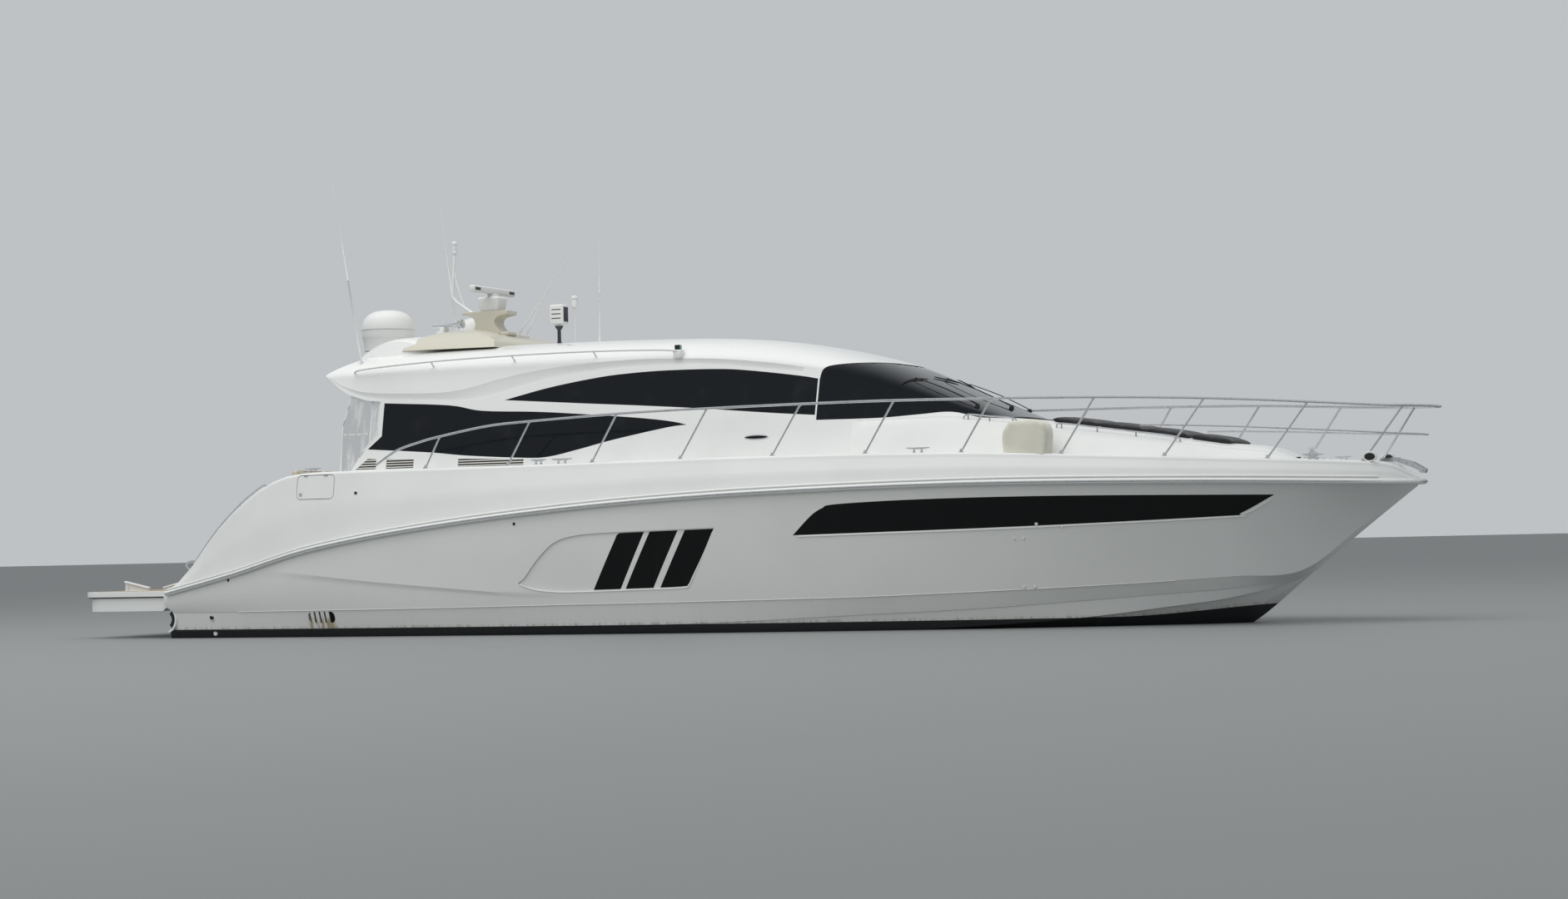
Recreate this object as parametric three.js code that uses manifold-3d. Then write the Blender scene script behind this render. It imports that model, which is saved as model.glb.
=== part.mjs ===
// A hardtop motor yacht afloat, built as the real one is: hull, deck moulding, deckhouse and hardtop,
// with its rails, arch gear, swim platform, hatches, drives and cabin furniture as separate pieces.
// Millimetres: +X towards the bow, +Y to port, +Z up. The origin is on the waterline, on the
// centreline, at the foot of the transom.
import * as THREE from "three";
import { mergeVertices } from "three/addons/utils/BufferGeometryUtils.js";
import Module from "manifold-3d";

const wasm = await Module();
wasm.setup();

// Driving dimensions
const PLATFORM_TOP = 640;
const PLATFORM_DEPTH = 270;
const SOLE_Z = 1520;
const WELL_HALF_WIDTH = 1740;
const COCKPIT_AFT_X = 1330;
const BULKHEAD_X = 3290;
const WALL = 60;
const GLASS = 12;
const GAP = 0.4;
const SEAM = 0.6;
const RAIL_R = 14;
const FAR = 6000;

// Rows of numbers as records, by the names of their columns
const table = (columns, rows) =>
  rows.map((row) => Object.fromEntries(columns.map((column, i) => [column, row[i]])));

// Hull lines by station: the keel's height, then the half-breadth and height of the chine, the spray
// line, the knuckle and the rub rail
const HULL_COLUMNS = [
  "x", "keel", "chineY", "chine", "sprayY", "spray", "knuckleY", "knuckle", "rubY", "rub",
];
const HULL_LINES = table(HULL_COLUMNS, [
  [0, -780, 1960, -70, 2040, 90, 2100, 350, 2160, 590],
  [1200, -800, 2010, -70, 2100, 90, 2185, 352, 2275, 850],
  [2400, -815, 2050, -70, 2140, 92, 2240, 358, 2360, 1150],
  [4000, -830, 2080, -68, 2165, 95, 2270, 366, 2415, 1390],
  [6000, -840, 2070, -60, 2160, 100, 2260, 385, 2425, 1590],
  [8000, -840, 2000, -45, 2090, 125, 2190, 402, 2420, 1710],
  [10000, -820, 1800, -15, 1905, 200, 2020, 425, 2345, 1765],
  [11500, -760, 1540, 40, 1640, 255, 1760, 465, 2185, 1780],
  [12600, -640, 1265, 110, 1350, 320, 1480, 500, 1980, 1772],
  [13600, -420, 935, 220, 1020, 385, 1150, 540, 1720, 1755],
  [14490, 0, 560, 345, 650, 450, 790, 585, 1430, 1735],
  [15200, 560, 60, 580, 150, 590, 350, 640, 1150, 1715],
  [15900, 1120, 30, 1135, 60, 1150, 95, 1170, 790, 1695],
  [16350, 1470, 25, 1480, 45, 1490, 65, 1500, 440, 1683],
  [16560, 1630, 20, 1636, 32, 1642, 44, 1650, 140, 1678],
]);
// Deck moulding by station: how far its top edge stands inside the rub rail, that edge's height and
// the rise of the deck from there to the centreline
const DECK_COLUMNS = ["x", "inset", "edge", "crown"];
const DECK_LINES = table(DECK_COLUMNS, [
  [0, 22, 622, 0],
  [350, 35, 880, 0],
  [770, 55, 1350, 0],
  [1030, 65, 1600, 0],
  [1360, 80, 1850, 0],
  [1710, 95, 2050, 0],
  [2100, 105, 2160, 0],
  [2900, 110, 2185, 5],
  [5000, 110, 2185, 20],
  [9000, 105, 2195, 30],
  [11400, 100, 2165, 40],
  [12600, 95, 2115, 40],
  [13800, 85, 2055, 35],
  [15000, 75, 1995, 25],
  [16000, 65, 1940, 12],
  [16350, 60, 1890, 8],
  [16560, 45, 1740, 2],
]);
// Deckhouse and hardtop form by station: half-width at the deck, half-width and height of the
// shoulder, height of the roof on the centreline
const CABIN_COLUMNS = ["x", "baseY", "sideY", "side", "roof"];
const HOUSE_LINES = table(CABIN_COLUMNS, [
  [2250, 2000, 1740, 3430, 3830],
  [3300, 2010, 1750, 3450, 3860],
  [5000, 2005, 1735, 3465, 3865],
  [6500, 1975, 1680, 3475, 3850],
  [7800, 1925, 1610, 3450, 3805],
  [8700, 1880, 1550, 3380, 3710],
  [9500, 1825, 1490, 3260, 3545],
  [10100, 1770, 1440, 3110, 3360],
  [10700, 1690, 1370, 2910, 3085],
  [11200, 1590, 1270, 2730, 2860],
  [11700, 1440, 1090, 2560, 2640],
]);
// Foredeck trunk, in the same columns
const TRUNK_LINES = table(CABIN_COLUMNS, [
  [9900, 1985, 1700, 2600, 2640],
  [10900, 1945, 1630, 2600, 2665],
  [11700, 1850, 1490, 2530, 2615],
  [12500, 1690, 1310, 2420, 2515],
  [13400, 1440, 1060, 2290, 2380],
  [14300, 1130, 760, 2150, 2225],
  [14850, 900, 560, 2080, 2150],
  [15150, 760, 420, 1990, 2015],
]);

// Side-view outlines, each a closed list of x and z
const HARDTOP_OUTLINE = [
  [2330, 3490], [2630, 3270], [2880, 3165], [3220, 3105], [4510, 3035], [5030, 3052], [5700, 3190],
  [6300, 3285], [6750, 3330], [7350, 3352], [8100, 3340], [8600, 3290], [9150, 3212], [9400, 3165],
  [9440, 3290], [9600, 3345], [10090, 3385], [10120, 4100], [3600, 4100], [3600, 3930], [3230, 3870],
  [2850, 3765], [2440, 3560],
];
const WINDSHIELD_OUTLINE = [
  [9400, 2640], [9400, 3165], [9440, 3290], [9600, 3345], [10090, 3385], [10120, 4100], [12500, 4100],
  [12500, 2500], [11500, 2600], [11090, 2690], [10700, 2670], [10200, 2640],
];
const UPPER_GLASS_OUTLINE = [
  [5080, 3052], [5700, 3190], [6300, 3285], [6750, 3330], [7350, 3352], [8100, 3340], [8600, 3290],
  [9150, 3212], [9380, 3168], [9380, 2705], [8760, 2755], [7810, 2845], [7000, 2910], [6150, 2972],
];
const LOWER_GLASS_OUTLINE = [
  [3290, 2640], [3290, 3080], [4270, 3015], [4760, 2925], [5510, 2885], [6090, 2840], [7000, 2752],
  [7460, 2690], [7680, 2640], [7390, 2610], [6680, 2480], [6190, 2370], [5780, 2290], [5440, 2285],
  [4600, 2340], [4040, 2400], [3090, 2470],
];
const HOUSE_OUTLINE = [
  [2870, 2100], [2870, 2190], [3040, 2440], [3230, 2640], [3230, 3085], [3230, 3400], [9700, 3700],
  [12500, 3700], [12500, 2100],
];
const BOW_WINDOW_OUTLINE = [
  [9290, 1200], [9540, 1430], [9700, 1525], [9900, 1572], [11000, 1605], [12620, 1605], [15050, 1560],
  [14640, 1345], [14450, 1315], [12080, 1245],
];
const MID_RECESS_OUTLINE = [
  [5540, 650], [5550, 720], [5780, 985], [6060, 1200], [6340, 1280], [6880, 1300], [8260, 1325],
  [7930, 690], [7780, 575], [7000, 545], [6000, 550],
];
// Leading and trailing x of each raked pane at its top
const MID_PANES = [
  { top: 6940, foot: 6560 },
  { top: 7395, foot: 7020 },
  { top: 7850, foot: 7475 },
];
const MID_PANE_LENGTH = 360;
const MID_PANE_TOP = 1275;
const MID_PANE_FOOT = 620;

// Smooth curve through a table's column, read at any x
function line(rows, column) {
  return (x) => {
    let i = 0;
    while (i < rows.length - 2 && x > rows[i + 1].x) i += 1;
    const a = rows[Math.max(i - 1, 0)];
    const b = rows[i];
    const c = rows[i + 1];
    const d = rows[Math.min(i + 2, rows.length - 1)];
    const span = c.x - b.x;
    const t = Math.min(Math.max((x - b.x) / span, 0), 1);
    const slopeB = c === a ? 0 : ((c[column] - a[column]) / (c.x - a.x)) * span;
    const slopeC = d === b ? 0 : ((d[column] - b[column]) / (d.x - b.x)) * span;
    const t2 = t * t;
    const t3 = t2 * t;
    return (
      (2 * t3 - 3 * t2 + 1) * b[column] +
      (t3 - 2 * t2 + t) * slopeB +
      (3 * t2 - 2 * t3) * c[column] +
      (t3 - t2) * slopeC
    );
  };
}
const rubY = line(HULL_LINES, "rubY");
const rubZ = line(HULL_LINES, "rub");
const deckInset = line(DECK_LINES, "inset");
const deckEdge = line(DECK_LINES, "edge");
const deckCrown = line(DECK_LINES, "crown");

// Evenly spread stations over each stretch of a table, both ends included
function stations(rows, perStretch) {
  const list = [];
  for (let i = 0; i < rows.length - 1; i += 1) {
    for (let k = 0; k < perStretch; k += 1) {
      list.push(rows[i].x + ((rows[i + 1].x - rows[i].x) * k) / perStretch);
    }
  }
  list.push(rows[rows.length - 1].x);
  return list;
}

// The hull and the deck moulding are drawn at the same stations, so that they meet all round
const LONGEST_STRETCH = 900;
const marks = [...new Set([...HULL_LINES, ...DECK_LINES].map((row) => row.x))].sort((a, b) => a - b);
const SHARED_STATIONS = marks.flatMap((x, i) => {
  const span = i + 1 < marks.length ? marks[i + 1] - x : 0;
  const cuts = Math.max(Math.ceil(span / LONGEST_STRETCH), 1);
  return Array.from({ length: cuts }, (_, k) => x + (span * k) / cuts);
});

// Closed body through rings of points, all of one count, each ring running the same way round
function loft(rings) {
  const count = rings[0].length;
  const positions = [];
  for (const ring of rings) for (const point of ring) positions.push(...point);
  const index = [];
  for (let r = 0; r < rings.length - 1; r += 1) {
    for (let k = 0; k < count; k += 1) {
      const next = (k + 1) % count;
      const a = r * count + k;
      const b = r * count + next;
      const c = (r + 1) * count + next;
      const d = (r + 1) * count + k;
      index.push(a, b, d, b, c, d);
    }
  }
  const cap = (ring, offset, flip) => {
    const flat = ring.map((p) => new THREE.Vector2(p[1], p[2]));
    for (const [a, b, c] of THREE.ShapeUtils.triangulateShape(flat, [])) {
      const turn = flat[b].clone().sub(flat[a]).cross(flat[c].clone().sub(flat[a]));
      if (turn > 0 === flip) index.push(offset + a, offset + c, offset + b);
      else index.push(offset + a, offset + b, offset + c);
    }
  };
  cap(rings[0], 0, true);
  cap(rings[rings.length - 1], (rings.length - 1) * count, false);
  const geometry = new THREE.BufferGeometry();
  geometry.setAttribute("position", new THREE.Float32BufferAttribute(positions, 3));
  geometry.setIndex(index);
  return geometry;
}

// Half a section, from the centreline below to the centreline above, mirrored into a whole ring
function ring(x, half) {
  const port = half.map(([y, z]) => [x, y, z]);
  const starboard = half
    .slice(1, -1)
    .reverse()
    .map(([y, z]) => [x, -y, z]);
  return [...port, ...starboard];
}

// A geometry as a solid that can be joined and cut
function solid(geometry) {
  const bare = geometry.clone();
  bare.deleteAttribute("normal");
  bare.deleteAttribute("uv");
  const merged = mergeVertices(bare, 1e-4);
  const made = new wasm.Manifold(
    new wasm.Mesh({
      numProp: 3,
      vertProperties: merged.attributes.position.array,
      triVerts: new Uint32Array(merged.index.array),
    }),
  );
  return made;
}

// A solid back as a geometry
function shape(body) {
  const mesh = body.getMesh();
  const geometry = new THREE.BufferGeometry();
  geometry.setAttribute("position", new THREE.Float32BufferAttribute(mesh.vertProperties, mesh.numProp));
  geometry.setIndex(new THREE.BufferAttribute(mesh.triVerts, 1));
  const flat = geometry.toNonIndexed();
  flat.computeVertexNormals();
  return flat;
}

const joined = (list) => list.reduce((whole, piece) => whole.add(piece));

// Feet of the closed forms that the deckhouse, trunk and arch are cut from, below what they stand on
const HOUSE_FOOT = 2100;
const TRUNK_FOOT = 1900;
const ARCH_FOOT = 3600;

// Boxes, rods and prisms as solids, placed in the boat's frame
function block(x0, x1, y0, y1, z0, z1) {
  const box = new THREE.BoxGeometry(x1 - x0, y1 - y0, z1 - z0);
  return solid(box.translate((x0 + x1) / 2, (y0 + y1) / 2, (z0 + z1) / 2));
}
function outline(points) {
  return new THREE.Shape(points.map(([x, z]) => new THREE.Vector2(x, z)));
}
// Several boxes as one body, each given by its limits along every axis
const boxes = (rows) => joined(rows.map(({ x, y, z }) => block(...x, ...y, ...z)));
// A side-view outline drawn across the boat from y0 to y1
function prism(points, y0, y1) {
  const body = new THREE.ExtrudeGeometry(outline(points), { depth: y1 - y0, bevelEnabled: false });
  body.rotateX(Math.PI / 2);
  return solid(body.translate(0, y1, 0));
}
// A plan outline drawn upwards from z0 to z1
function slab(points, z0, z1) {
  const body = new THREE.ExtrudeGeometry(outline(points), { depth: z1 - z0, bevelEnabled: false });
  return solid(body.translate(0, 0, z0));
}
// A round rod between two points
function rod(from, to, radius, sides = 8, endRadius = radius) {
  const a = new THREE.Vector3(...from);
  const b = new THREE.Vector3(...to);
  const body = new THREE.CylinderGeometry(endRadius, radius, a.distanceTo(b), sides);
  const turn = new THREE.Quaternion().setFromUnitVectors(
    new THREE.Vector3(0, 1, 0),
    b.clone().sub(a).normalize(),
  );
  body.applyQuaternion(turn);
  const middle = a.clone().add(b).multiplyScalar(0.5);
  return solid(body.translate(middle.x, middle.y, middle.z));
}
// A round tube along a list of points
function tube(points, radius, steps, sides = 8) {
  const path = new THREE.CatmullRomCurve3(points.map((p) => new THREE.Vector3(...p)), false, "centripetal");
  const section = new THREE.Shape();
  for (let k = 0; k < sides; k += 1) {
    const angle = (2 * Math.PI * k) / sides;
    const at = [radius * Math.cos(angle), radius * Math.sin(angle)];
    if (k === 0) section.moveTo(...at);
    else section.lineTo(...at);
  }
  section.closePath();
  return solid(new THREE.ExtrudeGeometry(section, { steps, extrudePath: path, bevelEnabled: false }));
}
// A turned body: profile of radius and height, standing at a place
function turned(profile, place, sides = 24) {
  const body = new THREE.LatheGeometry(profile.map(([r, h]) => new THREE.Vector2(r, h)), sides);
  body.rotateX(Math.PI / 2);
  return solid(body.translate(...place));
}
const mirrorY = (points) => points.map(([x, y, z]) => [x, -y, z]);

// The same outline with every point moved outwards by a margin, from the outline's middle
function grown(points, margin) {
  const list = outline(points).getPoints();
  const clockwise = THREE.ShapeUtils.isClockWise(list);
  const side = clockwise ? 1 : -1;
  return list.map((p, i) => {
    const before = list[(i + list.length - 1) % list.length];
    const after = list[(i + 1) % list.length];
    const a = p.clone().sub(before).normalize();
    const b = after.clone().sub(p).normalize();
    const normal = new THREE.Vector2(-(a.y + b.y), a.x + b.x).multiplyScalar(side).normalize();
    const spread = Math.max(Math.sqrt((1 + a.dot(b)) / 2), 0.5);
    return [p.x + (normal.x * margin) / spread, p.y + (normal.y * margin) / spread];
  });
}

// Share of the way from the knuckle up to the rub rail at which the flare is drawn
const FLARE_STEPS = [0.25, 0.5, 0.75];
// Angles at which a cabin's crown is drawn, in degrees up from its shoulder
const CROWN_ANGLES = [22, 45, 68];

// All the curves of a table, by the names of its columns
const curves = (rows, columns) => Object.fromEntries(columns.slice(1).map((c) => [c, line(rows, c)]));

// The hull's outer form, drawn in by an inset all round its topsides
function hullForm(inset) {
  const read = curves(HULL_LINES, HULL_COLUMNS);
  const rings = SHARED_STATIONS.map((x) => {
    const keel = read.keel(x);
    const chineY = Math.max(read.chineY(x), 12);
    const chine = Math.max(read.chine(x), keel + 5);
    const sprayY = Math.max(read.sprayY(x), chineY + 6);
    const spray = Math.max(read.spray(x), chine + 5);
    const knuckleY = Math.max(read.knuckleY(x), sprayY + 6);
    const knuckle = Math.max(read.knuckle(x), spray + 5);
    const top = read.rub(x);
    const topY = read.rubY(x);
    const hollow = 0.16 * Math.max(topY - knuckleY - 180, 0);
    const rise = 0.12 * chineY;
    const half = [
      [0, keel],
      [chineY * 0.5, keel + (chine - keel) * 0.46],
      [Math.max(chineY - 70, chineY * 0.9), chine - Math.min(rise * 0.1, 12)],
      [chineY, chine],
      [sprayY - Math.min(14, sprayY * 0.1), spray - 4],
      [sprayY, spray],
      [knuckleY - Math.min(10, knuckleY * 0.1), knuckle - 4],
      [knuckleY, knuckle],
      ...FLARE_STEPS.map((t) => [
        knuckleY + (topY - knuckleY) * t + (30 - hollow) * 4 * t * (1 - t),
        knuckle + (top - knuckle) * t,
      ]),
      [topY, top],
      [0, top],
    ];
    return ring(
      x,
      half.map(([y, z], i) => [i === 0 || i === half.length - 1 ? 0 : Math.max(y - inset, 4), z]),
    );
  });
  return solid(loft(rings));
}

// The deck moulding's outer form, from the rub rail up
function deckForm(inset = 0) {
  const rings = SHARED_STATIONS.map((x) => {
    const foot = rubZ(x) + GAP;
    const footY = rubY(x) - 4 - inset;
    const edge = deckEdge(x);
    const edgeY = footY - deckInset(x);
    const round = Math.min(45, (edge - foot) * 0.3);
    const half = [
      [0, foot],
      [footY, foot],
      [footY + (edgeY - footY) * 0.35, foot + (edge - foot) * 0.5],
      [edgeY, edge - round],
      [Math.max(edgeY - round * 0.35, 2), edge - round * 0.3],
      [Math.max(edgeY - round, 1.5), edge],
      [0, edge + deckCrown(x) + 0.5],
    ];
    return ring(x, half);
  });
  return solid(loft(rings));
}

// A crowned cabin form: straight side up to the shoulder, then an arc over to the centreline
function cabinForm(lines, foot, inset, perStretch) {
  const read = curves(lines, CABIN_COLUMNS);
  const first = lines[0].x;
  const last = lines[lines.length - 1].x;
  const rings = stations(lines, perStretch).map((x) => {
    const baseY = read.baseY(x) - inset;
    const sideY = read.sideY(x) - inset;
    const side = read.side(x) - inset * 0.4;
    const roof = read.roof(x) - inset;
    const half = [
      [0, foot - inset],
      [baseY, foot - inset],
      [baseY + (sideY - baseY) * 0.5 + 12, foot + (side - foot) * 0.5],
      [sideY, side],
    ];
    for (const angle of CROWN_ANGLES) {
      const turn = (angle * Math.PI) / 180;
      half.push([sideY * Math.cos(turn) ** 0.72, side + (roof - side) * Math.sin(turn) ** 1.1]);
    }
    half.push([0, roof]);
    const shift = inset * (x === first ? -1 : x === last ? 1 : 0);
    return ring(x + shift, half);
  });
  return solid(loft(rings));
}

const yacht = new THREE.Group();
const WHITE = [0xeef0ee, 0.25, 0];
const BLACK_GLASS = [0x0b0d10, 0.08, 0];
const STEEL = [0xc9ccd0, 0.25, 1];
const BEIGE = [0xd9d4c2, 0.45, 0];
const DARK = [0x22262a, 0.5, 0];
const BRONZE = [0xb08d57, 0.35, 1];
const FABRIC = [0xd8d2c4, 0.9, 0];

function add(name, body, [color, roughness, metalness]) {
  const material = new THREE.MeshStandardMaterial({ color, roughness, metalness });
  const mesh = new THREE.Mesh(shape(body), material);
  mesh.name = name;
  yacht.add(mesh);
}
const SIDES = [
  { word: "starboard", sign: -1 },
  { word: "port", sign: 1 },
];
// The half of a body on one side of the boat
const onSide = (sign, inner) => (sign < 0 ? [-FAR, -inner] : [inner, FAR]);
const half = (body, sign) => body.intersect(block(-FAR, 4 * FAR, ...onSide(sign, 0), -FAR, FAR));
const across = (points, margin = 0) => prism(margin ? grown(points, margin) : points, -FAR, FAR);

// Hull, with pockets for its dark windows and the exhaust grilles
const PANE_DEPTH = 25;
const RECESS_DEPTH = 22;
const hullOuter = hullForm(0);
const hullWindow = hullForm(PANE_DEPTH);
const hullRecess = hullForm(RECESS_DEPTH);
// How deep the faces and backs of the raked panes lie, and those of the frame that carries them
const PANE_SET = {
  face: RECESS_DEPTH + 3,
  back: RECESS_DEPTH + 40,
  carrier: RECESS_DEPTH + 26,
  carrierBack: RECESS_DEPTH + 54,
};
const paneOutlines = MID_PANES.map(({ top, foot }) => [
  [foot, MID_PANE_FOOT],
  [foot + MID_PANE_LENGTH, MID_PANE_FOOT],
  [top + MID_PANE_LENGTH, MID_PANE_TOP],
  [top, MID_PANE_TOP],
]);
const CARRIER_MARGIN = { near: 20, far: 40, level: 30 };
const carrierOutline = [
  [MID_PANES[0].foot + CARRIER_MARGIN.far, MID_PANE_FOOT + CARRIER_MARGIN.level],
  [MID_PANES[2].foot + MID_PANE_LENGTH - CARRIER_MARGIN.near, MID_PANE_FOOT + CARRIER_MARGIN.level],
  [MID_PANES[2].top + MID_PANE_LENGTH - CARRIER_MARGIN.far, MID_PANE_TOP - CARRIER_MARGIN.level],
  [MID_PANES[0].top + CARRIER_MARGIN.near, MID_PANE_TOP - CARRIER_MARGIN.level],
];
const paneCut = joined(paneOutlines.map((o) => across(o, SEAM))).subtract(hullForm(PANE_SET.back + SEAM));
const carrierCut = hullForm(PANE_SET.carrier - SEAM)
  .intersect(across(carrierOutline, SEAM))
  .subtract(hullForm(PANE_SET.carrierBack + SEAM));
const EXHAUST = { x: [2440, 2830], inner: 2100, z: [160, 335] };
const exhaustCut = boxes(SIDES.map(({ sign }) => ({ ...EXHAUST, y: onSide(sign, EXHAUST.inner) })));
const POD = { x: 2100, y: 900, collar: -640, collarTop: -300, collarR: 230, axisZ: -1130 };
const TAB = { length: 310, half: 320, y: 1375, z: -265, tilt: 22.5, thick: 16, pin: 12 };
const ARM = { pivotX: -60, pivotZ: -400, tipX: -550, tipZ: 300, y: 760, pin: 22, bore: 22.95, radius: 34 };
// Two cheeks on either side of each lift arm, between their distances from the arm's middle
const cheeks = (near, far, x, z) =>
  SIDES.flatMap(({ sign }) => [
    { x, y: [sign * ARM.y + near, sign * ARM.y + far], z },
    { x, y: [sign * ARM.y - far, sign * ARM.y - near], z },
  ]);
// A rod across each lift arm, reaching equally far to both sides of the arm's middle
const armRods = (x, z, reach, radius, sides) =>
  joined([-ARM.y, ARM.y].map((y) => rod([x, y - reach, z], [x, y + reach, z], radius, sides)));
const SALON = { x0: BULKHEAD_X + 70, x1: 10000 };
const well = block(SALON.x0, SALON.x1, -1640, 1640, SOLE_Z, FAR);
const hull = hullOuter
  .subtract(across(BOW_WINDOW_OUTLINE, SEAM).subtract(hullForm(PANE_DEPTH + SEAM)))
  .subtract(across(MID_RECESS_OUTLINE).subtract(hullRecess))
  .subtract(paneCut)
  .subtract(carrierCut)
  .subtract(exhaustCut)
  .subtract(well)
  .add(
    joined(
      SIDES.map(({ sign: s }) =>
        rod([POD.x, s * POD.y, POD.collar], [POD.x, s * POD.y, POD.collarTop], POD.collarR, 20),
      ),
    ),
  )
  .add(boxes(cheeks(42, 75, [-115, 10], [ARM.pivotZ - 55, ARM.pivotZ + 55])))
  .add(armRods(ARM.pivotX, ARM.pivotZ, 60, ARM.pin, 12));
add("hull", hull, WHITE);
const bowWindows = hullOuter.intersect(across(BOW_WINDOW_OUTLINE)).subtract(hullWindow);
const paneSets = hullForm(PANE_SET.face)
  .intersect(joined(paneOutlines.map((o) => across(o))))
  .subtract(hullForm(PANE_SET.back))
  .add(hullForm(PANE_SET.carrier).intersect(across(carrierOutline)).subtract(hullForm(PANE_SET.carrierBack)));
for (const { word, sign } of SIDES) {
  add("hull_window_" + word, half(bowWindows, sign), BLACK_GLASS);
  add("hull_panes_" + word, half(paneSets, sign), BLACK_GLASS);
}

// Rub rail round the hull's top edge, from one stern quarter round the bow to the other
const railX = [
  60, 600, 1200, 2400, 4000, 6000, 8000, 10000, 11500, 12600, 13600, 14500, 15200, 15900, 16350, 16540,
];
const RUB_SECTION = 34;
const RUB_HEAD_X = 16645;
const rubPath = railX.map((x) => [x, -(rubY(x) + RUB_SECTION + 2), rubZ(x) + 4]);
const rubWhole = [...rubPath, [RUB_HEAD_X, 0, rubZ(16560) + 4], ...mirrorY(rubPath).reverse()];
const railSeat = joined([
  hullForm(-1),
  hullForm(-1).translate(1, 0, 1),
  deckForm(-1).translate(0, 0, -1),
  deckForm(-1).translate(1, 0, 1),
]);
add("rub_rail", tube(rubWhole, RUB_SECTION, 72, 6).subtract(railSeat), WHITE);

// Deck moulding: side decks, foredeck trunk, stern quarters, with cockpit, salon, stairs and lockers cut
const STAIR = { inner: 1180, outer: 1700, steps: 4 };
const trunk = cabinForm(TRUNK_LINES, TRUNK_FOOT, 0, 3);
const houseOuter = cabinForm(HOUSE_LINES, HOUSE_FOOT, 0, 2);
let deck = deckForm().add(trunk);
deck = deck.subtract(block(COCKPIT_AFT_X, BULKHEAD_X + 75, -WELL_HALF_WIDTH, WELL_HALF_WIDTH, SOLE_Z, FAR));
deck = deck.subtract(well);
for (const { sign } of SIDES) {
  const rise = (SOLE_Z - PLATFORM_TOP) / STAIR.steps;
  for (let k = 0; k < STAIR.steps; k += 1) {
    const x0 = k === 0 ? -200 : 60 + (k * (COCKPIT_AFT_X - 60)) / STAIR.steps;
    const [low, high] = sign < 0 ? [-STAIR.outer, -STAIR.inner] : [STAIR.inner, STAIR.outer];
    deck = deck.subtract(block(x0, COCKPIT_AFT_X + 5, low, high, PLATFORM_TOP + rise * (k + 0.2), FAR));
  }
}
const LID = { thick: 40, seam: 8, ledge: 45 };
const LOCKER = { foot: [400, 925], head: [1000, 1560], half: 900, depth: 300 };
const BOW_LOCKER = { x0: 15420, x1: 15980, half: 330, depth: 230 };
const DECK_HATCH = { x0: 11790, x1: 12140, half: 260, depth: 300 };
const ENGINE_HATCH = { x0: 2080, x1: 3120, half: 600, depth: 360 };
const QUARTER = { x0: 2190, x1: 2765, z0: 1830, z1: 2140, lip: 1800, inner: 2000 };
// Settee plinth across the cockpit's aft end
const PLINTH = { x: [COCKPIT_AFT_X - 10, 1950], y: [-1120, 1120], z: [SOLE_Z - 20, SOLE_Z + 330] };
deck = deck.add(boxes([PLINTH]));
// A lid let into the top of a body, flush with it, and the ledge and locker below the lid
function topLid(body, { x0, x1, half: wide, depth }) {
  const lid = body
    .intersect(block(x0, x1, -wide, wide, -FAR, FAR))
    .subtract(body.translate(0, 0, -LID.thick))
    .intersect(block(x0, x1, -wide, wide, SOLE_Z - LID.thick - 5, FAR));
  const floor = lid.boundingBox().min[2];
  const opening = (margin, low) =>
    block(x0 - margin, x1 + margin, -wide - margin, wide + margin, low, FAR);
  const recess = opening(LID.seam, floor - 100).subtract(body.translate(0, 0, -LID.thick - GAP));
  return { lid, cut: recess.add(opening(-LID.ledge, floor - depth)) };
}
const bowLid = topLid(deck, BOW_LOCKER);
const deckLid = topLid(deck, DECK_HATCH);
const engineLid = topLid(deck, ENGINE_HATCH);
// The transom locker's door lies on the sloping stern between the stairs
const slope = Math.atan2(LOCKER.head[1] - LOCKER.foot[1], LOCKER.head[0] - LOCKER.foot[0]);
const doorLength = Math.hypot(LOCKER.head[1] - LOCKER.foot[1], LOCKER.head[0] - LOCKER.foot[0]);
const onSlope = (body) =>
  body.rotate([0, (-slope * 180) / Math.PI, 0]).translate(LOCKER.foot[0], 0, LOCKER.foot[1]);
const transomDoor = onSlope(block(0, doorLength, -LOCKER.half, LOCKER.half, -LID.thick, 0));
// The opening under that door, made wider than the door by a margin
const transomHole = (margin, low, high) => {
  const wide = LOCKER.half + margin;
  return block(-margin, doorLength + margin, -wide, wide, low, high);
};
const transomCut = onSlope(
  transomHole(LID.seam, -LID.thick - GAP, 200).add(transomHole(-LID.ledge, -LOCKER.depth, 0)),
);
// Locker doors in the stern quarters' sides
const sideForm = deckForm();
const quarterDoors = SIDES.map(({ word, sign }) => {
  const side = (margin, inner) => {
    const z = [QUARTER.z0 - margin, QUARTER.z1 + margin];
    return block(QUARTER.x0 - margin, QUARTER.x1 + margin, ...onSide(sign, inner), ...z);
  };
  const lid = sideForm.intersect(side(0, QUARTER.lip)).subtract(sideForm.translate(0, -sign * LID.thick, 0));
  const cut = side(LID.seam, QUARTER.lip)
    .subtract(sideForm.translate(0, -sign * (LID.thick + GAP), 0))
    .add(side(-LID.ledge, QUARTER.inner));
  return { word, lid, cut };
});
deck = deck.subtract(
  joined([bowLid.cut, deckLid.cut, engineLid.cut, transomCut, ...quarterDoors.map((door) => door.cut)]),
);
add("deck", deck, WHITE);

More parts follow.
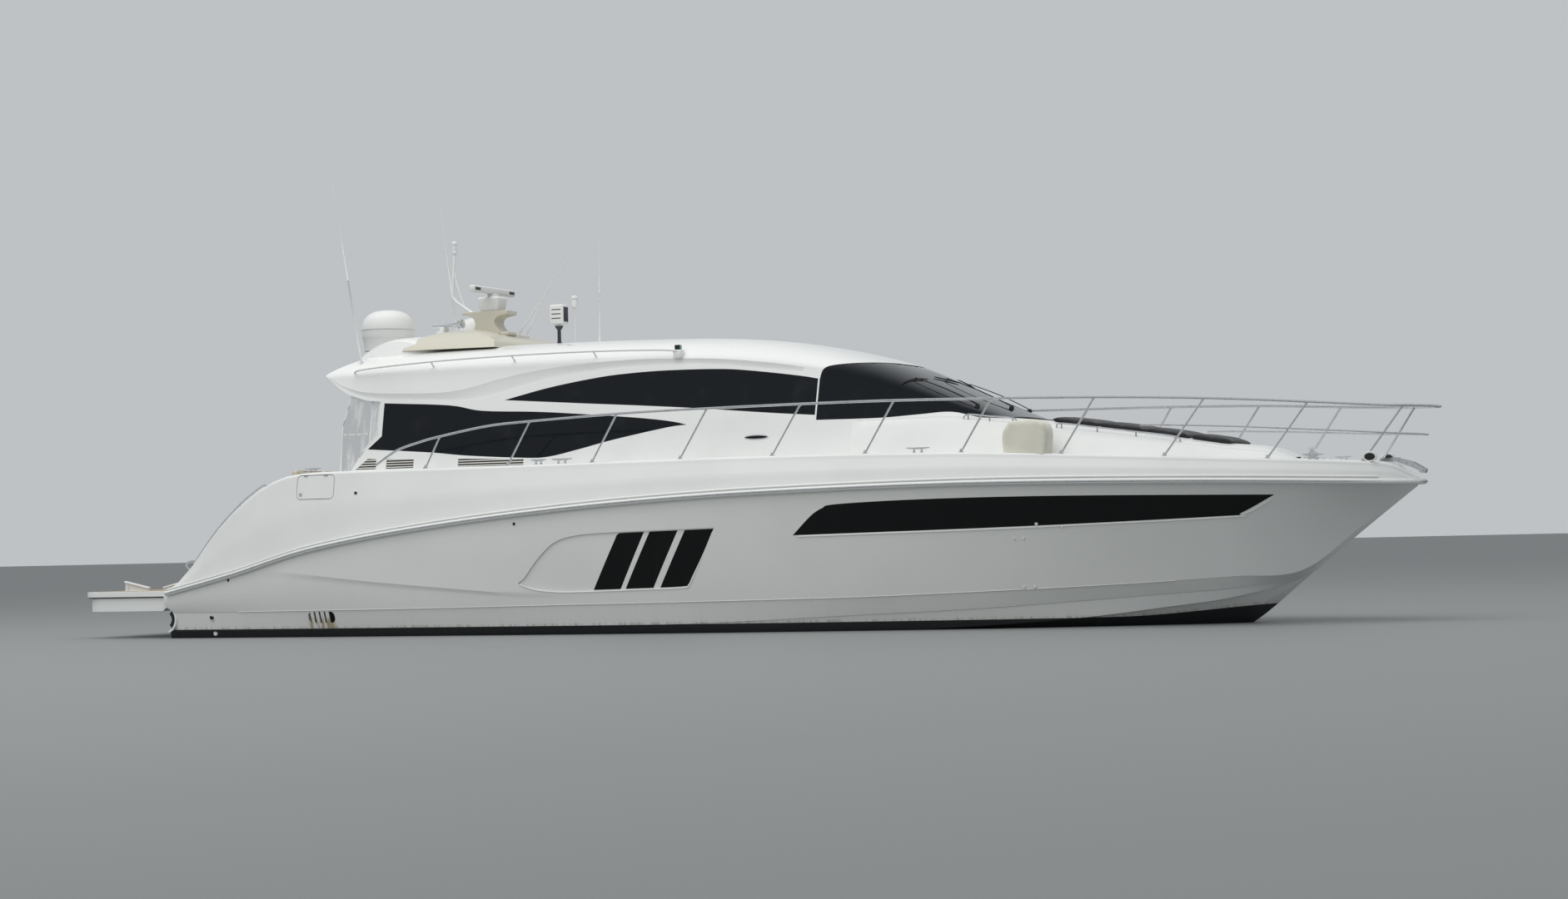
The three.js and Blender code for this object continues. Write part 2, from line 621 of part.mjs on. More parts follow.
// Deckhouse, windshield, side glass and hardtop: one form, split where the real panels meet
const houseInner = cabinForm(HOUSE_LINES, HOUSE_FOOT, WALL, 2);
const shell = houseOuter.subtract(houseInner);
const glassShell = houseOuter.subtract(cabinForm(HOUSE_LINES, HOUSE_FOOT, GLASS, 2));
const floorCut = deckForm().add(trunk);
const standsOn = (body) => body.subtract(floorCut.translate(0, 0, GAP));
const DOOR = { width: 760, height: 1900, wall: 50, slab: 30 };
const PILLAR = { places: [7150, 9405], width: 90, foot: 2600, cut: [9400, 9600, -FAR, FAR, -FAR, 2560] };
const BULKHEAD_LOW_TOP = 2230;
const bulkheadSpan = block(BULKHEAD_X, BULKHEAD_X + DOOR.wall, -FAR, FAR, SOLE_Z + GAP, FAR);
const doorway = block(
  BULKHEAD_X - 50, BULKHEAD_X + 100, -DOOR.width / 2, DOOR.width / 2, SOLE_Z - 50, SOLE_Z + DOOR.height - 150,
);
const roofLine = across(HARDTOP_OUTLINE, SEAM);
const bulkheadForm = cabinForm(HOUSE_LINES, HOUSE_FOOT, WALL + 2, 2).add(
  cabinForm(HOUSE_LINES, HOUSE_FOOT, WALL - 20, 2).subtract(roofLine),
);
const bulkhead = standsOn(bulkheadSpan.intersect(bulkheadForm))
  .add(block(BULKHEAD_X, BULKHEAD_X + DOOR.wall, -1630, 1630, SOLE_Z + GAP, BULKHEAD_LOW_TOP))
  .subtract(doorway);
const pillars = joined(
  PILLAR.places.map((x) => block(x, x + PILLAR.width, -FAR, FAR, PILLAR.foot, FAR)),
).intersect(cabinForm(HOUSE_LINES, HOUSE_FOOT, GLASS + 2, 2).subtract(houseInner));
let house = shell
  .intersect(across(HOUSE_OUTLINE))
  .subtract(across(HARDTOP_OUTLINE, SEAM))
  .subtract(across(WINDSHIELD_OUTLINE, SEAM))
  .subtract(across(UPPER_GLASS_OUTLINE, SEAM))
  .subtract(across(LOWER_GLASS_OUTLINE, SEAM));
house = standsOn(house)
  .add(bulkhead)
  .add(pillars.subtract(across(HARDTOP_OUTLINE, SEAM)).subtract(block(...PILLAR.cut)));
add("house", house, WHITE);
const hardtop = shell
  .intersect(across(HARDTOP_OUTLINE))
  .subtract(across(WINDSHIELD_OUTLINE, SEAM))
  .subtract(across(UPPER_GLASS_OUTLINE, SEAM))
  .subtract(across(LOWER_GLASS_OUTLINE, SEAM));
add("hardtop", hardtop, WHITE);
const glassFoot = floorCut.translate(0, 0, GAP);
add("windshield", glassShell.intersect(across(WINDSHIELD_OUTLINE)).subtract(glassFoot), BLACK_GLASS);
const upperGlass = glassShell.intersect(across(UPPER_GLASS_OUTLINE));
const lowerGlass = glassShell.intersect(across(LOWER_GLASS_OUTLINE)).subtract(glassFoot);
for (const { word, sign } of SIDES) {
  add("side_glass_upper_" + word, half(upperGlass, sign), BLACK_GLASS);
  add("side_glass_lower_" + word, half(lowerGlass, sign), BLACK_GLASS);
}

// Sliding glass door in the aft bulkhead, hung on its inner face
add(
  "salon_door",
  block(BULKHEAD_X + DOOR.wall + 6, BULKHEAD_X + DOOR.wall + 6 + DOOR.slab, -DOOR.width / 2 - 40,
    DOOR.width / 2 + 40, SOLE_Z + GAP, SOLE_Z + DOOR.height - 110),
  BLACK_GLASS,
);

// Radar arch over the aft end of the hardtop, and what stands on it
const ARCH_OUTLINE = [
  [3000, 3800], [3060, 3915], [3400, 4065], [3840, 4105], [4240, 4030], [4560, 3915], [4640, 3800],
];
const ARCH_LINES = table(CABIN_COLUMNS, [
  [2960, 1500, 1350, 3700, 4110],
  [3800, 1480, 1330, 3720, 4115],
  [4700, 1420, 1280, 3700, 4110],
]);
const archForm = cabinForm(ARCH_LINES, ARCH_FOOT, 0, 2);
add("radar_arch", archForm.intersect(across(ARCH_OUTLINE)).subtract(houseOuter.translate(0, 0, GAP)), BEIGE);
// A radome's section, from its foot up
const domeProfile = (radius, height, sink) => [
  [0, -sink], [radius * 0.62, -sink], [radius * 0.62, 40], [radius * 0.93, 70], [radius, height * 0.35],
  [radius, height * 0.5], [radius * 0.93, height * 0.72], [radius * 0.72, height * 0.9],
  [radius * 0.4, height * 0.98], [0, height],
];
const roofForm = houseOuter.intersect(across(HARDTOP_OUTLINE));
const archCut = archForm.intersect(across(ARCH_OUTLINE)).add(roofForm).translate(0, 0, GAP);
const DOMES = [
  { name: "satellite_dome", radius: 365, height: 440, sink: 120, place: [2830, -900, 3960], sides: 18 },
  { name: "small_dome", radius: 215, height: 300, sink: 100, place: [3330, 620, 4060], sides: 16 },
];
for (const { name, radius, height, sink, place, sides } of DOMES) {
  add(name, turned(domeProfile(radius, height, sink), place, sides).subtract(archCut), WHITE);
}
const RADAR = { x: 3960, base: 4080, head: 4600 + 15 + GAP, half: 600, depth: 50, height: 95 };
const FOOT_PLAN = [[3700, -130], [4280, -110], [4280, 110], [3700, 130]];
const STEM_PLAN = [[3760, -80], [4180, -70], [4180, 70], [3760, 80]];
const WING = { x: [3560, 4260], y: [-150, 150], z: [RADAR.base + 250, RADAR.base + 300] };
const GEARBOX_PROFILE = [[0, 0], [170, 0], [180, 120], [120, 190], [70, 230], [0, 230]];
const TURNTABLE_PROFILE = [[0, 0], [90, 0], [90, 40], [0, 40]];
const pedestal = joined([
  slab(FOOT_PLAN, RADAR.base - 60, RADAR.base + 60),
  slab(STEM_PLAN, RADAR.base, RADAR.base + 330),
  boxes([WING]),
  turned(GEARBOX_PROFILE, [RADAR.x, 0, RADAR.base + 290], 20),
]);
add("radar_pedestal", pedestal.subtract(archCut), BEIGE);
const BAR = {
  x: [RADAR.x - RADAR.depth, RADAR.x + RADAR.depth],
  y: [-RADAR.half, RADAR.half],
  z: [RADAR.head, RADAR.head + RADAR.height],
};
const scanner = boxes([BAR]).add(turned(TURNTABLE_PROFILE, [RADAR.x, 0, RADAR.head - 15], 16));
add("radar_scanner", scanner, WHITE);

// Rods that taper or not, each from one place to another
const rods = (rows) =>
  joined(rows.map(({ from, to, r, sides = 8, end = r }) => rod(from, to, r, sides, end)));
const MAST_RODS = [
  { from: [3600, 60, RADAR.base + 310], to: [3310, 60, 4580], r: 22 },
  { from: [3310, 60, 4580], to: [3350, 60, 5230], r: 20 },
  { from: [3350, 60, 5220], to: [3350, 60, 5390], r: 38, sides: 10 },
];
const MAST_FOOT = { x: [3560, 3640], y: [20, 100], z: [RADAR.base + 300, RADAR.base + 330] };
const mast = rods(MAST_RODS).add(boxes([MAST_FOOT]));
add("light_mast", mast.subtract(pedestal.translate(0, 0, GAP)), WHITE);
const HORN_MOTOR = { x: [3350, 3420], y: [-420, -260], z: [4000, 4190] };
const HORN_RODS = [
  { from: [3230, -380, 4180], to: [3700, -380, 4200], r: 28, sides: 10, end: 62 },
  { from: [3230, -300, 4180], to: [3600, -300, 4200], r: 28, sides: 10, end: 55 },
];
add("horns", boxes([HORN_MOTOR]).add(rods(HORN_RODS)).subtract(archCut), STEEL);

// Antennas: each one a rod on a short foot
const ANTENNAS = [
  { name: "whip_antenna_starboard", foot: [2790, -1560, 3560], tip: [2410, -1600, 6090], r: 14, boss: 45 },
  { name: "whip_antenna_port", foot: [2900, 1000, 3680], tip: [2600, 1040, 5950], r: 12, boss: 35 },
  { name: "roof_antenna", foot: [5560, 60, 3800], tip: [5580, 60, 5330], r: 9, boss: 30 },
];
const BOSS_HEIGHT = 130;
for (const { name, foot: [x, y, z], tip, r, boss } of ANTENNAS) {
  const body = rods([
    { from: [x, y, z], to: [x, y, z + BOSS_HEIGHT], r: boss, sides: 10, end: boss * 0.7 },
    { from: [x, y, z + BOSS_HEIGHT - 30], to: tip, r, end: r * 0.45 },
  ]);
  add(name, body.subtract(archCut), WHITE);
}
const ROD_BASE = { x: [4180, 4260], y: [180, 520], z: [3960, 4075] };
const ROD_ANTENNAS = [
  { from: [4230, 220, 4060], to: [5040, 220, 5100], r: 10, sides: 6, end: 5 },
  { from: [4210, 480, 4060], to: [4900, 480, 5260], r: 10, sides: 6, end: 5 },
];
add("rod_antennas", boxes([ROD_BASE]).add(rods(ROD_ANTENNAS)).subtract(archCut), WHITE);
const SENSOR_BOXES = [
  { x: [4860, 5140], y: [110, 280], z: [3820, 3895] },
  { x: [4790, 5010], y: [60, 240], z: [4130, 4440] },
];
const SENSOR_RODS = [
  { from: [4900, 150, 3880], to: [4900, 150, 4150], r: 22 },
  { from: [5100, 240, 3880], to: [5100, 240, 4400], r: 12 },
  { from: [5100, 240, 4390], to: [5100, 240, 4560], r: 45, sides: 10 },
];
add("roof_sensors", boxes(SENSOR_BOXES).add(rods(SENSOR_RODS)).subtract(archCut), WHITE);

// Handrails on the hardtop's edges
const ROOF_RAIL = [
  { x: 2810, y: 1765, z: 3490 }, { x: 2960, y: 1800, z: 3545 }, { x: 3980, y: 1800, z: 3605 },
  { x: 5170, y: 1780, z: 3635 }, { x: 6330, y: 1725, z: 3640 }, { x: 7390, y: 1660, z: 3610 },
  { x: 7500, y: 1600, z: 3540 },
];
const ROOF_POSTS = ROOF_RAIL.slice(2, 5);
for (const { word, sign } of SIDES) {
  const points = ROOF_RAIL.map(({ x, y, z }) => [x, sign * y, z]);
  const posts = ROOF_POSTS.map(({ x, y, z }) => rod([x, sign * y, z], [x, sign * (y - 160), z - 110], 11, 5));
  const rail = joined([tube(points, 15, 16, 6), ...posts]).subtract(houseOuter);
  const kept = rail.decompose().sort((a, b) => b.volume() - a.volume())[0];
  add("roof_handrail_" + word, kept, WHITE);
}

// Guard rail round the foredeck: top rail, bow mid rail and raked stanchions, one welded frame
const RAIL_LINES = [
  { x: 3380, z: 2250, in: 170 }, { x: 3700, z: 2430, in: 165 }, { x: 4030, z: 2525, in: 160 },
  { x: 4370, z: 2595, in: 155 }, { x: 5050, z: 2700, in: 150 }, { x: 5660, z: 2740, in: 150 },
  { x: 6910, z: 2790, in: 145 }, { x: 8150, z: 2812, in: 140 }, { x: 9390, z: 2822, in: 135 },
  { x: 10590, z: 2822, in: 130 }, { x: 11790, z: 2805, in: 125 }, { x: 13010, z: 2780, in: 120 },
  { x: 14260, z: 2735, in: 105 }, { x: 15400, z: 2665, in: 90 }, { x: 16200, z: 2610, in: 60 },
];
// The x of each raked stanchion's foot and of its top
const STANCHIONS = [
  [4130, 4360], [5340, 5680], [6550, 6920], [7780, 8170], [9020, 9420], [10230, 10620], [11430, 11820],
  [12630, 13040], [13820, 14300], [14980, 15450], [16020, 16480],
];
// The foremost pair of stanchions ends on the rail's curve round the bow
const LAST_TOP = { x: 16480, y: 365, z: 2603 };
const railTopZ = line(RAIL_LINES, "z");
const railIn = line(RAIL_LINES, "in");
const FOOT_IN = 175;
const railPoint = (x, sign) => [x, sign * (rubY(x) - railIn(x)), railTopZ(x)];
// A line from starboard round the bow to port, from its starboard half and its place on the centreline
const roundBow = (starboard, middle) => [...starboard, middle, ...mirrorY(starboard).reverse()];
const topRail = roundBow(
  [...RAIL_LINES.map(({ x }) => railPoint(x, -1)), [16560, -330, 2600], [16780, -210, 2590]],
  [16860, 0, 2585],
);
const MID_RAIL = { drop: 330, inner: 30, places: [13560, 14040, 15180, 15900] };
const midRail = roundBow(
  [
    ...MID_RAIL.places.map((x) => [x, -(rubY(x) - railIn(x) - MID_RAIL.inner), railTopZ(x) - MID_RAIL.drop]),
    [16380, -360, 2270],
    [16640, -190, 2255],
  ],
  [16700, 0, 2250],
);
const stanchions = SIDES.flatMap(({ sign }) =>
  STANCHIONS.map(([footX, topX]) => {
    const last = topX === LAST_TOP.x;
    const top = last ? [topX, sign * LAST_TOP.y, LAST_TOP.z] : railPoint(topX, sign);
    return rod([footX - 12, sign * (rubY(footX) - FOOT_IN), deckEdge(footX) - 34], top, RAIL_R - 2, 5);
  }),
);
const guardRail = joined([tube(topRail, RAIL_R + 2, 60, 6), tube(midRail, RAIL_R - 4, 24, 5), ...stanchions])
  .subtract(deck.translate(0, 0, GAP))
  .subtract(block(0, FAR * 4, -GAP / 2, GAP / 2, 0, FAR));
for (const { word, sign } of SIDES) add("guard_rail_" + word, half(guardRail, sign), STEEL);

// Swim platform on parallel lift arms, with its tender chocks
// The starboard half of a plan outline with its mirror image, as one closed list
const bothSides = (starboard) => [...starboard, ...starboard.map(([x, y]) => [x, -y]).reverse()];
const platformPlan = bothSides([[-70, -1960], [-1250, -1960], [-1420, -1900], [-1500, -1760]]);
const innerPlan = bothSides([[-90, -1920], [-1230, -1920], [-1380, -1860], [-1450, -1730]]);
// Wedge-shaped chocks for a tender: where each stands, and the heights of its aft and forward ends
const CHOCK = { half: 150, thick: 35, places: [-900, 900], sunk: 10 };
const CHOCKS = [
  { x: -1060, aft: 150, fore: 50 },
  { x: -420, aft: 50, fore: 150 },
];
const chocks = CHOCK.places.flatMap((y) =>
  CHOCKS.map(({ x, aft, fore }) => {
    const foot = PLATFORM_TOP - CHOCK.sunk;
    const [back, front] = [x - CHOCK.half, x + CHOCK.half];
    const wedge = [[back, foot], [front, foot], [front, foot + fore], [back, foot + aft]];
    return prism(wedge, y - CHOCK.thick, y + CHOCK.thick);
  }),
);
const platform = joined([
  slab(platformPlan, PLATFORM_TOP - 75, PLATFORM_TOP),
  slab(innerPlan, PLATFORM_TOP - PLATFORM_DEPTH, PLATFORM_TOP - 60),
  boxes(cheeks(40, 75, [ARM.tipX - 60, ARM.tipX + 60], [ARM.tipZ - 55, PLATFORM_TOP - 250])),
  ...chocks,
]);
add("swim_platform", platform.subtract(armRods(ARM.tipX, ARM.tipZ, 95, ARM.bore, 12)), WHITE);
const beams = SIDES.map(({ sign }) =>
  rod([ARM.pivotX, sign * ARM.y, ARM.pivotZ], [ARM.tipX, sign * ARM.y, ARM.tipZ], ARM.radius, 8),
);
const CROSS_TUBE = { x: -175, z: -230, r: 25 };
const arms = joined([
  ...beams,
  armRods(ARM.pivotX, ARM.pivotZ, 30, 50, 12),
  armRods(ARM.tipX, ARM.tipZ, 30, 48, 12),
  armRods(ARM.tipX, ARM.tipZ, 90, ARM.pin, 10),
  rod([CROSS_TUBE.x, -ARM.y, CROSS_TUBE.z], [CROSS_TUBE.x, ARM.y, CROSS_TUBE.z], CROSS_TUBE.r, 8),
]);
add("platform_arms", arms.subtract(armRods(ARM.pivotX, ARM.pivotZ, 60, ARM.bore, 12)), DARK);

// Doors, lids and hatches
add("transom_door", transomDoor, WHITE);
add("engine_hatch", engineLid.lid, WHITE);
add("deck_hatch", deckLid.lid, BLACK_GLASS);
add("bow_locker_lid", bowLid.lid, WHITE);
for (const { word, lid } of quarterDoors) add("quarter_door_" + word, lid, WHITE);
const GATE = { x: 1285, thick: 30, inner: 1195, outer: 1675, z0: SOLE_Z + 12, z1: 1960, pinHeight: 240 };
for (const { word, sign } of SIDES) {
  const [low, high] = sign < 0 ? [-GATE.outer, -GATE.inner] : [GATE.inner, GATE.outer];
  const panel = block(GATE.x, GATE.x + GATE.thick, low, high, GATE.z0, GATE.z1);
  const hinge = [GATE.x + GATE.thick / 2, sign * GATE.outer];
  const pinTop = [...hinge, GATE.z0 + GATE.pinHeight];
  const pin = rod([...hinge, GATE.z0], pinTop, STAIR.outer - GATE.outer - GAP, 12);
  add("stair_gate_" + word, panel.add(pin), WHITE);
}

// Windlass on the foredeck
const WINDLASS = {
  place: [15280, 0, 1990],
  profile: [[0, -40], [95, -40], [95, 15], [60, 35], [42, 70], [60, 105], [60, 130], [0, 138]],
};
add("windlass", turned(WINDLASS.profile, WINDLASS.place, 20).subtract(deck.translate(0, 0, GAP)), STEEL);

// Cushions and covers
const padPlan = bothSides([[12200, -860], [14300, -560], [14420, -480]]);
const PAD = { low: 2000, high: 3000, thick: 95 };
const padForm = trunk.translate(0, 0, PAD.thick).subtract(trunk.translate(0, 0, GAP));
add("sun_pad", padForm.intersect(slab(padPlan, PAD.low, PAD.high)), DARK);
const COVER = { x: [11900, 12450], y: [-1960, -1560], z: [2100, 2560] };
const COVER_SQUARE = { ...COVER, z: [2100, 2480] };
const cover = boxes([COVER]).intersect(trunk.translate(0, -120, 80).add(boxes([COVER_SQUARE])));
const coverSeat = deck.translate(0, 0, GAP).add(trunk.translate(0, -GAP, GAP));
add("side_deck_cover", cover.subtract(coverSeat), FABRIC);
const COCKPIT_SETTEE = [
  { x: [1345, 1940], y: [-1110, 1110], z: [PLINTH.z[1] + GAP, SOLE_Z + 450] },
  { x: [1345, 1480], y: [-1110, 1110], z: [SOLE_Z + 440, SOLE_Z + 760] },
];
add("cockpit_settee", boxes(COCKPIT_SETTEE), FABRIC);
const SALON_SETTEE = [
  { x: [5215, 7300], y: [880, 1560], z: [SOLE_Z + GAP, SOLE_Z + 450] },
  { x: [5215, 7300], y: [1400, 1560], z: [SOLE_Z + 440, SOLE_Z + 800] },
];
add("salon_settee", boxes(SALON_SETTEE), FABRIC);
const CURTAIN_OUTLINE = [
  [2750, 3205], [2655, 2760], [2670, 2160], [2860, 2160], [3025, 2450], [3220, 2650], [3220, 3098],
  [2880, 3156],
];
const CURTAIN = { outer: 20, inner: 26 };
const curtain = cabinForm(HOUSE_LINES, HOUSE_FOOT, CURTAIN.outer, 2)
  .subtract(cabinForm(HOUSE_LINES, HOUSE_FOOT, CURTAIN.inner, 2))
  .intersect(across(CURTAIN_OUTLINE))
  .subtract(across(HOUSE_OUTLINE, 2))
  .subtract(glassFoot);
for (const { word, sign } of SIDES) add("vinyl_curtain_" + word, half(curtain, sign), FABRIC);

// Helm: console, wheel and seat
const HELM = { y: -900, half: 560, wheelR: 210, rimR: 16, spokeR: 11, rake: 28, shaft: 38, shaftLength: 130 };
const HELM_HUB = [9140, HELM.y, 2290];
const atWheel = (body) => body.rotate([0, HELM.rake - 90, 0]).translate(...HELM_HUB);
const consoleOutline = [
  [9180, SOLE_Z + GAP], [9950, SOLE_Z + GAP], [9950, 2560], [9480, 2560], [9230, 2330], [9180, 2000],
];
const shaftBore = atWheel(rod([0, 0, 0], [0, 0, -HELM.shaftLength - 1], HELM.shaft + 0.8, 24));
add("helm_console", prism(consoleOutline, HELM.y - HELM.half, HELM.y + HELM.half).subtract(shaftBore), DARK);
const wheelSolid = joined([
  solid(new THREE.TorusGeometry(HELM.wheelR, HELM.rimR, 6, 20)),
  rod([-HELM.wheelR, 0, 0], [HELM.wheelR, 0, 0], HELM.spokeR, 8),
  rod([0, -HELM.wheelR, 0], [0, 0, 0], HELM.spokeR, 8),
  rod([0, 0, 25], [0, 0, -HELM.shaftLength], HELM.shaft, 12),
]);
add("steering_wheel", atWheel(wheelSolid), DARK);
const SEAT = { x: 8450, post: 75, postTop: 2080, y: [HELM.y - 520, HELM.y + 520] };
const seatPost = rod([SEAT.x, HELM.y, SOLE_Z + GAP], [SEAT.x, HELM.y, SEAT.postTop], SEAT.post, 14);
const SEAT_CUSHIONS = [
  { x: [8180, 8720], y: SEAT.y, z: [2070, 2220] },
  { x: [8120, 8240], y: SEAT.y, z: [2200, 2820] },
];
add("helm_seat", seatPost.add(boxes(SEAT_CUSHIONS)), FABRIC);

// Pod drives with counter-turning propellers, and trim tabs
const podTop = POD.collar - GAP;
const legOutline = [[1690, podTop - 40], [2380, podTop - 40], [2330, POD.axisZ], [1800, POD.axisZ]];
const SKEG = [[1800, -60], [2250, -60], [2150, -260], [1900, -260]];
const skegOutline = SKEG.map(([x, z]) => [x, POD.axisZ + z]);
// One blade's outline, from the propeller's axis out
const blade = (radius, width) => {
  const face = new THREE.Shape();
  face.moveTo(-30, 60);
  face.quadraticCurveTo(-width, radius * 0.6, -width * 0.35, radius * 0.97);
  face.quadraticCurveTo(width * 0.25, radius * 1.02, width * 0.7, radius * 0.85);
  face.quadraticCurveTo(width * 0.9, radius * 0.45, 30, 60);
  const thick = 12;
  const body = new THREE.ExtrudeGeometry(face, { depth: thick, bevelEnabled: false, curveSegments: 4 });
  return solid(body.translate(0, 0, -thick / 2));
};
const BLADE = { width: 0.36, pitch: 32 };
function propeller(x, radius, count, hand, hub) {
  const blades = [];
  for (let k = 0; k < count; k += 1) {
    const flat = blade(radius, radius * BLADE.width);
    blades.push(flat.rotate([0, 90 + hand * BLADE.pitch, 0]).rotate([(360 * k) / count, 0, 0]));
  }
  return joined([hub, ...blades]).translate(x, 0, 0);
}
const SHAFT = { front: 1560, split: 1440 };
const PROPS = [
  { word: "front", x: 1500, r: 275, count: 3, hand: 1 },
  { word: "rear", x: 1372, r: 255, count: 4, hand: -1 },
];
for (const { word: side, sign } of SIDES) {
  const y = sign * POD.y;
  const pod = joined([
    prism(legOutline, y - 55, y + 55),
    rod([POD.x, y, podTop - 50], [POD.x, y, podTop], 215, 20),
    rod([SHAFT.front, y, POD.axisZ], [2380, y, POD.axisZ], 112, 16, 100),
    rod([2375, y, POD.axisZ], [2520, y, POD.axisZ], 100, 16, 40),
    prism(skegOutline, y - 22, y + 22),
  ]);
  add("pod_" + side, pod, DARK);
  for (const { word, x, r, count, hand } of PROPS) {
    const hub =
      word === "rear"
        ? rods([
            { from: [SHAFT.split - GAP - x, 0, 0], to: [-48, 0, 0], r: 96, sides: 16, end: 92 },
            { from: [-40, 0, 0], to: [-150, 0, 0], r: 90, sides: 16, end: 30 },
          ])
        : rod([SHAFT.front - GAP - x, 0, 0], [SHAFT.split - x, 0, 0], 106, 16, 98);
    const whole = propeller(x, r, count, hand * sign, hub).translate(0, y, POD.axisZ);
    add("propeller_" + word + "_" + side, whole, BRONZE);
  }
  const plate = block(-TAB.length - TAB.pin, -TAB.pin, -TAB.half, TAB.half, -TAB.thick, 0);
  const [from, to] = [-TAB.half, TAB.half].map((at) => [-TAB.pin, at, -TAB.thick / 2]);
  const tab = plate.add(rod(from, to, TAB.pin - GAP, 12));
  add("trim_tab_" + side, tab.rotate([sign * TAB.tilt, 0, 0]).translate(0, sign * TAB.y, TAB.z), STEEL);
}

export default yacht;
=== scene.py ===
"""A white hardtop motor yacht afloat, dressed piece by piece around its fixed frame.

The boat's axes are +X towards the bow, +Y to port and +Z up, in metres, with the origin on the
waterline at the foot of the transom.
"""

from functools import cache
from math import atan2, cos, dist, exp, pi, radians, sin

import bmesh
import bpy
from mathutils import Matrix, Vector
from mathutils.bvhtree import BVHTree


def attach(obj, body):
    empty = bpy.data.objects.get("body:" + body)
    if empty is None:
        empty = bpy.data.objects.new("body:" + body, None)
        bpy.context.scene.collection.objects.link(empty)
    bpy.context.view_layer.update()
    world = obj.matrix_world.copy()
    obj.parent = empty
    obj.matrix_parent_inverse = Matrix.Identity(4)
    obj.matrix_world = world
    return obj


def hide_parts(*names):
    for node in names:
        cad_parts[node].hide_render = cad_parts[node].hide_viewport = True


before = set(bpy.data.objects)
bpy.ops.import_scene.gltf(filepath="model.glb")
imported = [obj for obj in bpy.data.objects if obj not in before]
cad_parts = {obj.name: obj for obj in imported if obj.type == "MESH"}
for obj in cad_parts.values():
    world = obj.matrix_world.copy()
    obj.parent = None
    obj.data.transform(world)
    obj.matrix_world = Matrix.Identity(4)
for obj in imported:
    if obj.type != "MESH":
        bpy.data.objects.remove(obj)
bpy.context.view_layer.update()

bl_info = {
    "name": "Hardtop motor yacht",
    "version": (1, 0, 0),
    "blender": (4, 5, 0),
    "location": "View3D > Sidebar > Yacht",
    "description": "Dresses a hardtop motor yacht piece by piece around its fixed frame",
    "category": "Object",
}

SIDES = (("starboard", -1), ("port", 1))
WATERLINE = 0.0
SOLE_Z = 1.52
PLATFORM_TOP = 0.64
BULKHEAD_X = 3.29
SEAM = 0.003


def hermite(here, there, leave, arrive, t):
    """A smooth way from one value to the next, which leaves and arrives at given rates."""
    near = (2 * t**3 - 3 * t**2 + 1) * here + (t**3 - 2 * t**2 + t) * leave
    return near + (3 * t**2 - 2 * t**3) * there + (t**3 - t**2) * arrive


class Lines:
    """Smooth curves through a table's columns, read at any place along the boat."""

    def __init__(self, columns, rows, foot=0.0):
        self.columns, self.rows, self.foot = columns.split(), rows, foot

    def __call__(self, column, x):
        rows, k = self.rows, self.columns.index(column)
        i = 0
        while i < len(rows) - 2 and x > rows[i + 1][0]:
            i += 1
        a, b, c, d = rows[max(i - 1, 0)], rows[i], rows[i + 1], rows[min(i + 2, len(rows) - 1)]
        span = c[0] - b[0]
        return hermite(b[k], c[k], (c[k] - a[k]) / (c[0] - a[0]) * span, (d[k] - b[k]) / (d[0] - b[0]) * span,
                       min(max((x - b[0]) / span, 0), 1))


HULL = Lines("x keel chine_y chine spray_y spray knuckle_y knuckle rub_y rub", (
    (0, -0.78, 1.96, -0.07, 2.04, 0.09, 2.1, 0.35, 2.16, 0.59),
    (1.2, -0.8, 2.01, -0.07, 2.1, 0.09, 2.185, 0.352, 2.275, 0.85),
    (2.4, -0.815, 2.05, -0.07, 2.14, 0.092, 2.24, 0.358, 2.36, 1.15),
    (4.0, -0.83, 2.08, -0.068, 2.165, 0.095, 2.27, 0.366, 2.415, 1.39),
    (6.0, -0.84, 2.07, -0.06, 2.16, 0.1, 2.26, 0.385, 2.425, 1.59),
    (8.0, -0.84, 2.0, -0.045, 2.09, 0.125, 2.19, 0.402, 2.42, 1.71),
    (10.0, -0.82, 1.8, -0.015, 1.905, 0.2, 2.02, 0.425, 2.345, 1.765),
    (11.5, -0.76, 1.54, 0.04, 1.64, 0.255, 1.76, 0.465, 2.185, 1.78),
    (12.6, -0.64, 1.265, 0.11, 1.35, 0.32, 1.48, 0.5, 1.98, 1.772),
    (13.6, -0.42, 0.935, 0.22, 1.02, 0.385, 1.15, 0.54, 1.72, 1.755),
    (14.49, 0.0, 0.56, 0.345, 0.65, 0.45, 0.79, 0.585, 1.43, 1.735),
    (15.2, 0.56, 0.06, 0.58, 0.15, 0.59, 0.35, 0.64, 1.15, 1.715),
    (15.9, 1.12, 0.03, 1.135, 0.06, 1.15, 0.095, 1.17, 0.79, 1.695),
    (16.35, 1.47, 0.025, 1.48, 0.045, 1.49, 0.065, 1.5, 0.44, 1.683),
    (16.56, 1.63, 0.02, 1.636, 0.032, 1.642, 0.044, 1.65, 0.14, 1.678)))
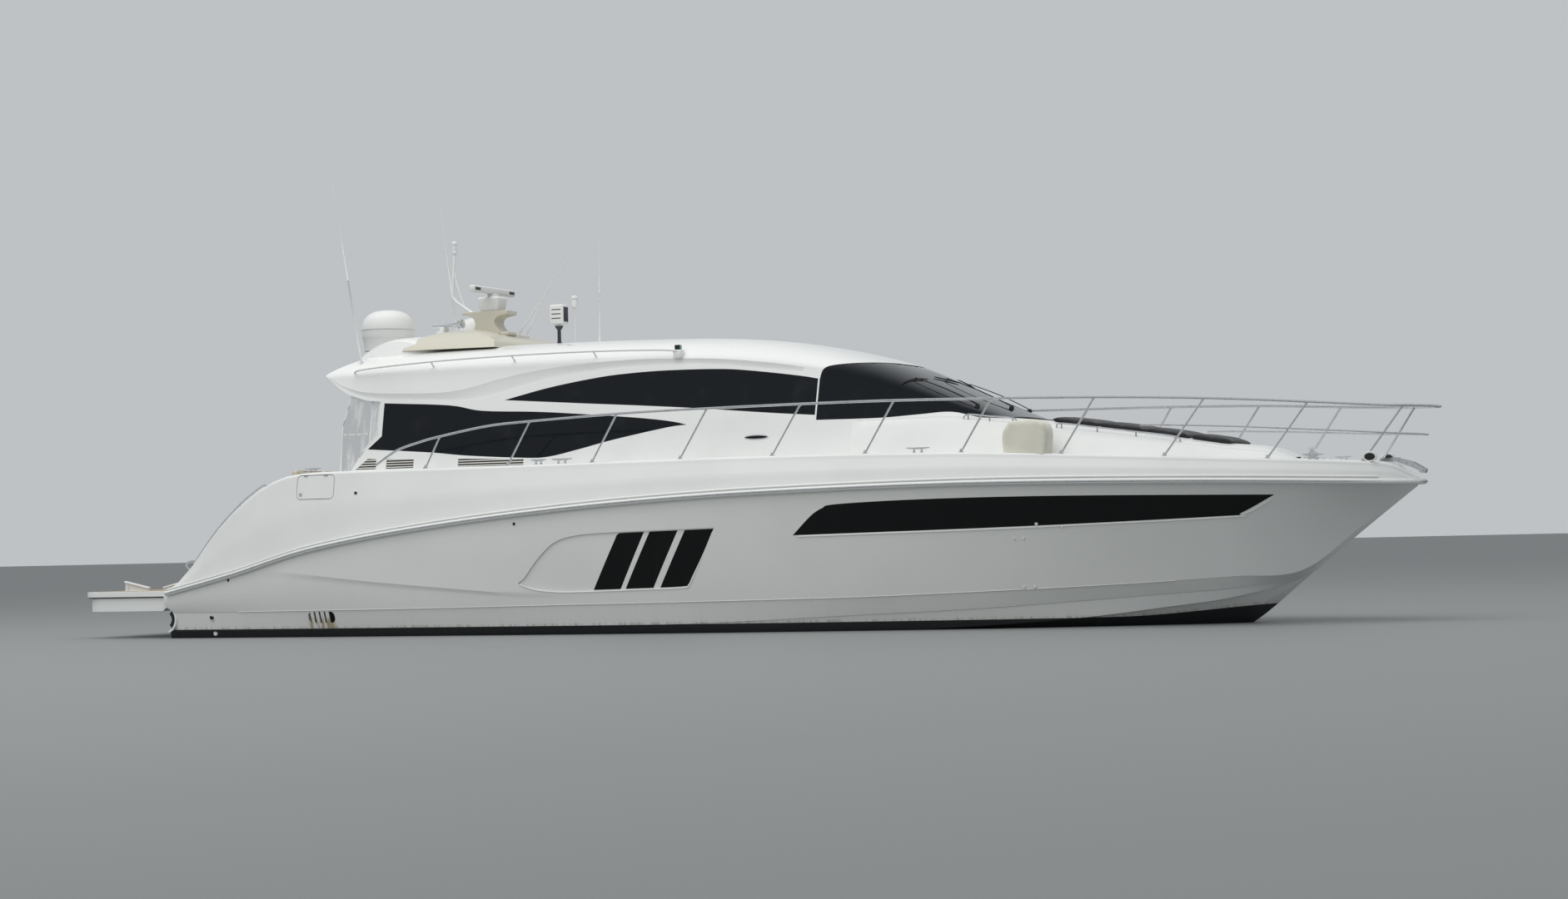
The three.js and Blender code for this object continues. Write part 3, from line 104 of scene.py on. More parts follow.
DECK = Lines("x inset edge crown", (
    (0, 0.022, 0.622, 0), (0.35, 0.035, 0.88, 0), (0.77, 0.055, 1.35, 0), (1.03, 0.065, 1.6, 0),
    (1.36, 0.08, 1.85, 0), (1.71, 0.095, 2.05, 0), (2.1, 0.105, 2.16, 0), (2.9, 0.11, 2.185, 0.005),
    (5.0, 0.11, 2.185, 0.02), (9.0, 0.105, 2.195, 0.03), (11.4, 0.1, 2.165, 0.04), (12.6, 0.095, 2.115, 0.04),
    (13.8, 0.085, 2.055, 0.035), (15.0, 0.075, 1.995, 0.025), (16.0, 0.065, 1.94, 0.012),
    (16.35, 0.06, 1.89, 0.008), (16.56, 0.045, 1.74, 0.002)))
CABIN_COLUMNS = "x base_y side_y side roof"
HOUSE = Lines(CABIN_COLUMNS, (
    (2.25, 2.0, 1.74, 3.43, 3.83), (3.3, 2.01, 1.75, 3.45, 3.86), (5.0, 2.005, 1.735, 3.465, 3.865),
    (6.5, 1.975, 1.68, 3.475, 3.85), (7.8, 1.925, 1.61, 3.45, 3.805), (8.7, 1.88, 1.55, 3.38, 3.71),
    (9.5, 1.825, 1.49, 3.26, 3.545), (10.1, 1.77, 1.44, 3.11, 3.36), (10.7, 1.69, 1.37, 2.91, 3.085),
    (11.2, 1.59, 1.27, 2.73, 2.86), (11.7, 1.44, 1.09, 2.56, 2.64)), foot=2.1)
TRUNK = Lines(CABIN_COLUMNS, (
    (9.9, 1.985, 1.7, 2.6, 2.64), (10.9, 1.945, 1.63, 2.6, 2.665), (11.7, 1.85, 1.49, 2.53, 2.615),
    (12.5, 1.69, 1.31, 2.42, 2.515), (13.4, 1.44, 1.06, 2.29, 2.38), (14.3, 1.13, 0.76, 2.15, 2.225),
    (14.85, 0.9, 0.56, 2.08, 2.15), (15.15, 0.76, 0.42, 1.99, 2.015)), foot=1.9)
ARCH = Lines(CABIN_COLUMNS, ((2.96, 1.5, 1.35, 3.7, 4.11), (3.8, 1.48, 1.33, 3.72, 4.115),
                             (4.7, 1.42, 1.28, 3.7, 4.11)), foot=3.6)
FAIRING = Lines(CABIN_COLUMNS, (
    (2.43, 1.36, 1.22, 3.5, 3.62), (2.6, 1.37, 1.24, 3.73, 3.82), (2.8, 1.38, 1.25, 3.85, 3.945),
    (3.0, 1.39, 1.25, 3.92, 4.015), (3.25, 1.39, 1.25, 3.93, 4.035), (3.5, 1.38, 1.22, 3.84, 4.02),
    (3.75, 1.36, 1.18, 3.72, 3.95)), foot=3.44)

# Side-view outlines, each a closed list of x and z, with the places in it that stay sharp corners
HARDTOP_OUTLINE = (
    ((2.33, 3.49), (2.63, 3.27), (2.88, 3.165), (3.22, 3.105), (4.51, 3.035), (5.03, 3.052), (5.7, 3.19),
     (6.3, 3.285), (6.75, 3.33), (7.35, 3.352), (8.1, 3.34), (8.6, 3.29), (9.15, 3.212), (9.4, 3.165),
     (9.44, 3.29), (9.6, 3.345), (10.09, 3.385), (10.12, 4.1), (3.6, 4.1), (3.6, 3.93), (3.23, 3.87),
     (2.85, 3.765), (2.44, 3.56)), (0, 13, 16, 17, 18, 19))
WINDSHIELD_OUTLINE = (
    ((9.4, 2.64), (9.4, 3.165), (9.44, 3.29), (9.6, 3.345), (10.09, 3.385), (10.12, 4.1), (12.5, 4.1),
     (12.5, 2.5), (11.5, 2.6), (11.09, 2.69), (10.7, 2.67), (10.2, 2.64)), (0, 1, 4, 5, 6, 7))
UPPER_GLASS_OUTLINE = (
    ((5.08, 3.052), (5.7, 3.19), (6.3, 3.285), (6.75, 3.33), (7.35, 3.352), (8.1, 3.34), (8.6, 3.29),
     (9.15, 3.212), (9.38, 3.168), (9.38, 2.705), (8.76, 2.755), (7.81, 2.845), (7.0, 2.91), (6.15, 2.972)),
    (0, 8, 9))
LOWER_GLASS_OUTLINE = (
    ((3.29, 2.64), (3.29, 3.08), (4.27, 3.015), (4.76, 2.925), (5.51, 2.885), (6.09, 2.84), (7.0, 2.752),
     (7.46, 2.69), (7.68, 2.64), (7.39, 2.61), (6.68, 2.48), (6.19, 2.37), (5.78, 2.29), (5.44, 2.285),
     (4.6, 2.34), (4.04, 2.4), (3.09, 2.47)), (0, 1, 8, 16))
HOUSE_OUTLINE = (
    ((2.87, 2.1), (2.87, 2.19), (3.04, 2.44), (3.23, 2.64), (3.23, 3.085), (3.23, 3.4), (9.7, 3.7),
     (12.5, 3.7), (12.5, 2.1)), (0, 3, 4, 5, 6, 7, 8))
ARCH_OUTLINE = (
    ((3.27, 3.8), (3.35, 3.93), (3.58, 4.055), (3.9, 4.105), (4.24, 4.03), (4.56, 3.915), (4.64, 3.8)), (0, 6))
BOW_WINDOW_OUTLINE = (
    ((9.29, 1.2), (9.54, 1.43), (9.7, 1.525), (9.9, 1.572), (11.0, 1.605), (12.62, 1.605), (15.05, 1.56),
     (14.64, 1.345), (14.45, 1.315), (12.08, 1.245)), (0, 6))
MID_RECESS_OUTLINE = (
    ((5.5, 0.655), (5.59, 0.74), (5.76, 0.935), (5.96, 1.12), (6.11, 1.205), (6.28, 1.25), (6.53, 1.278),
     (6.95, 1.293), (7.37, 1.302), (8.265, 1.318), (8.1, 1.01), (7.915, 0.71), (7.85, 0.61), (7.75, 0.578),
     (7.1, 0.563), (6.52, 0.553), (6.27, 0.548), (5.98, 0.556), (5.72, 0.587)), (9,))
# The raked panes of the recess, which its edge bounds below, above and ahead
MID_PANES = (
    ((6.5, 0.5), (6.905, 1.215), (6.925, 1.255), (6.965, 1.281), (7.05, 1.34), (7.335, 1.34), (6.875, 0.5)),
    ((6.94, 0.5), (7.41, 1.34), (7.79, 1.34), (7.32, 0.5)),
    ((7.41, 0.5), (7.885, 1.34), (8.4, 1.34), (8.0, 0.5)))
PANE_MARGIN = 0.012


def eased(points, sharp=(), steps=5, closed=True):
    """A smooth line through points, which turns sharply only where it is told to."""
    count, made = len(points), []
    for i in range(count if closed else count - 1):
        here, there = Vector(points[i]), Vector(points[(i + 1) % count])
        before = Vector(points[i - 1]) if closed or i else here
        after = Vector(points[(i + 2) % count]) if closed or i + 2 < count else there
        leave = (there - here) if i in sharp else (there - before) / 2
        arrive = (there - here) if (i + 1) % count in sharp else (after - here) / 2
        made += [hermite(here, there, leave, arrive, k / steps) for k in range(steps)]
    return made if closed else made + [Vector(points[-1])]


def bent(points, steps=6):
    """A smooth open line through points."""
    return eased(points, (), steps, closed=False)


def refined(points, counts):
    """A polyline with each of its stretches divided into a count of equal parts."""
    made = []
    for start, end, count in zip(points, points[1:], counts):
        made += [tuple(a + (b - a) * k / count for a, b in zip(start, end)) for k in range(count)]
    return made + [tuple(points[-1])]


def supported(points, spread):
    """A section whose corners have a point close on each side, so that each shades as a crisp edge."""
    made = [points[0]]
    for before, corner, after in zip(points, points[1:], points[2:]):
        for end in (before, after):
            away = Vector(end) - Vector(corner)
            near = tuple(Vector(corner) + away.normalized() * min(spread, away.length * 0.3))
            made += [near] if end is before else [corner, near]
    return made + [points[-1]]


HIP_CREASE = ((1.35, 0.89), (2.3, 0.8), (3.2, 0.7), (4.06, 0.62), (5.42, 0.5), (6.9, 0.43))
HIP_DEPTH = 0.02
CREASE_RISE = 0.035
FLARE_STEPS = 26


def crease_height(x):
    """How high the hip's crease runs at a station; forward of it the grid's rows spread out again."""
    for (xa, za), (xb, zb) in zip(HIP_CREASE, HIP_CREASE[1:]):
        if x <= xb:
            return za + (zb - za) * (max(x, xa) - xa) / (xb - xa)
    return HIP_CREASE[-1][1] + 0.06 * (x - HIP_CREASE[-1][0])


def crease(x, z):
    """1 just above the hip's crease, fading to 0 further up, and 0 below it."""
    height = z - crease_height(x)
    ends = min(max((x - HIP_CREASE[0][0]) / 0.9, 0), max((HIP_CREASE[-1][0] - x) / 2.2, 0), 1)
    rise = min(max(height / CREASE_RISE, 0), 1)
    fall = 1 - min(max((height - CREASE_RISE) / 0.42, 0), 1)
    return ends * ends * (3 - 2 * ends) * rise * fall * fall


def hull_section(x, inset=0.0):
    """Half of the hull's section at a station, as y and z, from the keel up to the centreline."""
    keel = HULL("keel", x)
    chine_y, chine = max(HULL("chine_y", x), 0.012), max(HULL("chine", x), keel + 0.005)
    spray_y, spray = max(HULL("spray_y", x), chine_y + 0.006), max(HULL("spray", x), chine + 0.005)
    knuckle_y, knuckle = max(HULL("knuckle_y", x), spray_y + 0.006), max(HULL("knuckle", x), spray + 0.005)
    top_y, top = HULL("rub_y", x), HULL("rub", x)
    hollow = 0.16 * max(top_y - knuckle_y - 0.18, 0)
    corners = [(0, keel), (chine_y * 0.5, keel + (chine - keel) * 0.46),
               (max(chine_y - 0.07, chine_y * 0.9), chine - min(chine_y * 0.012, 0.012)), (chine_y, chine),
               (spray_y - min(0.014, spray_y * 0.1), spray - 0.004), (spray_y, spray),
               (knuckle_y - min(0.010, knuckle_y * 0.1), knuckle - 0.004), (knuckle_y, knuckle)]
    section = supported(refined(corners, (4, 4, 1, 2, 1, 2, 1)), 0.006)
    low = min(max((crease_height(x) - knuckle) / (top - knuckle), 0.03), 0.8)
    high = min(low + CREASE_RISE / (top - knuckle), 0.9)
    below = FLARE_STEPS // 3
    above = FLARE_STEPS - below - 1
    for t in ([low * k / below for k in range(1, below + 1)]
              + [high + (1 - high) * (k / above) ** 1.2 for k in range(above + 1)]):
        z = knuckle + (top - knuckle) * t
        y = knuckle_y + (top_y - knuckle_y) * t + (0.03 - hollow) * 4 * t * (1 - t)
        section.append((y + HIP_DEPTH * crease(x, z) * (1 - t) ** 0.5, z))
    section += refined([(section[-1][0], top), (0, top)], (3,))[1:]
    return [(max(y - inset, 0.004) if 0 < i < len(section) - 1 else 0.0, z) for i, (y, z) in enumerate(section)]


def deck_section(x, inset=0.0):
    """Half of the deck moulding's section at a station, as y and z, from below to the centreline."""
    foot, foot_y = HULL("rub", x) + 0.001, HULL("rub_y", x) - 0.004 - inset
    edge = DECK("edge", x)
    edge_y = foot_y - DECK("inset", x)
    turn = min(0.045, (edge - foot) * 0.3)
    middle = (foot_y + (edge_y - foot_y) * 0.35, foot + (edge - foot) * 0.5)
    shoulder = [(max(edge_y - turn * (1 - cos(angle)), 0.002), edge - turn * (1 - sin(angle)))
                for angle in (radians(90 * k / 6) for k in range(1, 6))]
    top = refined([(max(edge_y - turn, 0.0015), edge), (0, edge + DECK("crown", x) + 0.0005)], (6,))
    return [(0, foot)] + refined([(foot_y, foot), middle, (edge_y, edge - turn)], (5, 5)) + shoulder + top


def cabin_section(lines, x, inset=0.0):
    """Half of a crowned cabin's section at a station, as y and z, from its foot to the centreline."""
    base_y, side_y = lines("base_y", x) - inset, lines("side_y", x) - inset
    side, roof = lines("side", x) - inset * 0.4, lines("roof", x) - inset
    section = [(0.0, lines.foot)]
    for t in (k / 8 for k in range(9)):
        section.append((base_y + (side_y - base_y) * t + 0.048 * t * (1 - t), lines.foot + (side - lines.foot) * t))
    for k in range(1, 15):
        turn = radians(90 * (k / 14) ** 1.15)
        section.append((side_y * cos(turn) ** 0.72 if k < 14 else 0.0, side + (roof - side) * sin(turn) ** 1.1))
    return section


def side_y(section, z):
    """How far out a section lies at a height, on its side."""
    for (ya, za), (yb, zb) in zip(section, section[1:]):
        if za <= z <= zb and zb > za:
            return ya + (yb - ya) * (z - za) / (zb - za)
    return section[-1][0]


def hull_side(x, z):
    """How far out the hull or the deck moulding's side lies at a place."""
    if z < HULL("rub", x):
        return side_y([p for p in hull_section(x) if p[1] < HULL("rub", x) or p[0] > 0.01], z)
    return side_y(deck_section(x)[1:], z)


def house_side(x, z):
    """How far out the deckhouse's side lies at a place."""
    return side_y(cabin_section(HOUSE, x), z)


def around(count):
    """Angles in equal steps round a full turn."""
    return [2 * pi * k / count for k in range(count)]


def skin(bm, columns, rows, place):
    """A grid of faces whose corners are put where place(column, row) says."""
    for vert in bmesh.ops.create_grid(bm, x_segments=columns, y_segments=rows, size=0.5)["verts"]:
        vert.co = place(round((vert.co.x + 0.5) * columns), round((vert.co.y + 0.5) * rows))


def shell_of(stations, section):
    """A skin over sections along the boat, mirrored to both sides, its ends closed."""
    bm = bmesh.new()
    rings = [section(x) for x in stations]
    skin(bm, len(rings) - 1, len(rings[0]) - 1, lambda c, r: (stations[c], rings[c][r][0], rings[c][r][1]))
    bmesh.ops.mirror(bm, geom=bm.verts[:] + bm.edges[:] + bm.faces[:], matrix=Matrix(), axis="Y", merge_dist=0.0)
    bmesh.ops.remove_doubles(bm, verts=bm.verts, dist=1e-5)
    bmesh.ops.holes_fill(bm, edges=[e for e in bm.edges if e.is_boundary])
    bmesh.ops.recalc_face_normals(bm, faces=bm.faces)
    return bm


def prism(points, low=-3, high=3, axis="Y"):
    """A side-view or plan outline drawn across the boat, or upwards, between two places."""
    bm = bmesh.new()
    across = axis == "Y"
    face = bm.faces.new([bm.verts.new((p[0], low, p[1]) if across else (p[0], p[1], low)) for p in points])
    lifted = bmesh.ops.extrude_face_region(bm, geom=[face])["geom"]
    bmesh.ops.translate(bm, vec=(0, high - low, 0) if across else (0, 0, high - low),
                        verts=[v for v in lifted if isinstance(v, bmesh.types.BMVert)])
    bmesh.ops.recalc_face_normals(bm, faces=bm.faces)
    return bm


def side_prism(points, sign, near, far):
    """A side-view outline drawn across one side of the boat."""
    return prism(points, *sorted((sign * near, sign * far)))


def rounded(bm, edges, offset, segments):
    """Rounds edges off."""
    bmesh.ops.bevel(bm, geom=edges, offset=offset, segments=segments, profile=0.5, affect="EDGES", material=-1)


def block(bm, low, high, round_off=0.0, segments=2):
    """A box between two corners, its edges rounded off."""
    made = bmesh.ops.create_cube(bm, size=1)["verts"]
    bmesh.ops.scale(bm, vec=Vector(high) - Vector(low), verts=made)
    bmesh.ops.translate(bm, vec=(Vector(high) + Vector(low)) / 2, verts=made)
    if round_off:
        rounded(bm, list({edge for vert in made for edge in vert.link_edges}), round_off, segments)


def side_block(bm, sign, low, high, round_off=0.0, segments=2):
    """A box on one side of the boat, given by its corners to port."""
    (x0, y0, z0), (x1, y1, z1) = low, high
    near, far = sorted((sign * y0, sign * y1))
    block(bm, (x0, near, z0), (x1, far, z1), round_off, segments)


def cuboid(low, high, round_off=0.0):
    """A box as a mesh of its own."""
    return formed((block, low, high, round_off))


def turned(bm, profile, place, sides=32, axis=(0, 0, 1)):
    """A turned body: a profile of radius and height spun about an axis that stands at a place."""
    points = [bm.verts.new((radius, 0, height)) for radius, height in profile]
    edges = [bm.edges.new(pair) for pair in zip(points, points[1:])]
    spun = bmesh.ops.spin(bm, geom=points + edges, cent=(0, 0, 0), axis=(0, 0, 1), dvec=(0, 0, 0), angle=2 * pi,
                          steps=sides, use_merge=True, use_normal_flip=False, use_duplicate=False)
    whole = set(points) | {g for g in spun["geom_last"] if isinstance(g, bmesh.types.BMVert)}
    grown = set()
    while whole - grown:
        vert = (whole - grown).pop()
        grown.add(vert)
        whole |= {edge.other_vert(vert) for edge in vert.link_edges}
    found = list(whole)
    turn = Vector((0, 0, 1)).rotation_difference(Vector(axis)).to_matrix()
    bmesh.ops.rotate(bm, cent=(0, 0, 0), matrix=turn, verts=found)
    bmesh.ops.translate(bm, vec=place, verts=found)
    bmesh.ops.remove_doubles(bm, verts=found, dist=1e-5)


def rod(bm, start, end, radius, sides=12):
    """A round rod between two points."""
    start, end = Vector(start), Vector(end)
    made = bmesh.ops.create_cone(bm, cap_ends=True, segments=sides, radius1=radius, radius2=radius,
                                 depth=(end - start).length)["verts"]
    turn = Vector((0, 0, 1)).rotation_difference(end - start).to_matrix()
    bmesh.ops.rotate(bm, cent=(0, 0, 0), matrix=turn, verts=made)
    bmesh.ops.translate(bm, vec=(start + end) / 2, verts=made)


def ringed(bm, rings, closed=False):
    """A closed body through rings of points, each bridged to the next."""
    loops = []
    for ring in rings:
        verts = [bm.verts.new(p) for p in ring]
        loops.append([bm.edges.new((verts[k - 1], verts[k])) for k in range(len(verts))])
    for low, high in list(zip(loops, loops[1:])) + ([(loops[-1], loops[0])] if closed else []):
        bmesh.ops.bridge_loops(bm, edges=low + high)
    if not closed:
        for loop in (loops[0], loops[-1]):
            bmesh.ops.edgeloop_fill(bm, edges=loop)


def pipe(bm, points, radius, sides=12, closed=False):
    """A round pipe along points: a ring of corners at each, bridged to the next."""
    points = [Vector(p) for p in points]
    rings, normal, count = [], None, len(points)
    for i, point in enumerate(points):
        before = points[i - 1] if i or closed else point
        after = points[(i + 1) % count] if i + 1 < count or closed else point
        along = (after - before).normalized()
        normal = normal or along.orthogonal().normalized()
        normal = (normal - along * normal.dot(along)).normalized()
        width = radius[i] if isinstance(radius, (list, tuple)) else radius
        rings.append([point + (normal * cos(a) + along.cross(normal) * sin(a)) * width for a in around(sides)])
    ringed(bm, rings, closed)


def settle(piece):
    """Applies a piece's modifiers to its mesh."""
    graph = bpy.context.evaluated_depsgraph_get()
    made = bpy.data.meshes.new_from_object(piece.evaluated_get(graph), depsgraph=graph)
    piece.modifiers.clear()
    worn, piece.data = piece.data, made
    made.name = piece.name
    bpy.data.meshes.remove(worn)


def thing(name, bm):
    """A new object from a mesh under construction, which is used up."""
    made = bpy.data.objects.new(name, bpy.data.meshes.new(name))
    bm.to_mesh(made.data)
    bm.free()
    bpy.context.scene.collection.objects.link(made)
    return made


def spent(piece):
    """The mesh of a piece as one under construction; the piece is used up."""
    bm = bmesh.new()
    bm.from_mesh(piece.data)
    bpy.data.meshes.remove(piece.data)
    return bm


def add_form(bm, other):
    """Adds a mesh under construction to another; the added one is used up."""
    spare = bpy.data.meshes.new("spare")
    other.to_mesh(spare)
    other.free()
    bm.from_mesh(spare)
    bpy.data.meshes.remove(spare)


def formed(*parts):
    """One mesh from parts: each is a mesh, or a function with its values that adds to one."""
    bm = bmesh.new()
    for part in parts:
        if isinstance(part, bmesh.types.BMesh):
            add_form(bm, part)
        else:
            part[0](bm, *part[1:])
    return bm


def both(form, *values):
    """The same part on both sides of the boat, for a function that takes the side first."""
    return [(form, sign, *values) for _, sign in SIDES]


def carve(piece, *tools, operation="DIFFERENCE"):
    """Cuts a piece by other meshes, or keeps only what lies within them."""
    for bm in tools:
        tool = thing("carving_tool", bm)
        cut = piece.modifiers.new("cut", "BOOLEAN")
        cut.operation, cut.object, cut.solver = operation, tool, "EXACT"
        settle(piece)
        bpy.data.meshes.remove(tool.data)
    return piece


def dress(piece, finish, body="boat", replaces="", smooth=34, bevel=0.0, slot=None):
    """Gives a piece its finish, its shading, its soft edges and the body it rides on; the slot it is given is not used.
    """
    piece.data.materials.clear()
    piece.data.materials.append(finish_of(finish))
    piece.data.shade_smooth()
    piece.data.set_sharp_from_angle(angle=radians(smooth))
    if bevel:
        edge = piece.modifiers.new("soft edges", "BEVEL")
        edge.width, edge.segments, edge.limit_method = bevel, 2, "ANGLE"
        edge.angle_limit, edge.use_clamp_overlap, edge.harden_normals = radians(32), True, True
    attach(piece, body)
    if replaces:
        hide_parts(*replaces.split())
    return piece


def make(name, finish, *forms, **options):
    """A dressed piece from its forms."""
    bm = formed(*forms)
    bmesh.ops.remove_doubles(bm, verts=bm.verts, dist=1e-5)
    bmesh.ops.recalc_face_normals(bm, faces=bm.faces)
    return dress(thing(name, bm), finish, **options)


def softened(node, name, finish, bevel):
    """A copy of a frame node with its edges rounded, which stands for the node and rides on the body of its name."""
    bm = bmesh.new()
    bm.from_mesh(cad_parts[node].data)
    bmesh.ops.remove_doubles(bm, verts=bm.verts, dist=2e-5)
    bmesh.ops.dissolve_limit(bm, angle_limit=radians(1), verts=bm.verts, edges=bm.edges)
    return dress(thing(name, bm), finish, body=node, replaces=node, bevel=bevel)


class Shade:
    """A value in a material, for arithmetic that is written as a Python expression."""

    def __init__(self, paint, socket):
        self.paint, self.socket = paint, socket

    def maths(self, operation, *values):
        return self.paint.node("ShaderNodeMath", dict(enumerate((self, *values))), operation=operation)

    def __add__(self, other):
        return self.maths("ADD", other)

    def __mul__(self, other):
        return self.maths("MULTIPLY", other)

    def __sub__(self, other):
        return self.maths("SUBTRACT", other)

    def __rsub__(self, other):
        return self.paint.node("ShaderNodeMath", {0: other, 1: self}, operation="SUBTRACT")

    __radd__ = __add__
    __rmul__ = __mul__

    def ramp(self, low, high):
        """0 below low, 1 above high and a soft step between, or the other way round."""
        step = self.paint.node("ShaderNodeMapRange", {0: self, 1: min(low, high), 2: max(low, high)},
                               interpolation_type="SMOOTHSTEP")
        return step if low < high else 1 - step

    def band(self, low, high, soft):
        """1 between low and high, with soft edges."""
        return self.ramp(low - soft, low + soft) * self.ramp(high + soft, high - soft)


class Paint:
    """A material under construction, with the place on the piece as a vector and as x, y and z."""

    def __init__(self, name):
        self.material = bpy.data.materials.new(name)
        self.material.use_nodes = True
        self.tree = self.material.node_tree
        self.tree.nodes.clear()
        self.spot = self.node("ShaderNodeTexCoord", output="Object")
        self.x, self.y, self.z = (self.node("ShaderNodeSeparateXYZ", {0: self.spot}, k) for k in range(3))

    def node(self, kind, inputs=None, output=0, **settings):
        made = self.tree.nodes.new(kind)
        for key, value in settings.items():
            setattr(made, key, value)
        for key, value in (inputs or {}).items():
            if isinstance(value, Shade):
                self.tree.links.new(value.socket, made.inputs[key])
            else:
                made.inputs[key].default_value = value
        return Shade(self, made.outputs[output]) if made.outputs else None

    def noise(self, scale, detail=2.0, rough=0.5, stretch=None):
        """Noise over the piece, which a stretch makes finer along an axis or longer."""
        spot = self.node("ShaderNodeMapping", {"Vector": self.spot, "Scale": stretch}) if stretch else self.spot
        return self.node("ShaderNodeTexNoise", {"Vector": spot, "Scale": scale, "Detail": detail, "Roughness": rough})

    def mix(self, share, low, high):
        """A colour between two others."""
        low, high = ((*c, 1) if isinstance(c, tuple) else c for c in (low, high))
        return self.node("ShaderNodeMix", {0: share, 6: low, 7: high}, 2, data_type="RGBA")

    def bump(self, height, distance, strength):
        return self.node("ShaderNodeBump", {"Height": height, "Distance": distance, "Strength": strength})

    def surface(self, colour, roughness, **sockets):
        """Ends the material with one surface shader whose other sockets are given by name."""
        inputs = {key.replace("_", " ").title().replace("Ior", "IOR"): value for key, value in sockets.items()}
        shader = self.node("ShaderNodeBsdfPrincipled", {"Base Color": colour, "Roughness": roughness, **inputs})
        self.node("ShaderNodeOutputMaterial", {"Surface": shader})
        return self.material


WHITE = (0.84, 0.85, 0.835)
SHADED_WHITE = (0.73, 0.735, 0.715)
BLACK = (0.008, 0.009, 0.011)


def gelcoat(name, colour=WHITE, worn=SHADED_WHITE, gloss=0.17):
    """Polished gelcoat with a little chalking, faint cloudiness and the ripple of its mould."""
    paint = Paint(name)
    fine, chalk = paint.noise(38.0, 3.0), paint.noise(0.55, 4.0, 0.6).ramp(0.42, 0.72)
    ripple = paint.bump(paint.noise(7.0, 1.0) * 0.7 + fine * 0.05, 0.0012, 0.35)
    return paint.surface(paint.mix(chalk * 0.35 + fine * 0.06, colour, worn), chalk * 0.16 + fine * 0.08 + gloss,
                         coat_weight=0.35, coat_roughness=0.08, normal=ripple)


def hull_gelcoat():
    """The hull's gelcoat: boot stripe, waterline scum, exhaust stain and faint runs."""
    paint, settings = Paint("hull_gelcoat"), bpy.context.scene.yacht_hull
    cloud, fine = paint.noise(0.5, 4.0, 0.6), paint.noise(38.0, 3.0)
    tint = paint.mix(cloud.ramp(0.42, 0.7) * 0.4 + fine * 0.05, tuple(settings.gelcoat), SHADED_WHITE)
    runs = paint.noise(2.0, 5.0, 0.65, (9.0, 0.6, 0.5))
    low = paint.z.ramp(0.75, 0.12)
    tint = paint.mix(runs.ramp(0.5, 0.78) * low * 0.14, tint, (0.56, 0.53, 0.44))
    stained = paint.x.band(2.27, 2.72, 0.04) * paint.z.band(0.1, 0.25, 0.05)
    drips = paint.noise(1.6, 3.0, stretch=(14.0, 1.0, 1.6))
    tint = paint.mix(stained * drips.ramp(0.36, 0.62) * 0.8, tint, (0.34, 0.24, 0.08))
    height = paint.z - (paint.x.ramp(13.0, 15.2) * settings.boot_rise + settings.boot_top)
    scum = height.band(-0.02, 0.03, 0.016) * runs.ramp(0.42, 0.66)
    boot = height.ramp(0.004, -0.004)
    tint = paint.mix(boot, paint.mix(scum * 0.5, tint, (0.3, 0.27, 0.17)), tuple(settings.boot_colour))
    ripple = paint.bump(paint.noise(6.0, 1.0) * 0.6 + fine * 0.05, 0.0014, 0.35)
    return paint.surface(tint, cloud * 0.1 + fine * 0.06 + low * 0.12 + boot * 0.2 + 0.14, coat_weight=0.4,
                         coat_roughness=0.07, normal=ripple)


def deck_gelcoat():
    """Deck moulding: glossy sides, and a fine non-slip pattern where it lies level."""
    paint = Paint("deck_gelcoat")
    cloud, fine = paint.noise(0.6, 4.0, 0.6), paint.noise(38.0, 3.0)
    facing = paint.node("ShaderNodeNewGeometry", output="Normal")
    level = paint.node("ShaderNodeSeparateXYZ", {0: facing}, 2).ramp(0.955, 0.985)
    diamonds = ((paint.x + paint.y) * 260.0).maths("SINE") * ((paint.x - paint.y) * 260.0).maths("SINE")
    tread = level * diamonds.ramp(0.0, 0.5)
    tint = paint.mix(cloud.ramp(0.4, 0.72) * 0.35 + level * 0.25 + fine * 0.05, WHITE, SHADED_WHITE)
    return paint.surface(tint, level * 0.3 + cloud * 0.14 + 0.12, coat_weight=0.25, coat_roughness=0.1,
                         normal=paint.bump(tread * 0.8 + paint.noise(7.0, 1.0) * 0.6, 0.0013, 0.5))


def teak():
    """Weathered teak planks with black caulking, laid fore and aft."""
    paint = Paint("teak_planking")
    seam = 1 - (paint.y * (1 / 0.052)).maths("FRACT").band(0.045, 0.955, 0.02)
    grain = paint.noise(1.6, 6.0, 0.7, (3.0, 60.0, 60.0))
    plank = (paint.y * (1 / 0.052)).maths("FLOOR")
    board = paint.node("ShaderNodeTexWhiteNoise", {"W": plank}, noise_dimensions="1D")
    tint = paint.mix(grain.ramp(0.3, 0.7) * 0.7 + board * 0.3, (0.36, 0.25, 0.155), (0.55, 0.44, 0.32))
    return paint.surface(paint.mix(seam, tint, (0.015, 0.015, 0.016)), grain * 0.25 + 0.5,
                         normal=paint.bump(grain * 0.3 - seam * 0.8, 0.0015, 0.6))


def dark_glass():
    """Tinted bonded glass, nearly black, with a trace of salt on it."""
    paint = Paint("dark_glass")
    salt = paint.noise(3.0, 5.0, 0.7).ramp(0.5, 0.85)
    tint = paint.mix(salt * 0.12, tuple(bpy.context.scene.yacht_house.glass), (0.1, 0.105, 0.11))
    return paint.surface(tint, salt * 0.12 + 0.025, alpha=0.96, specular_ior_level=0.16)


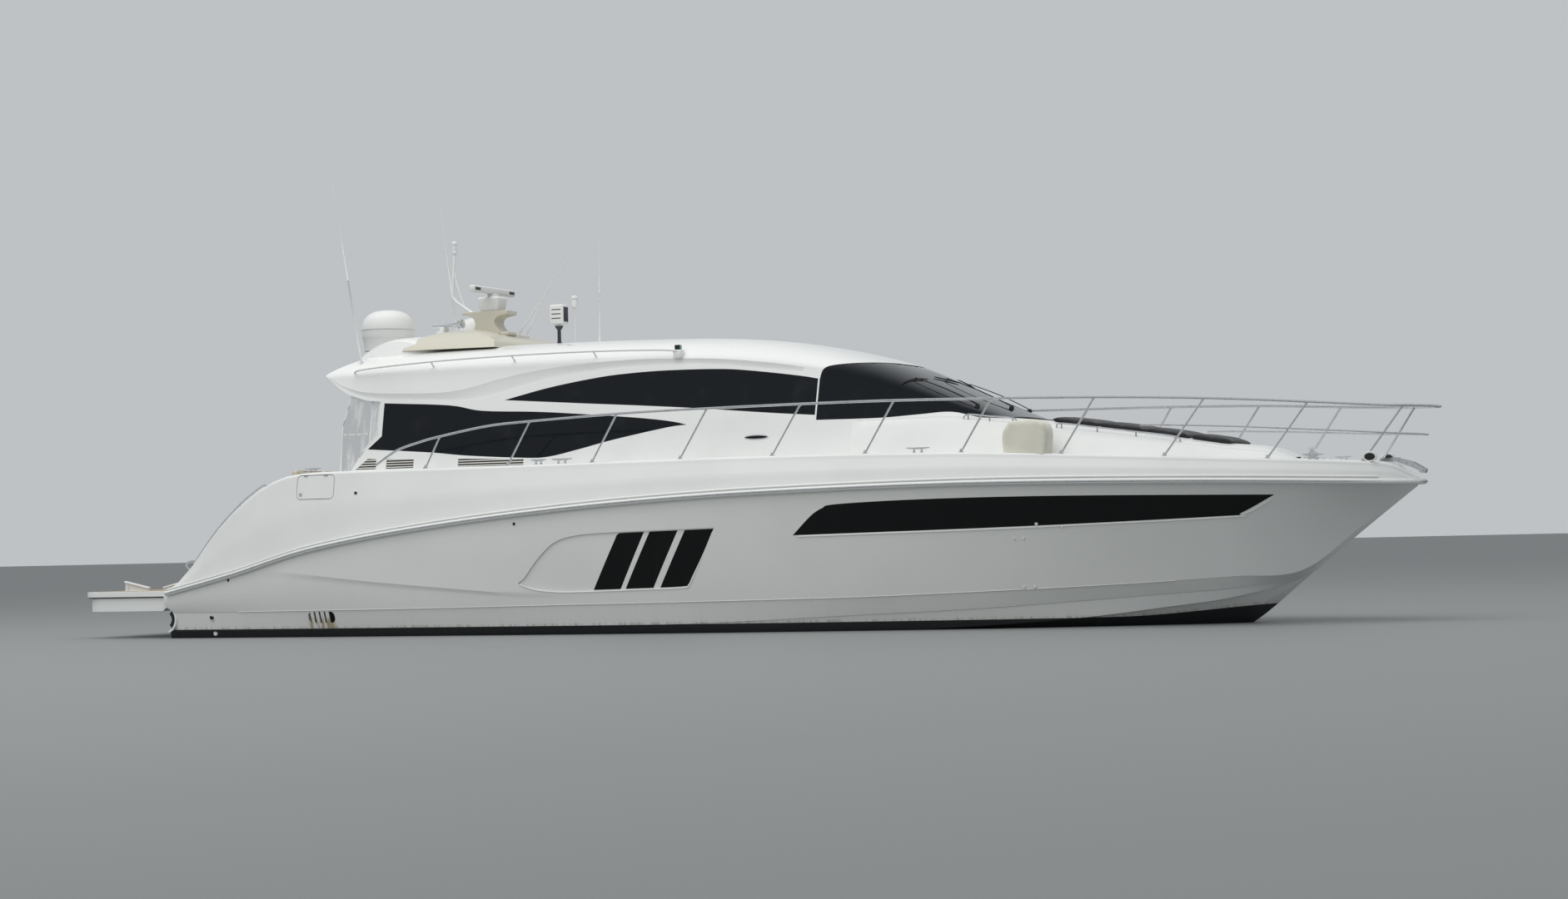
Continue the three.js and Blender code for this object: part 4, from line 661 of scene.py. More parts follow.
def black_pane():
    """Opaque black acrylic in the hull's sides."""
    paint = Paint("black_pane")
    salt = paint.noise(2.0, 5.0, 0.7, (4.0, 1.0, 1.0)).ramp(0.48, 0.85)
    return paint.surface(paint.mix(salt * 0.06, (0.003, 0.0035, 0.004), (0.06, 0.06, 0.058)), salt * 0.2 + 0.05,
                         specular_ior_level=0.25)


def stainless():
    """Polished stainless tube, faintly blurred along its length."""
    paint = Paint("polished_stainless")
    blur = paint.noise(25.0, 3.0)
    return paint.surface(paint.mix(blur.ramp(0.45, 0.8), (0.72, 0.73, 0.75), (0.56, 0.56, 0.55)), blur * 0.16 + 0.1,
                         metallic=1.0)


def dull_metal(name, colour, worn, rough=0.4, metallic=0.0):
    """Painted or cast metal with worn, slightly pitted patches."""
    paint = Paint(name)
    patch = paint.noise(9.0, 5.0, 0.65)
    return paint.surface(paint.mix(patch.ramp(0.45, 0.7), colour, worn), patch * 0.3 + rough, metallic=metallic,
                         normal=paint.bump(patch, 0.0012, 0.4))


def moulded(name, colour, rough):
    """Grained black or grey plastic and rubber."""
    paint = Paint(name)
    dust = paint.noise(2.2, 4.0).ramp(0.5, 0.8)
    return paint.surface(paint.mix(dust * 0.2, colour, tuple(min(c + 0.12, 1) for c in colour)), dust * 0.2 + rough,
                         normal=paint.bump(paint.noise(320.0), 0.0004, 0.5))


def woven(name, colour, shade, pitch=0.0035):
    """Woven deck cloth: crossed threads, faded a little in patches."""
    paint = Paint(name)
    k = 2 * pi / pitch
    threads = (paint.x * k).maths("SINE") * (paint.y * k + paint.z * k * 0.7).maths("SINE")
    fade = paint.noise(1.6, 4.0, 0.6)
    tint = paint.mix(threads.ramp(-0.6, 0.6) * 0.3 + fade.ramp(0.35, 0.75) * 0.6, colour, shade)
    return paint.surface(tint, 0.85, sheen_weight=0.25,
                         normal=paint.bump(threads * 0.25 + paint.noise(9.0, 3.0) * 2.2, 0.0018, 0.55))


def upholstery():
    """Soft cream vinyl with a fine leather grain and use creases."""
    paint = Paint("cream_vinyl")
    cells = paint.node("ShaderNodeTexVoronoi", {"Vector": paint.spot, "Scale": 330.0}, feature="DISTANCE_TO_EDGE")
    crease = paint.noise(14.0, 5.0, 0.7)
    return paint.surface(paint.mix(crease.ramp(0.4, 0.75) * 0.45, (0.66, 0.6, 0.49), (0.5, 0.44, 0.34)),
                         crease * 0.15 + 0.38, normal=paint.bump(cells.ramp(0.0, 0.25) * 0.25 + crease, 0.0014, 0.5))


def clear_vinyl():
    """Clear curtain vinyl, wrinkled and slightly milky."""
    paint = Paint("clear_vinyl")
    folds = paint.noise(1.7, 4.0, 0.55, (7.0, 7.0, 0.9))
    milk = folds.ramp(0.38, 0.72)
    return paint.surface(paint.mix(milk, (0.2, 0.215, 0.22), (0.66, 0.68, 0.68)), folds * 0.2 + 0.08,
                         alpha=milk * 0.4 + 0.32, normal=paint.bump(folds, 0.03, 0.8))


def cherry():
    """Satin cherry joinery for the cabin."""
    paint = Paint("cherry_joinery")
    grain = paint.noise(2.2, 6.0, 0.62, (1.2, 14.0, 14.0))
    return paint.surface(paint.mix(grain.ramp(0.35, 0.68), (0.26, 0.11, 0.05), (0.42, 0.2, 0.1)), grain * 0.15 + 0.22,
                         coat_weight=0.4, coat_roughness=0.1)


def lamp_glass(name, colour):
    """A small coloured or frosted lens."""
    paint = Paint(name)
    ribs = paint.noise(90.0)
    return paint.surface(paint.mix(ribs * 0.25, colour, (0.9, 0.9, 0.88)), ribs * 0.1 + 0.08, coat_weight=0.6,
                         coat_roughness=0.04)


def floor_paint():
    """The plain pale floor that stands for the water."""
    paint, pale = Paint("pale_floor"), tuple(bpy.context.scene.yacht_stage.floor)
    return paint.surface(paint.mix(paint.noise(0.08) * 0.1, pale, tuple(c * 0.94 for c in pale)), 0.6)


# Each finish's slot, its recipe and the recipe's values
FINISHES = {
    "gelcoat": ("gelcoat", gelcoat, "white_gelcoat"),
    "hull": ("hull_gelcoat", hull_gelcoat),
    "deck": ("gelcoat", deck_gelcoat),
    "beige": ("beige_gelcoat", gelcoat, "beige_gelcoat", (0.61, 0.585, 0.49), (0.52, 0.495, 0.41), 0.3),
    "dome": ("gelcoat", gelcoat, "dome_gelcoat", (0.8, 0.805, 0.79), (0.68, 0.68, 0.64), 0.28),
    "teak": ("gelcoat", teak),
    "glass": ("dark_glass", dark_glass),
    "pane": ("dark_glass", black_pane),
    "steel": ("stainless", stainless),
    "dark_metal": ("dark_metal", dull_metal, "dark_metal", (0.035, 0.037, 0.04), (0.075, 0.075, 0.075)),
    "antifouled": ("dark_metal", dull_metal, "antifouled_casing", (0.02, 0.022, 0.026), (0.06, 0.06, 0.055), 0.55),
    "bronze": ("bronze", dull_metal, "propeller_bronze", (0.44, 0.28, 0.12), (0.3, 0.24, 0.13), 0.28, 1.0),
    "dull_zinc": ("stainless", dull_metal, "dull_zinc", (0.42, 0.42, 0.41), (0.3, 0.3, 0.28), 0.5, 1.0),
    "rubber": ("dark_trim", moulded, "black_rubber", (0.012, 0.012, 0.013), 0.5),
    "trim": ("dark_trim", moulded, "dark_trim", (0.03, 0.031, 0.034), 0.42),
    "louvre_dark": ("dark_trim", moulded, "louvre_shadow", (0.12, 0.1, 0.075), 0.6),
    "plastic": ("gelcoat", moulded, "white_plastic", (0.74, 0.745, 0.73), 0.35),
    "pad_cloth": ("dark_fabric", woven, "sun_pad_cloth", (0.011, 0.012, 0.015), (0.024, 0.026, 0.03)),
    "cover_cloth": ("beige_fabric", woven, "beige_cover_cloth", (0.74, 0.72, 0.61), (0.82, 0.8, 0.7), 0.0028),
    "vinyl": ("beige_fabric", upholstery),
    "curtain": ("clear_vinyl", clear_vinyl),
    "cherry": ("dark_trim", cherry),
    "red_lens": ("dark_trim", lamp_glass, "red_lens", (0.5, 0.02, 0.02)),
    "green_lens": ("dark_trim", lamp_glass, "green_lens", (0.01, 0.3, 0.1)),
    "clear_lens": ("gelcoat", lamp_glass, "clear_lens", (0.75, 0.77, 0.78)),
    "screen": ("dark_glass", lamp_glass, "instrument_glass", (0.01, 0.014, 0.02)),
    "floor": (None, floor_paint),
}


@cache
def finish_of(key):
    """The material of that name, made on its first use."""
    _, recipe, *values = FINISHES[key]
    return recipe(*values)


def length(name, description, default):
    return bpy.props.FloatProperty(name=name, description=description, default=default, unit="LENGTH")


def colour(name, description, default):
    return bpy.props.FloatVectorProperty(name=name, description=description, default=default, subtype="COLOR")


class HullSettings(bpy.types.PropertyGroup):
    gelcoat: colour("Gelcoat", "Colour of the topsides", (0.8, 0.805, 0.79))
    boot_colour: colour("Boot stripe", "Colour below the boot line", BLACK)
    boot_top: length("Boot line", "Height of the boot stripe's top", 0.115)
    boot_rise: length("Boot line rise", "How far the boot line rises at the bow", 0.13)
    rail_width: length("Rub rail", "Width of the rub rail's steel strip", 0.03)


class HouseSettings(bpy.types.PropertyGroup):
    glass: colour("Glass", "Tint of the cabin glass", (0.01, 0.012, 0.015))
    wall: length("Wall", "Thickness of the deckhouse wall", 0.06)
    pane: length("Pane", "Thickness of the cabin glass", 0.012)


class RailSettings(bpy.types.PropertyGroup):
    top: length("Top rail", "Radius of the guard rail's top tube", 0.016)
    post: length("Stanchion", "Radius of a stanchion", 0.0125)


class SoftSettings(bpy.types.PropertyGroup):
    swell: length("Swell", "How far a cushion's cloth may swell", 0.014)
    voxel: length("Cloth grid", "Size of a cushion's cloth grid", 0.016)


class StageSettings(bpy.types.PropertyGroup):
    floor: colour("Floor", "Colour of the floor", (0.25, 0.262, 0.262))
    sky: colour("Backdrop", "Colour of the light from all round", (0.66, 0.69, 0.71))
    daylight: bpy.props.FloatProperty(
        name="Daylight", description="Strength of the light from all round", default=0.78, min=0)


HULL_STATIONS = [16.56 * (1 - (1 - k / 110) ** 1.5) for k in range(111)]
SALON_WELL = ((BULKHEAD_X + 0.07, -1.64, SOLE_Z), (10.0, 1.64, 6.0))
PANE_FACE, MID_FLOOR = 0.025, 0.022


def hull_form(inset=0.0):
    return shell_of(HULL_STATIONS, lambda x: hull_section(x, inset))


def deck_form(inset=0.0):
    return shell_of(HULL_STATIONS, lambda x: deck_section(x, inset))


def cabin_form(lines, inset=0.0, count=72):
    """A cabin's closed form, which runs on a little at its ends where it is the inside of a wall."""
    spare = 0.01 if inset > 0 else 0.0
    first, last = lines.rows[0][0] - spare, lines.rows[-1][0] + spare
    return shell_of([first + (last - first) * k / count for k in range(count + 1)],
                    lambda x: cabin_section(lines, x, inset))


def house_form(inset=0.0):
    return cabin_form(HOUSE, inset)


def standing_clear(shift=(0, 0, 0.001)):
    """The deck and trunk just below what stands on them."""
    tools = [deck_form(), cabin_form(TRUNK)]
    for bm in tools:
        bmesh.ops.translate(bm, vec=shift, verts=bm.verts)
    return tools


def outlined(outline):
    """A side-view outline drawn right across the boat."""
    return prism(eased(*outline), -4, 4)


def wall(form, outline, outer, inner, *cuts):
    """What lies between two skins of a form, inside an outline."""
    piece = carve(thing("wall", form(outer)), outline, operation="INTERSECT")
    return spent(carve(piece, form(inner), *cuts))


def half(bm, sign):
    """A copy of a mesh that keeps only what lies on one side of the boat."""
    made = bm.copy()
    bmesh.ops.bisect_plane(made, geom=made.verts[:] + made.edges[:] + made.faces[:], plane_co=(0, 0, 0),
                           plane_no=(0, -sign, 0), clear_outer=True)
    bmesh.ops.holes_fill(made, edges=[e for e in made.edges if e.is_boundary])
    return made


def shrunk(points, by):
    """A closed outline, given clockwise, with every place moved inward."""
    made = []
    for before, at, after in zip(points[-1:] + points[:-1], points, points[1:] + points[:1]):
        along = (Vector(after) - Vector(before)).normalized()
        made.append((at[0] + along.y * by, at[1] - along.x * by))
    return made


def raked_pane(outline, outer, inner):
    """One raked pane on both sides of the hull, kept inside the recess's edge."""
    pane = thing("raked_pane", wall(hull_form, prism(outline, -4, 4), outer, inner))
    return spent(carve(pane, prism(shrunk(eased(*MID_RECESS_OUTLINE), PANE_MARGIN), -4, 4), operation="INTERSECT"))


def side_line(points, out, sign):
    """A line along the hull's side, its places given in side view, standing out from the surface."""
    return [(x, sign * (hull_side(x, z) + out), z) for x, z in points]


def cross_rod(bm, x, z, near, far, radius, sides=24):
    """A rod across the boat on each side, between two distances from the centreline."""
    for _, sign in SIDES:
        rod(bm, (x, sign * near, z), (x, sign * far, z), radius, sides)


def notch_bore():
    """The round notch at each stern corner."""
    return formed((cross_rod, *NOTCH[:2], 1.75, 2.3, NOTCH[2], 48))


class MakeHull(bpy.types.Operator):
    """Moulds the hull, with pockets for its windows, the exhaust openings and the drive collars"""
    bl_idname = "yacht.hull"
    bl_label = "Hull"

    def execute(self, context):
        hull = carve(
            thing("hull_moulding", hull_form()),
            wall(hull_form, outlined(BOW_WINDOW_OUTLINE), -0.02, PANE_FACE),
            wall(hull_form, outlined(MID_RECESS_OUTLINE), -0.02, MID_FLOOR),
            *(raked_pane(pane, 0.0, 0.05) for pane in MID_PANES),
            *(side_prism(rounded_plan(*EXHAUST, 0.06), sign, 2.1, 3.0) for _, sign in SIDES),
            cuboid(*SALON_WELL), notch_bore())
        dress(hull, "hull", replaces="hull", smooth=24, bevel=0.0035)
        collars = []
        for _, sign in SIDES:
            y = sign * ARM_Y
            collars.append((rod, (2.1, sign * 0.9, -0.64), (2.1, sign * 0.9, -0.3), 0.23, 40))
            for gap in (-0.0585, 0.0585):
                collars.append((block, (-0.115, y + gap - 0.0165, -0.455), (0.01, y + gap + 0.0165, -0.345), 0.012))
            collars.append((rod, (-0.06, y - 0.06, -0.4), (-0.06, y + 0.06, -0.4), 0.022))
        make("drive_collars", "antifouled", *collars, bevel=0.004)
        return {"FINISHED"}


class MakeHullWindows(bpy.types.Operator):
    """Sets the long bow windows and the raked panes into the hull's sides, with their pale sills"""
    bl_idname = "yacht.hull_windows"
    bl_label = "Hull windows"

    def execute(self, context):
        bow = wall(hull_form, outlined(BOW_WINDOW_OUTLINE), 0.006, 0.022)
        raked = [raked_pane(pane, PANE_FACE, 0.048) for pane in MID_PANES]
        bow_sill = bent(((9.36, 1.185), (10.4, 1.2), (12.08, 1.228), (14.45, 1.298), (14.68, 1.335), (15.0, 1.5)), 14)
        mid_sill = bent(((5.51, 0.655), (5.72, 0.583), (5.98, 0.551), (6.27, 0.543), (7.1, 0.558), (7.75, 0.573),
                         (7.86, 0.605), (7.925, 0.705), (8.09, 0.98)), 8)
        widths = [0.002] + [0.009] * (len(mid_sill) - 12) + [0.0002 + 0.0008 * k for k in range(11, 0, -1)]
        for word, sign in SIDES:
            make("bow_window_" + word, "pane", half(bow, sign), replaces="hull_window_" + word, smooth=30, bevel=0.003)
            make("raked_panes_" + word, "pane", *(half(pane, sign) for pane in raked),
                 replaces="hull_panes_" + word, smooth=30, bevel=0.003)
            make("window_sill_" + word, "gelcoat", (pipe, side_line(bow_sill, 0.002, sign), 0.0105, 8),
                 (pipe, side_line(mid_sill, 0.001, sign), widths, 8), slot="hull_gelcoat")
        return {"FINISHED"}


def rub_line(out, lift, sign, count=150, last=16.5):
    """Places along the rub rail, from the stern quarter to near the stem."""
    places = [0.06 + (last - 0.06) * (1 - (1 - k / count) ** 1.6) for k in range(count + 1)]
    return [(x, sign * (HULL("rub_y", x) + out), HULL("rub", x) + lift) for x in places]


def round_bow(out, thick, tip):
    """A tube along the rub rail, round the bow from quarter to quarter."""
    lift = 0.004
    head = [(tip, 0, HULL("rub", 16.5) + lift)]
    return pipe, rub_line(out, lift, -1) + head + rub_line(out, lift, 1)[::-1], thick, 10


class MakeRubRail(bpy.types.Operator):
    """Runs the rub rail round the hull's top edge, with its steel strip and the moulded band above"""
    bl_idname = "yacht.rub_rail"
    bl_label = "Rub rail"

    def execute(self, context):
        width = context.scene.yacht_hull.rail_width
        make("rub_rail_moulding", "gelcoat", round_bow(0.036, 0.034, 16.645), replaces="rub_rail", smooth=60)
        make("rub_rail_strip", "steel", round_bow(0.064, width * 0.4, 16.672), smooth=60)
        make("topside_band", "gelcoat", *((pipe, rub_line(-0.006, 0.062, sign, 110, 16.2), 0.014, 8)
                                          for _, sign in SIDES), smooth=60)
        return {"FINISHED"}


STAIR_SIDES, STAIR_COUNT = (1.18, 1.7), 4
STAIR_RISE = (SOLE_Z - PLATFORM_TOP) / STAIR_COUNT
WELL_AFT, WELL_FORE, WELL_HALF = 1.33, 3.365, 1.74
LID_SEAM, LID_THICK, LID_LEDGE = 0.008, 0.04, 0.045
# Plans of the lids: aft, starboard, forward and port edge
BOW_LOCKER = (15.42, -0.33, 15.98, 0.33)
DECK_HATCH = (11.79, -0.26, 12.14, 0.26)
ENGINE_HATCH = (2.08, -0.6, 3.12, 0.6)
QUARTER_DOOR = (2.19, 2.765, 1.83, 2.14)
TRANSOM_FOOT, TRANSOM_HEAD, TRANSOM_HALF = (0.4, 0.925), (1.0, 1.56), 0.9
TRANSOM_LENGTH = dist(TRANSOM_FOOT, TRANSOM_HEAD)


def stair_start(k):
    """Where a step of the stern stairs starts."""
    return -0.2 if k == 0 else 0.06 + k * (WELL_AFT - 0.06) / STAIR_COUNT


def stair_floor(k):
    return PLATFORM_TOP + STAIR_RISE * (k + 0.2)


def grown(hatch, by, low, high):
    """A hatch's plan, grown by a margin, as a block between two heights."""
    x0, y0, x1, y1 = hatch
    return cuboid((x0 - by, y0 - by, low), (x1 + by, y1 + by, high))


def on_transom(bm):
    """Lays a mesh made flat on the slope of the transom."""
    run, rise = (b - a for a, b in zip(TRANSOM_FOOT, TRANSOM_HEAD))
    bmesh.ops.rotate(bm, cent=(0, 0, 0), matrix=Matrix.Rotation(-atan2(rise, run), 3, "Y"), verts=bm.verts)
    bmesh.ops.translate(bm, vec=(TRANSOM_FOOT[0], 0, TRANSOM_FOOT[1]), verts=bm.verts)
    return bm


def cockpit_cuts():
    """The cockpit's well and the stern stairs on both sides."""
    near, far = STAIR_SIDES
    return [cuboid((WELL_AFT, -WELL_HALF, SOLE_Z), (WELL_FORE, WELL_HALF, 6.0)),
            *(formed(part) for k in range(STAIR_COUNT)
              for part in both(side_block, (stair_start(k), near, stair_floor(k)), (WELL_AFT + 0.005, far, 6.0)))]


def lid_cuts():
    """The recesses of the lids and doors, and the lockers below them."""
    under = -LID_THICK - 0.002
    cuts = [grown(ENGINE_HATCH, LID_SEAM, SOLE_Z + under, SOLE_Z + 0.1),
            grown(ENGINE_HATCH, -LID_LEDGE, SOLE_Z - 0.36, SOLE_Z + 0.1)]
    cuts += [on_transom(grown((0, -TRANSOM_HALF, TRANSOM_LENGTH, TRANSOM_HALF), by, low, high))
             for by, low, high in ((LID_SEAM, under, 0.2), (-LID_LEDGE, -0.3, 0.0))]
    x0, x1, z0, z1 = QUARTER_DOOR
    for _, sign in SIDES:
        for by, depth, corner in ((LID_SEAM, 2.19, 0.063), (-LID_LEDGE, 2.0, 0.03)):
            cuts.append(side_prism(rounded_plan(x0 - by, x1 + by, z0 - by, z1 + by, corner), sign, depth, 3.0))
    return cuts


class MakeDeck(bpy.types.Operator):
    """Moulds the deck with its cockpit, stairs, lockers and foredeck trunk"""
    bl_idname = "yacht.deck"
    bl_label = "Deck"

    def execute(self, context):
        deck = carve(thing("deck_moulding", deck_form()), *cockpit_cuts(), cuboid(*SALON_WELL), *lid_cuts())
        seat_base = cuboid((WELL_AFT - 0.01, -1.12, SOLE_Z - 0.02), (1.95, 1.12, SOLE_Z + 0.33), 0.018)
        carve(deck, seat_base, operation="UNION")
        carve(deck, grown(BOW_LOCKER, LID_SEAM, 1.885, 2.4), grown(BOW_LOCKER, -LID_LEDGE, 1.7, 2.4))
        dress(deck, "deck", replaces="deck", smooth=28, bevel=0.007)
        trunk = carve(thing("foredeck_trunk", cabin_form(TRUNK)), cuboid(*SALON_WELL),
                      grown(DECK_HATCH, LID_SEAM, 2.52, 3.0), grown(DECK_HATCH, -LID_LEDGE, 2.3, 3.0))
        dress(trunk, "deck", smooth=28, bevel=0.005)
        return {"FINISHED"}


class MakeHouse(bpy.types.Operator):
    """Makes the deckhouse sides, the hardtop, the aft bulkhead and the pillars behind the glass"""
    bl_idname = "yacht.house"
    bl_label = "Deckhouse and hardtop"

    def execute(self, context):
        thick = context.scene.yacht_house.wall
        openings = (HARDTOP_OUTLINE, WINDSHIELD_OUTLINE, UPPER_GLASS_OUTLINE, LOWER_GLASS_OUTLINE)
        sides = thing("deckhouse_sides", wall(house_form, outlined(HOUSE_OUTLINE), 0.0, thick,
                                              *map(outlined, openings), *standing_clear()))
        carve(sides, *(wall(house_form, prism(vent), -0.02, 0.032) for vent in VENTS))
        dress(sides, "gelcoat", replaces="house", smooth=30, bevel=0.004)
        top = thing("hardtop_moulding", wall(house_form, outlined(HARDTOP_OUTLINE), 0.0, thick,
                                             *map(outlined, openings[1:])))
        carve(top, wall(house_form, prism(side_band_region()), -0.02, 0.052))
        dress(top, "gelcoat", replaces="hardtop", smooth=30, bevel=0.006)
        self.bulkhead(BULKHEAD_X, BULKHEAD_X + 0.05, thick)
        pillars = carve(thing("cabin_pillars", house_form(0.016)), house_form(thick))
        carve(pillars, formed(*((block, (x, -3, 2.6), (x + 0.09, 3, 4.4)) for x in (7.15, 9.405))),
              operation="INTERSECT")
        dress(carve(pillars, outlined(HARDTOP_OUTLINE)), "trim", smooth=30, bevel=0.004)
        return {"FINISHED"}

    def bulkhead(self, aft, fore, thick):
        """The cabin's after wall, with its doorway and two windows."""
        bulkhead = thing("aft_bulkhead", cuboid((aft, -3, SOLE_Z + 0.001), (fore, 3, 4.2)))
        carve(bulkhead, house_form(thick + 0.002), operation="INTERSECT")
        carve(bulkhead, cuboid((aft, -1.63, SOLE_Z + 0.001), (fore, 1.63, 2.23)), operation="UNION")
        carve(bulkhead, cuboid((aft - 0.05, -0.38, 1.4), (fore + 0.05, 0.38, 3.27)),
              *(formed(part) for part in both(side_block, (aft - 0.05, 0.52, 2.1), (fore + 0.05, 1.42, 3.2))))
        dress(bulkhead, "gelcoat", smooth=30, bevel=0.006)
        make("bulkhead_windows", "glass", *both(side_block, (aft + 0.018, 0.521, 2.101), (aft + 0.03, 1.419, 3.199)),
             bevel=0.002)


class MakeCabinGlass(bpy.types.Operator):
    """Bonds the windshield and the side glass into the deckhouse, and hangs the sliding door"""
    bl_idname = "yacht.cabin_glass"
    bl_label = "Cabin glass"

    def execute(self, context):
        def glass(outline):
            return wall(house_form, outlined(outline), SEAM, context.scene.yacht_house.pane + SEAM, *standing_clear())

        dress(thing("windshield_glass", glass(WINDSHIELD_OUTLINE)), "glass", replaces="windshield", smooth=30,
              bevel=0.003)
        for band, outline in (("upper", UPPER_GLASS_OUTLINE), ("lower", LOWER_GLASS_OUTLINE)):
            whole = glass(outline)
            for word, sign in SIDES:
                make(f"cabin_glass_{band}_{word}", "glass", half(whole, sign), replaces=f"side_glass_{band}_{word}",
                     smooth=30, bevel=0.003)
        x, foot, top = BULKHEAD_X + 0.056, SOLE_Z + 0.001, SOLE_Z + 1.79
        make("salon_door_glass", "glass", (block, (x + 0.009, -0.37, SOLE_Z + 0.06), (x + 0.021, 0.37, top - 0.05)),
             body="salon_door", replaces="salon_door", bevel=0.002)
        make("salon_door_frame", "steel",
             *((block, (x, y, foot), (x + 0.03, y + 0.055, top), 0.004) for y in (-0.42, 0.365)),
             *((block, (x, -0.366, z), (x + 0.03, 0.366, z + 0.06), 0.004) for z in (foot, top - 0.06)),
             (block, (x - 0.003, -0.405, SOLE_Z + 0.86), (x + 0.002, -0.375, SOLE_Z + 1.16), 0.002), body="salon_door")
        return {"FINISHED"}


def domed(wide, tall, sink):
    """A radome's section: its base pan, the joint under its shell and the shell itself."""
    shell = bent(((wide, tall * 0.38), (wide * 0.975, tall * 0.53), (wide * 0.88, tall * 0.72),
                  (wide * 0.7, tall * 0.87), (wide * 0.42, tall * 0.965), (0, tall)), 5)
    pan = [(0, -sink), (wide * 0.9, -sink), (wide * 0.93, 0.035), (wide * 0.945, 0.045), (wide * 0.96, 0.062),
           (wide * 0.97, 0.085), (wide * 0.985, tall * 0.34), (wide * 0.965, tall * 0.345), (wide * 0.965, tall * 0.36),
           (wide * 0.99, tall * 0.365)]
    return pan + [tuple(p) for p in shell]


def slab(bm, points, middle, half_width):
    """A side-view outline given its width across the boat about a place."""
    add_form(bm, prism(points, middle - half_width, middle + half_width))


def stretched(start, tip, shares):
    """Places along a straight line, at shares of its length."""
    start, tip = Vector(start), Vector(tip)
    return [start + (tip - start) * share for share in shares]


def raised(points, y):
    """Places of a side view, as places at a distance across the boat."""
    return [(x, y, z) for x, z in points]


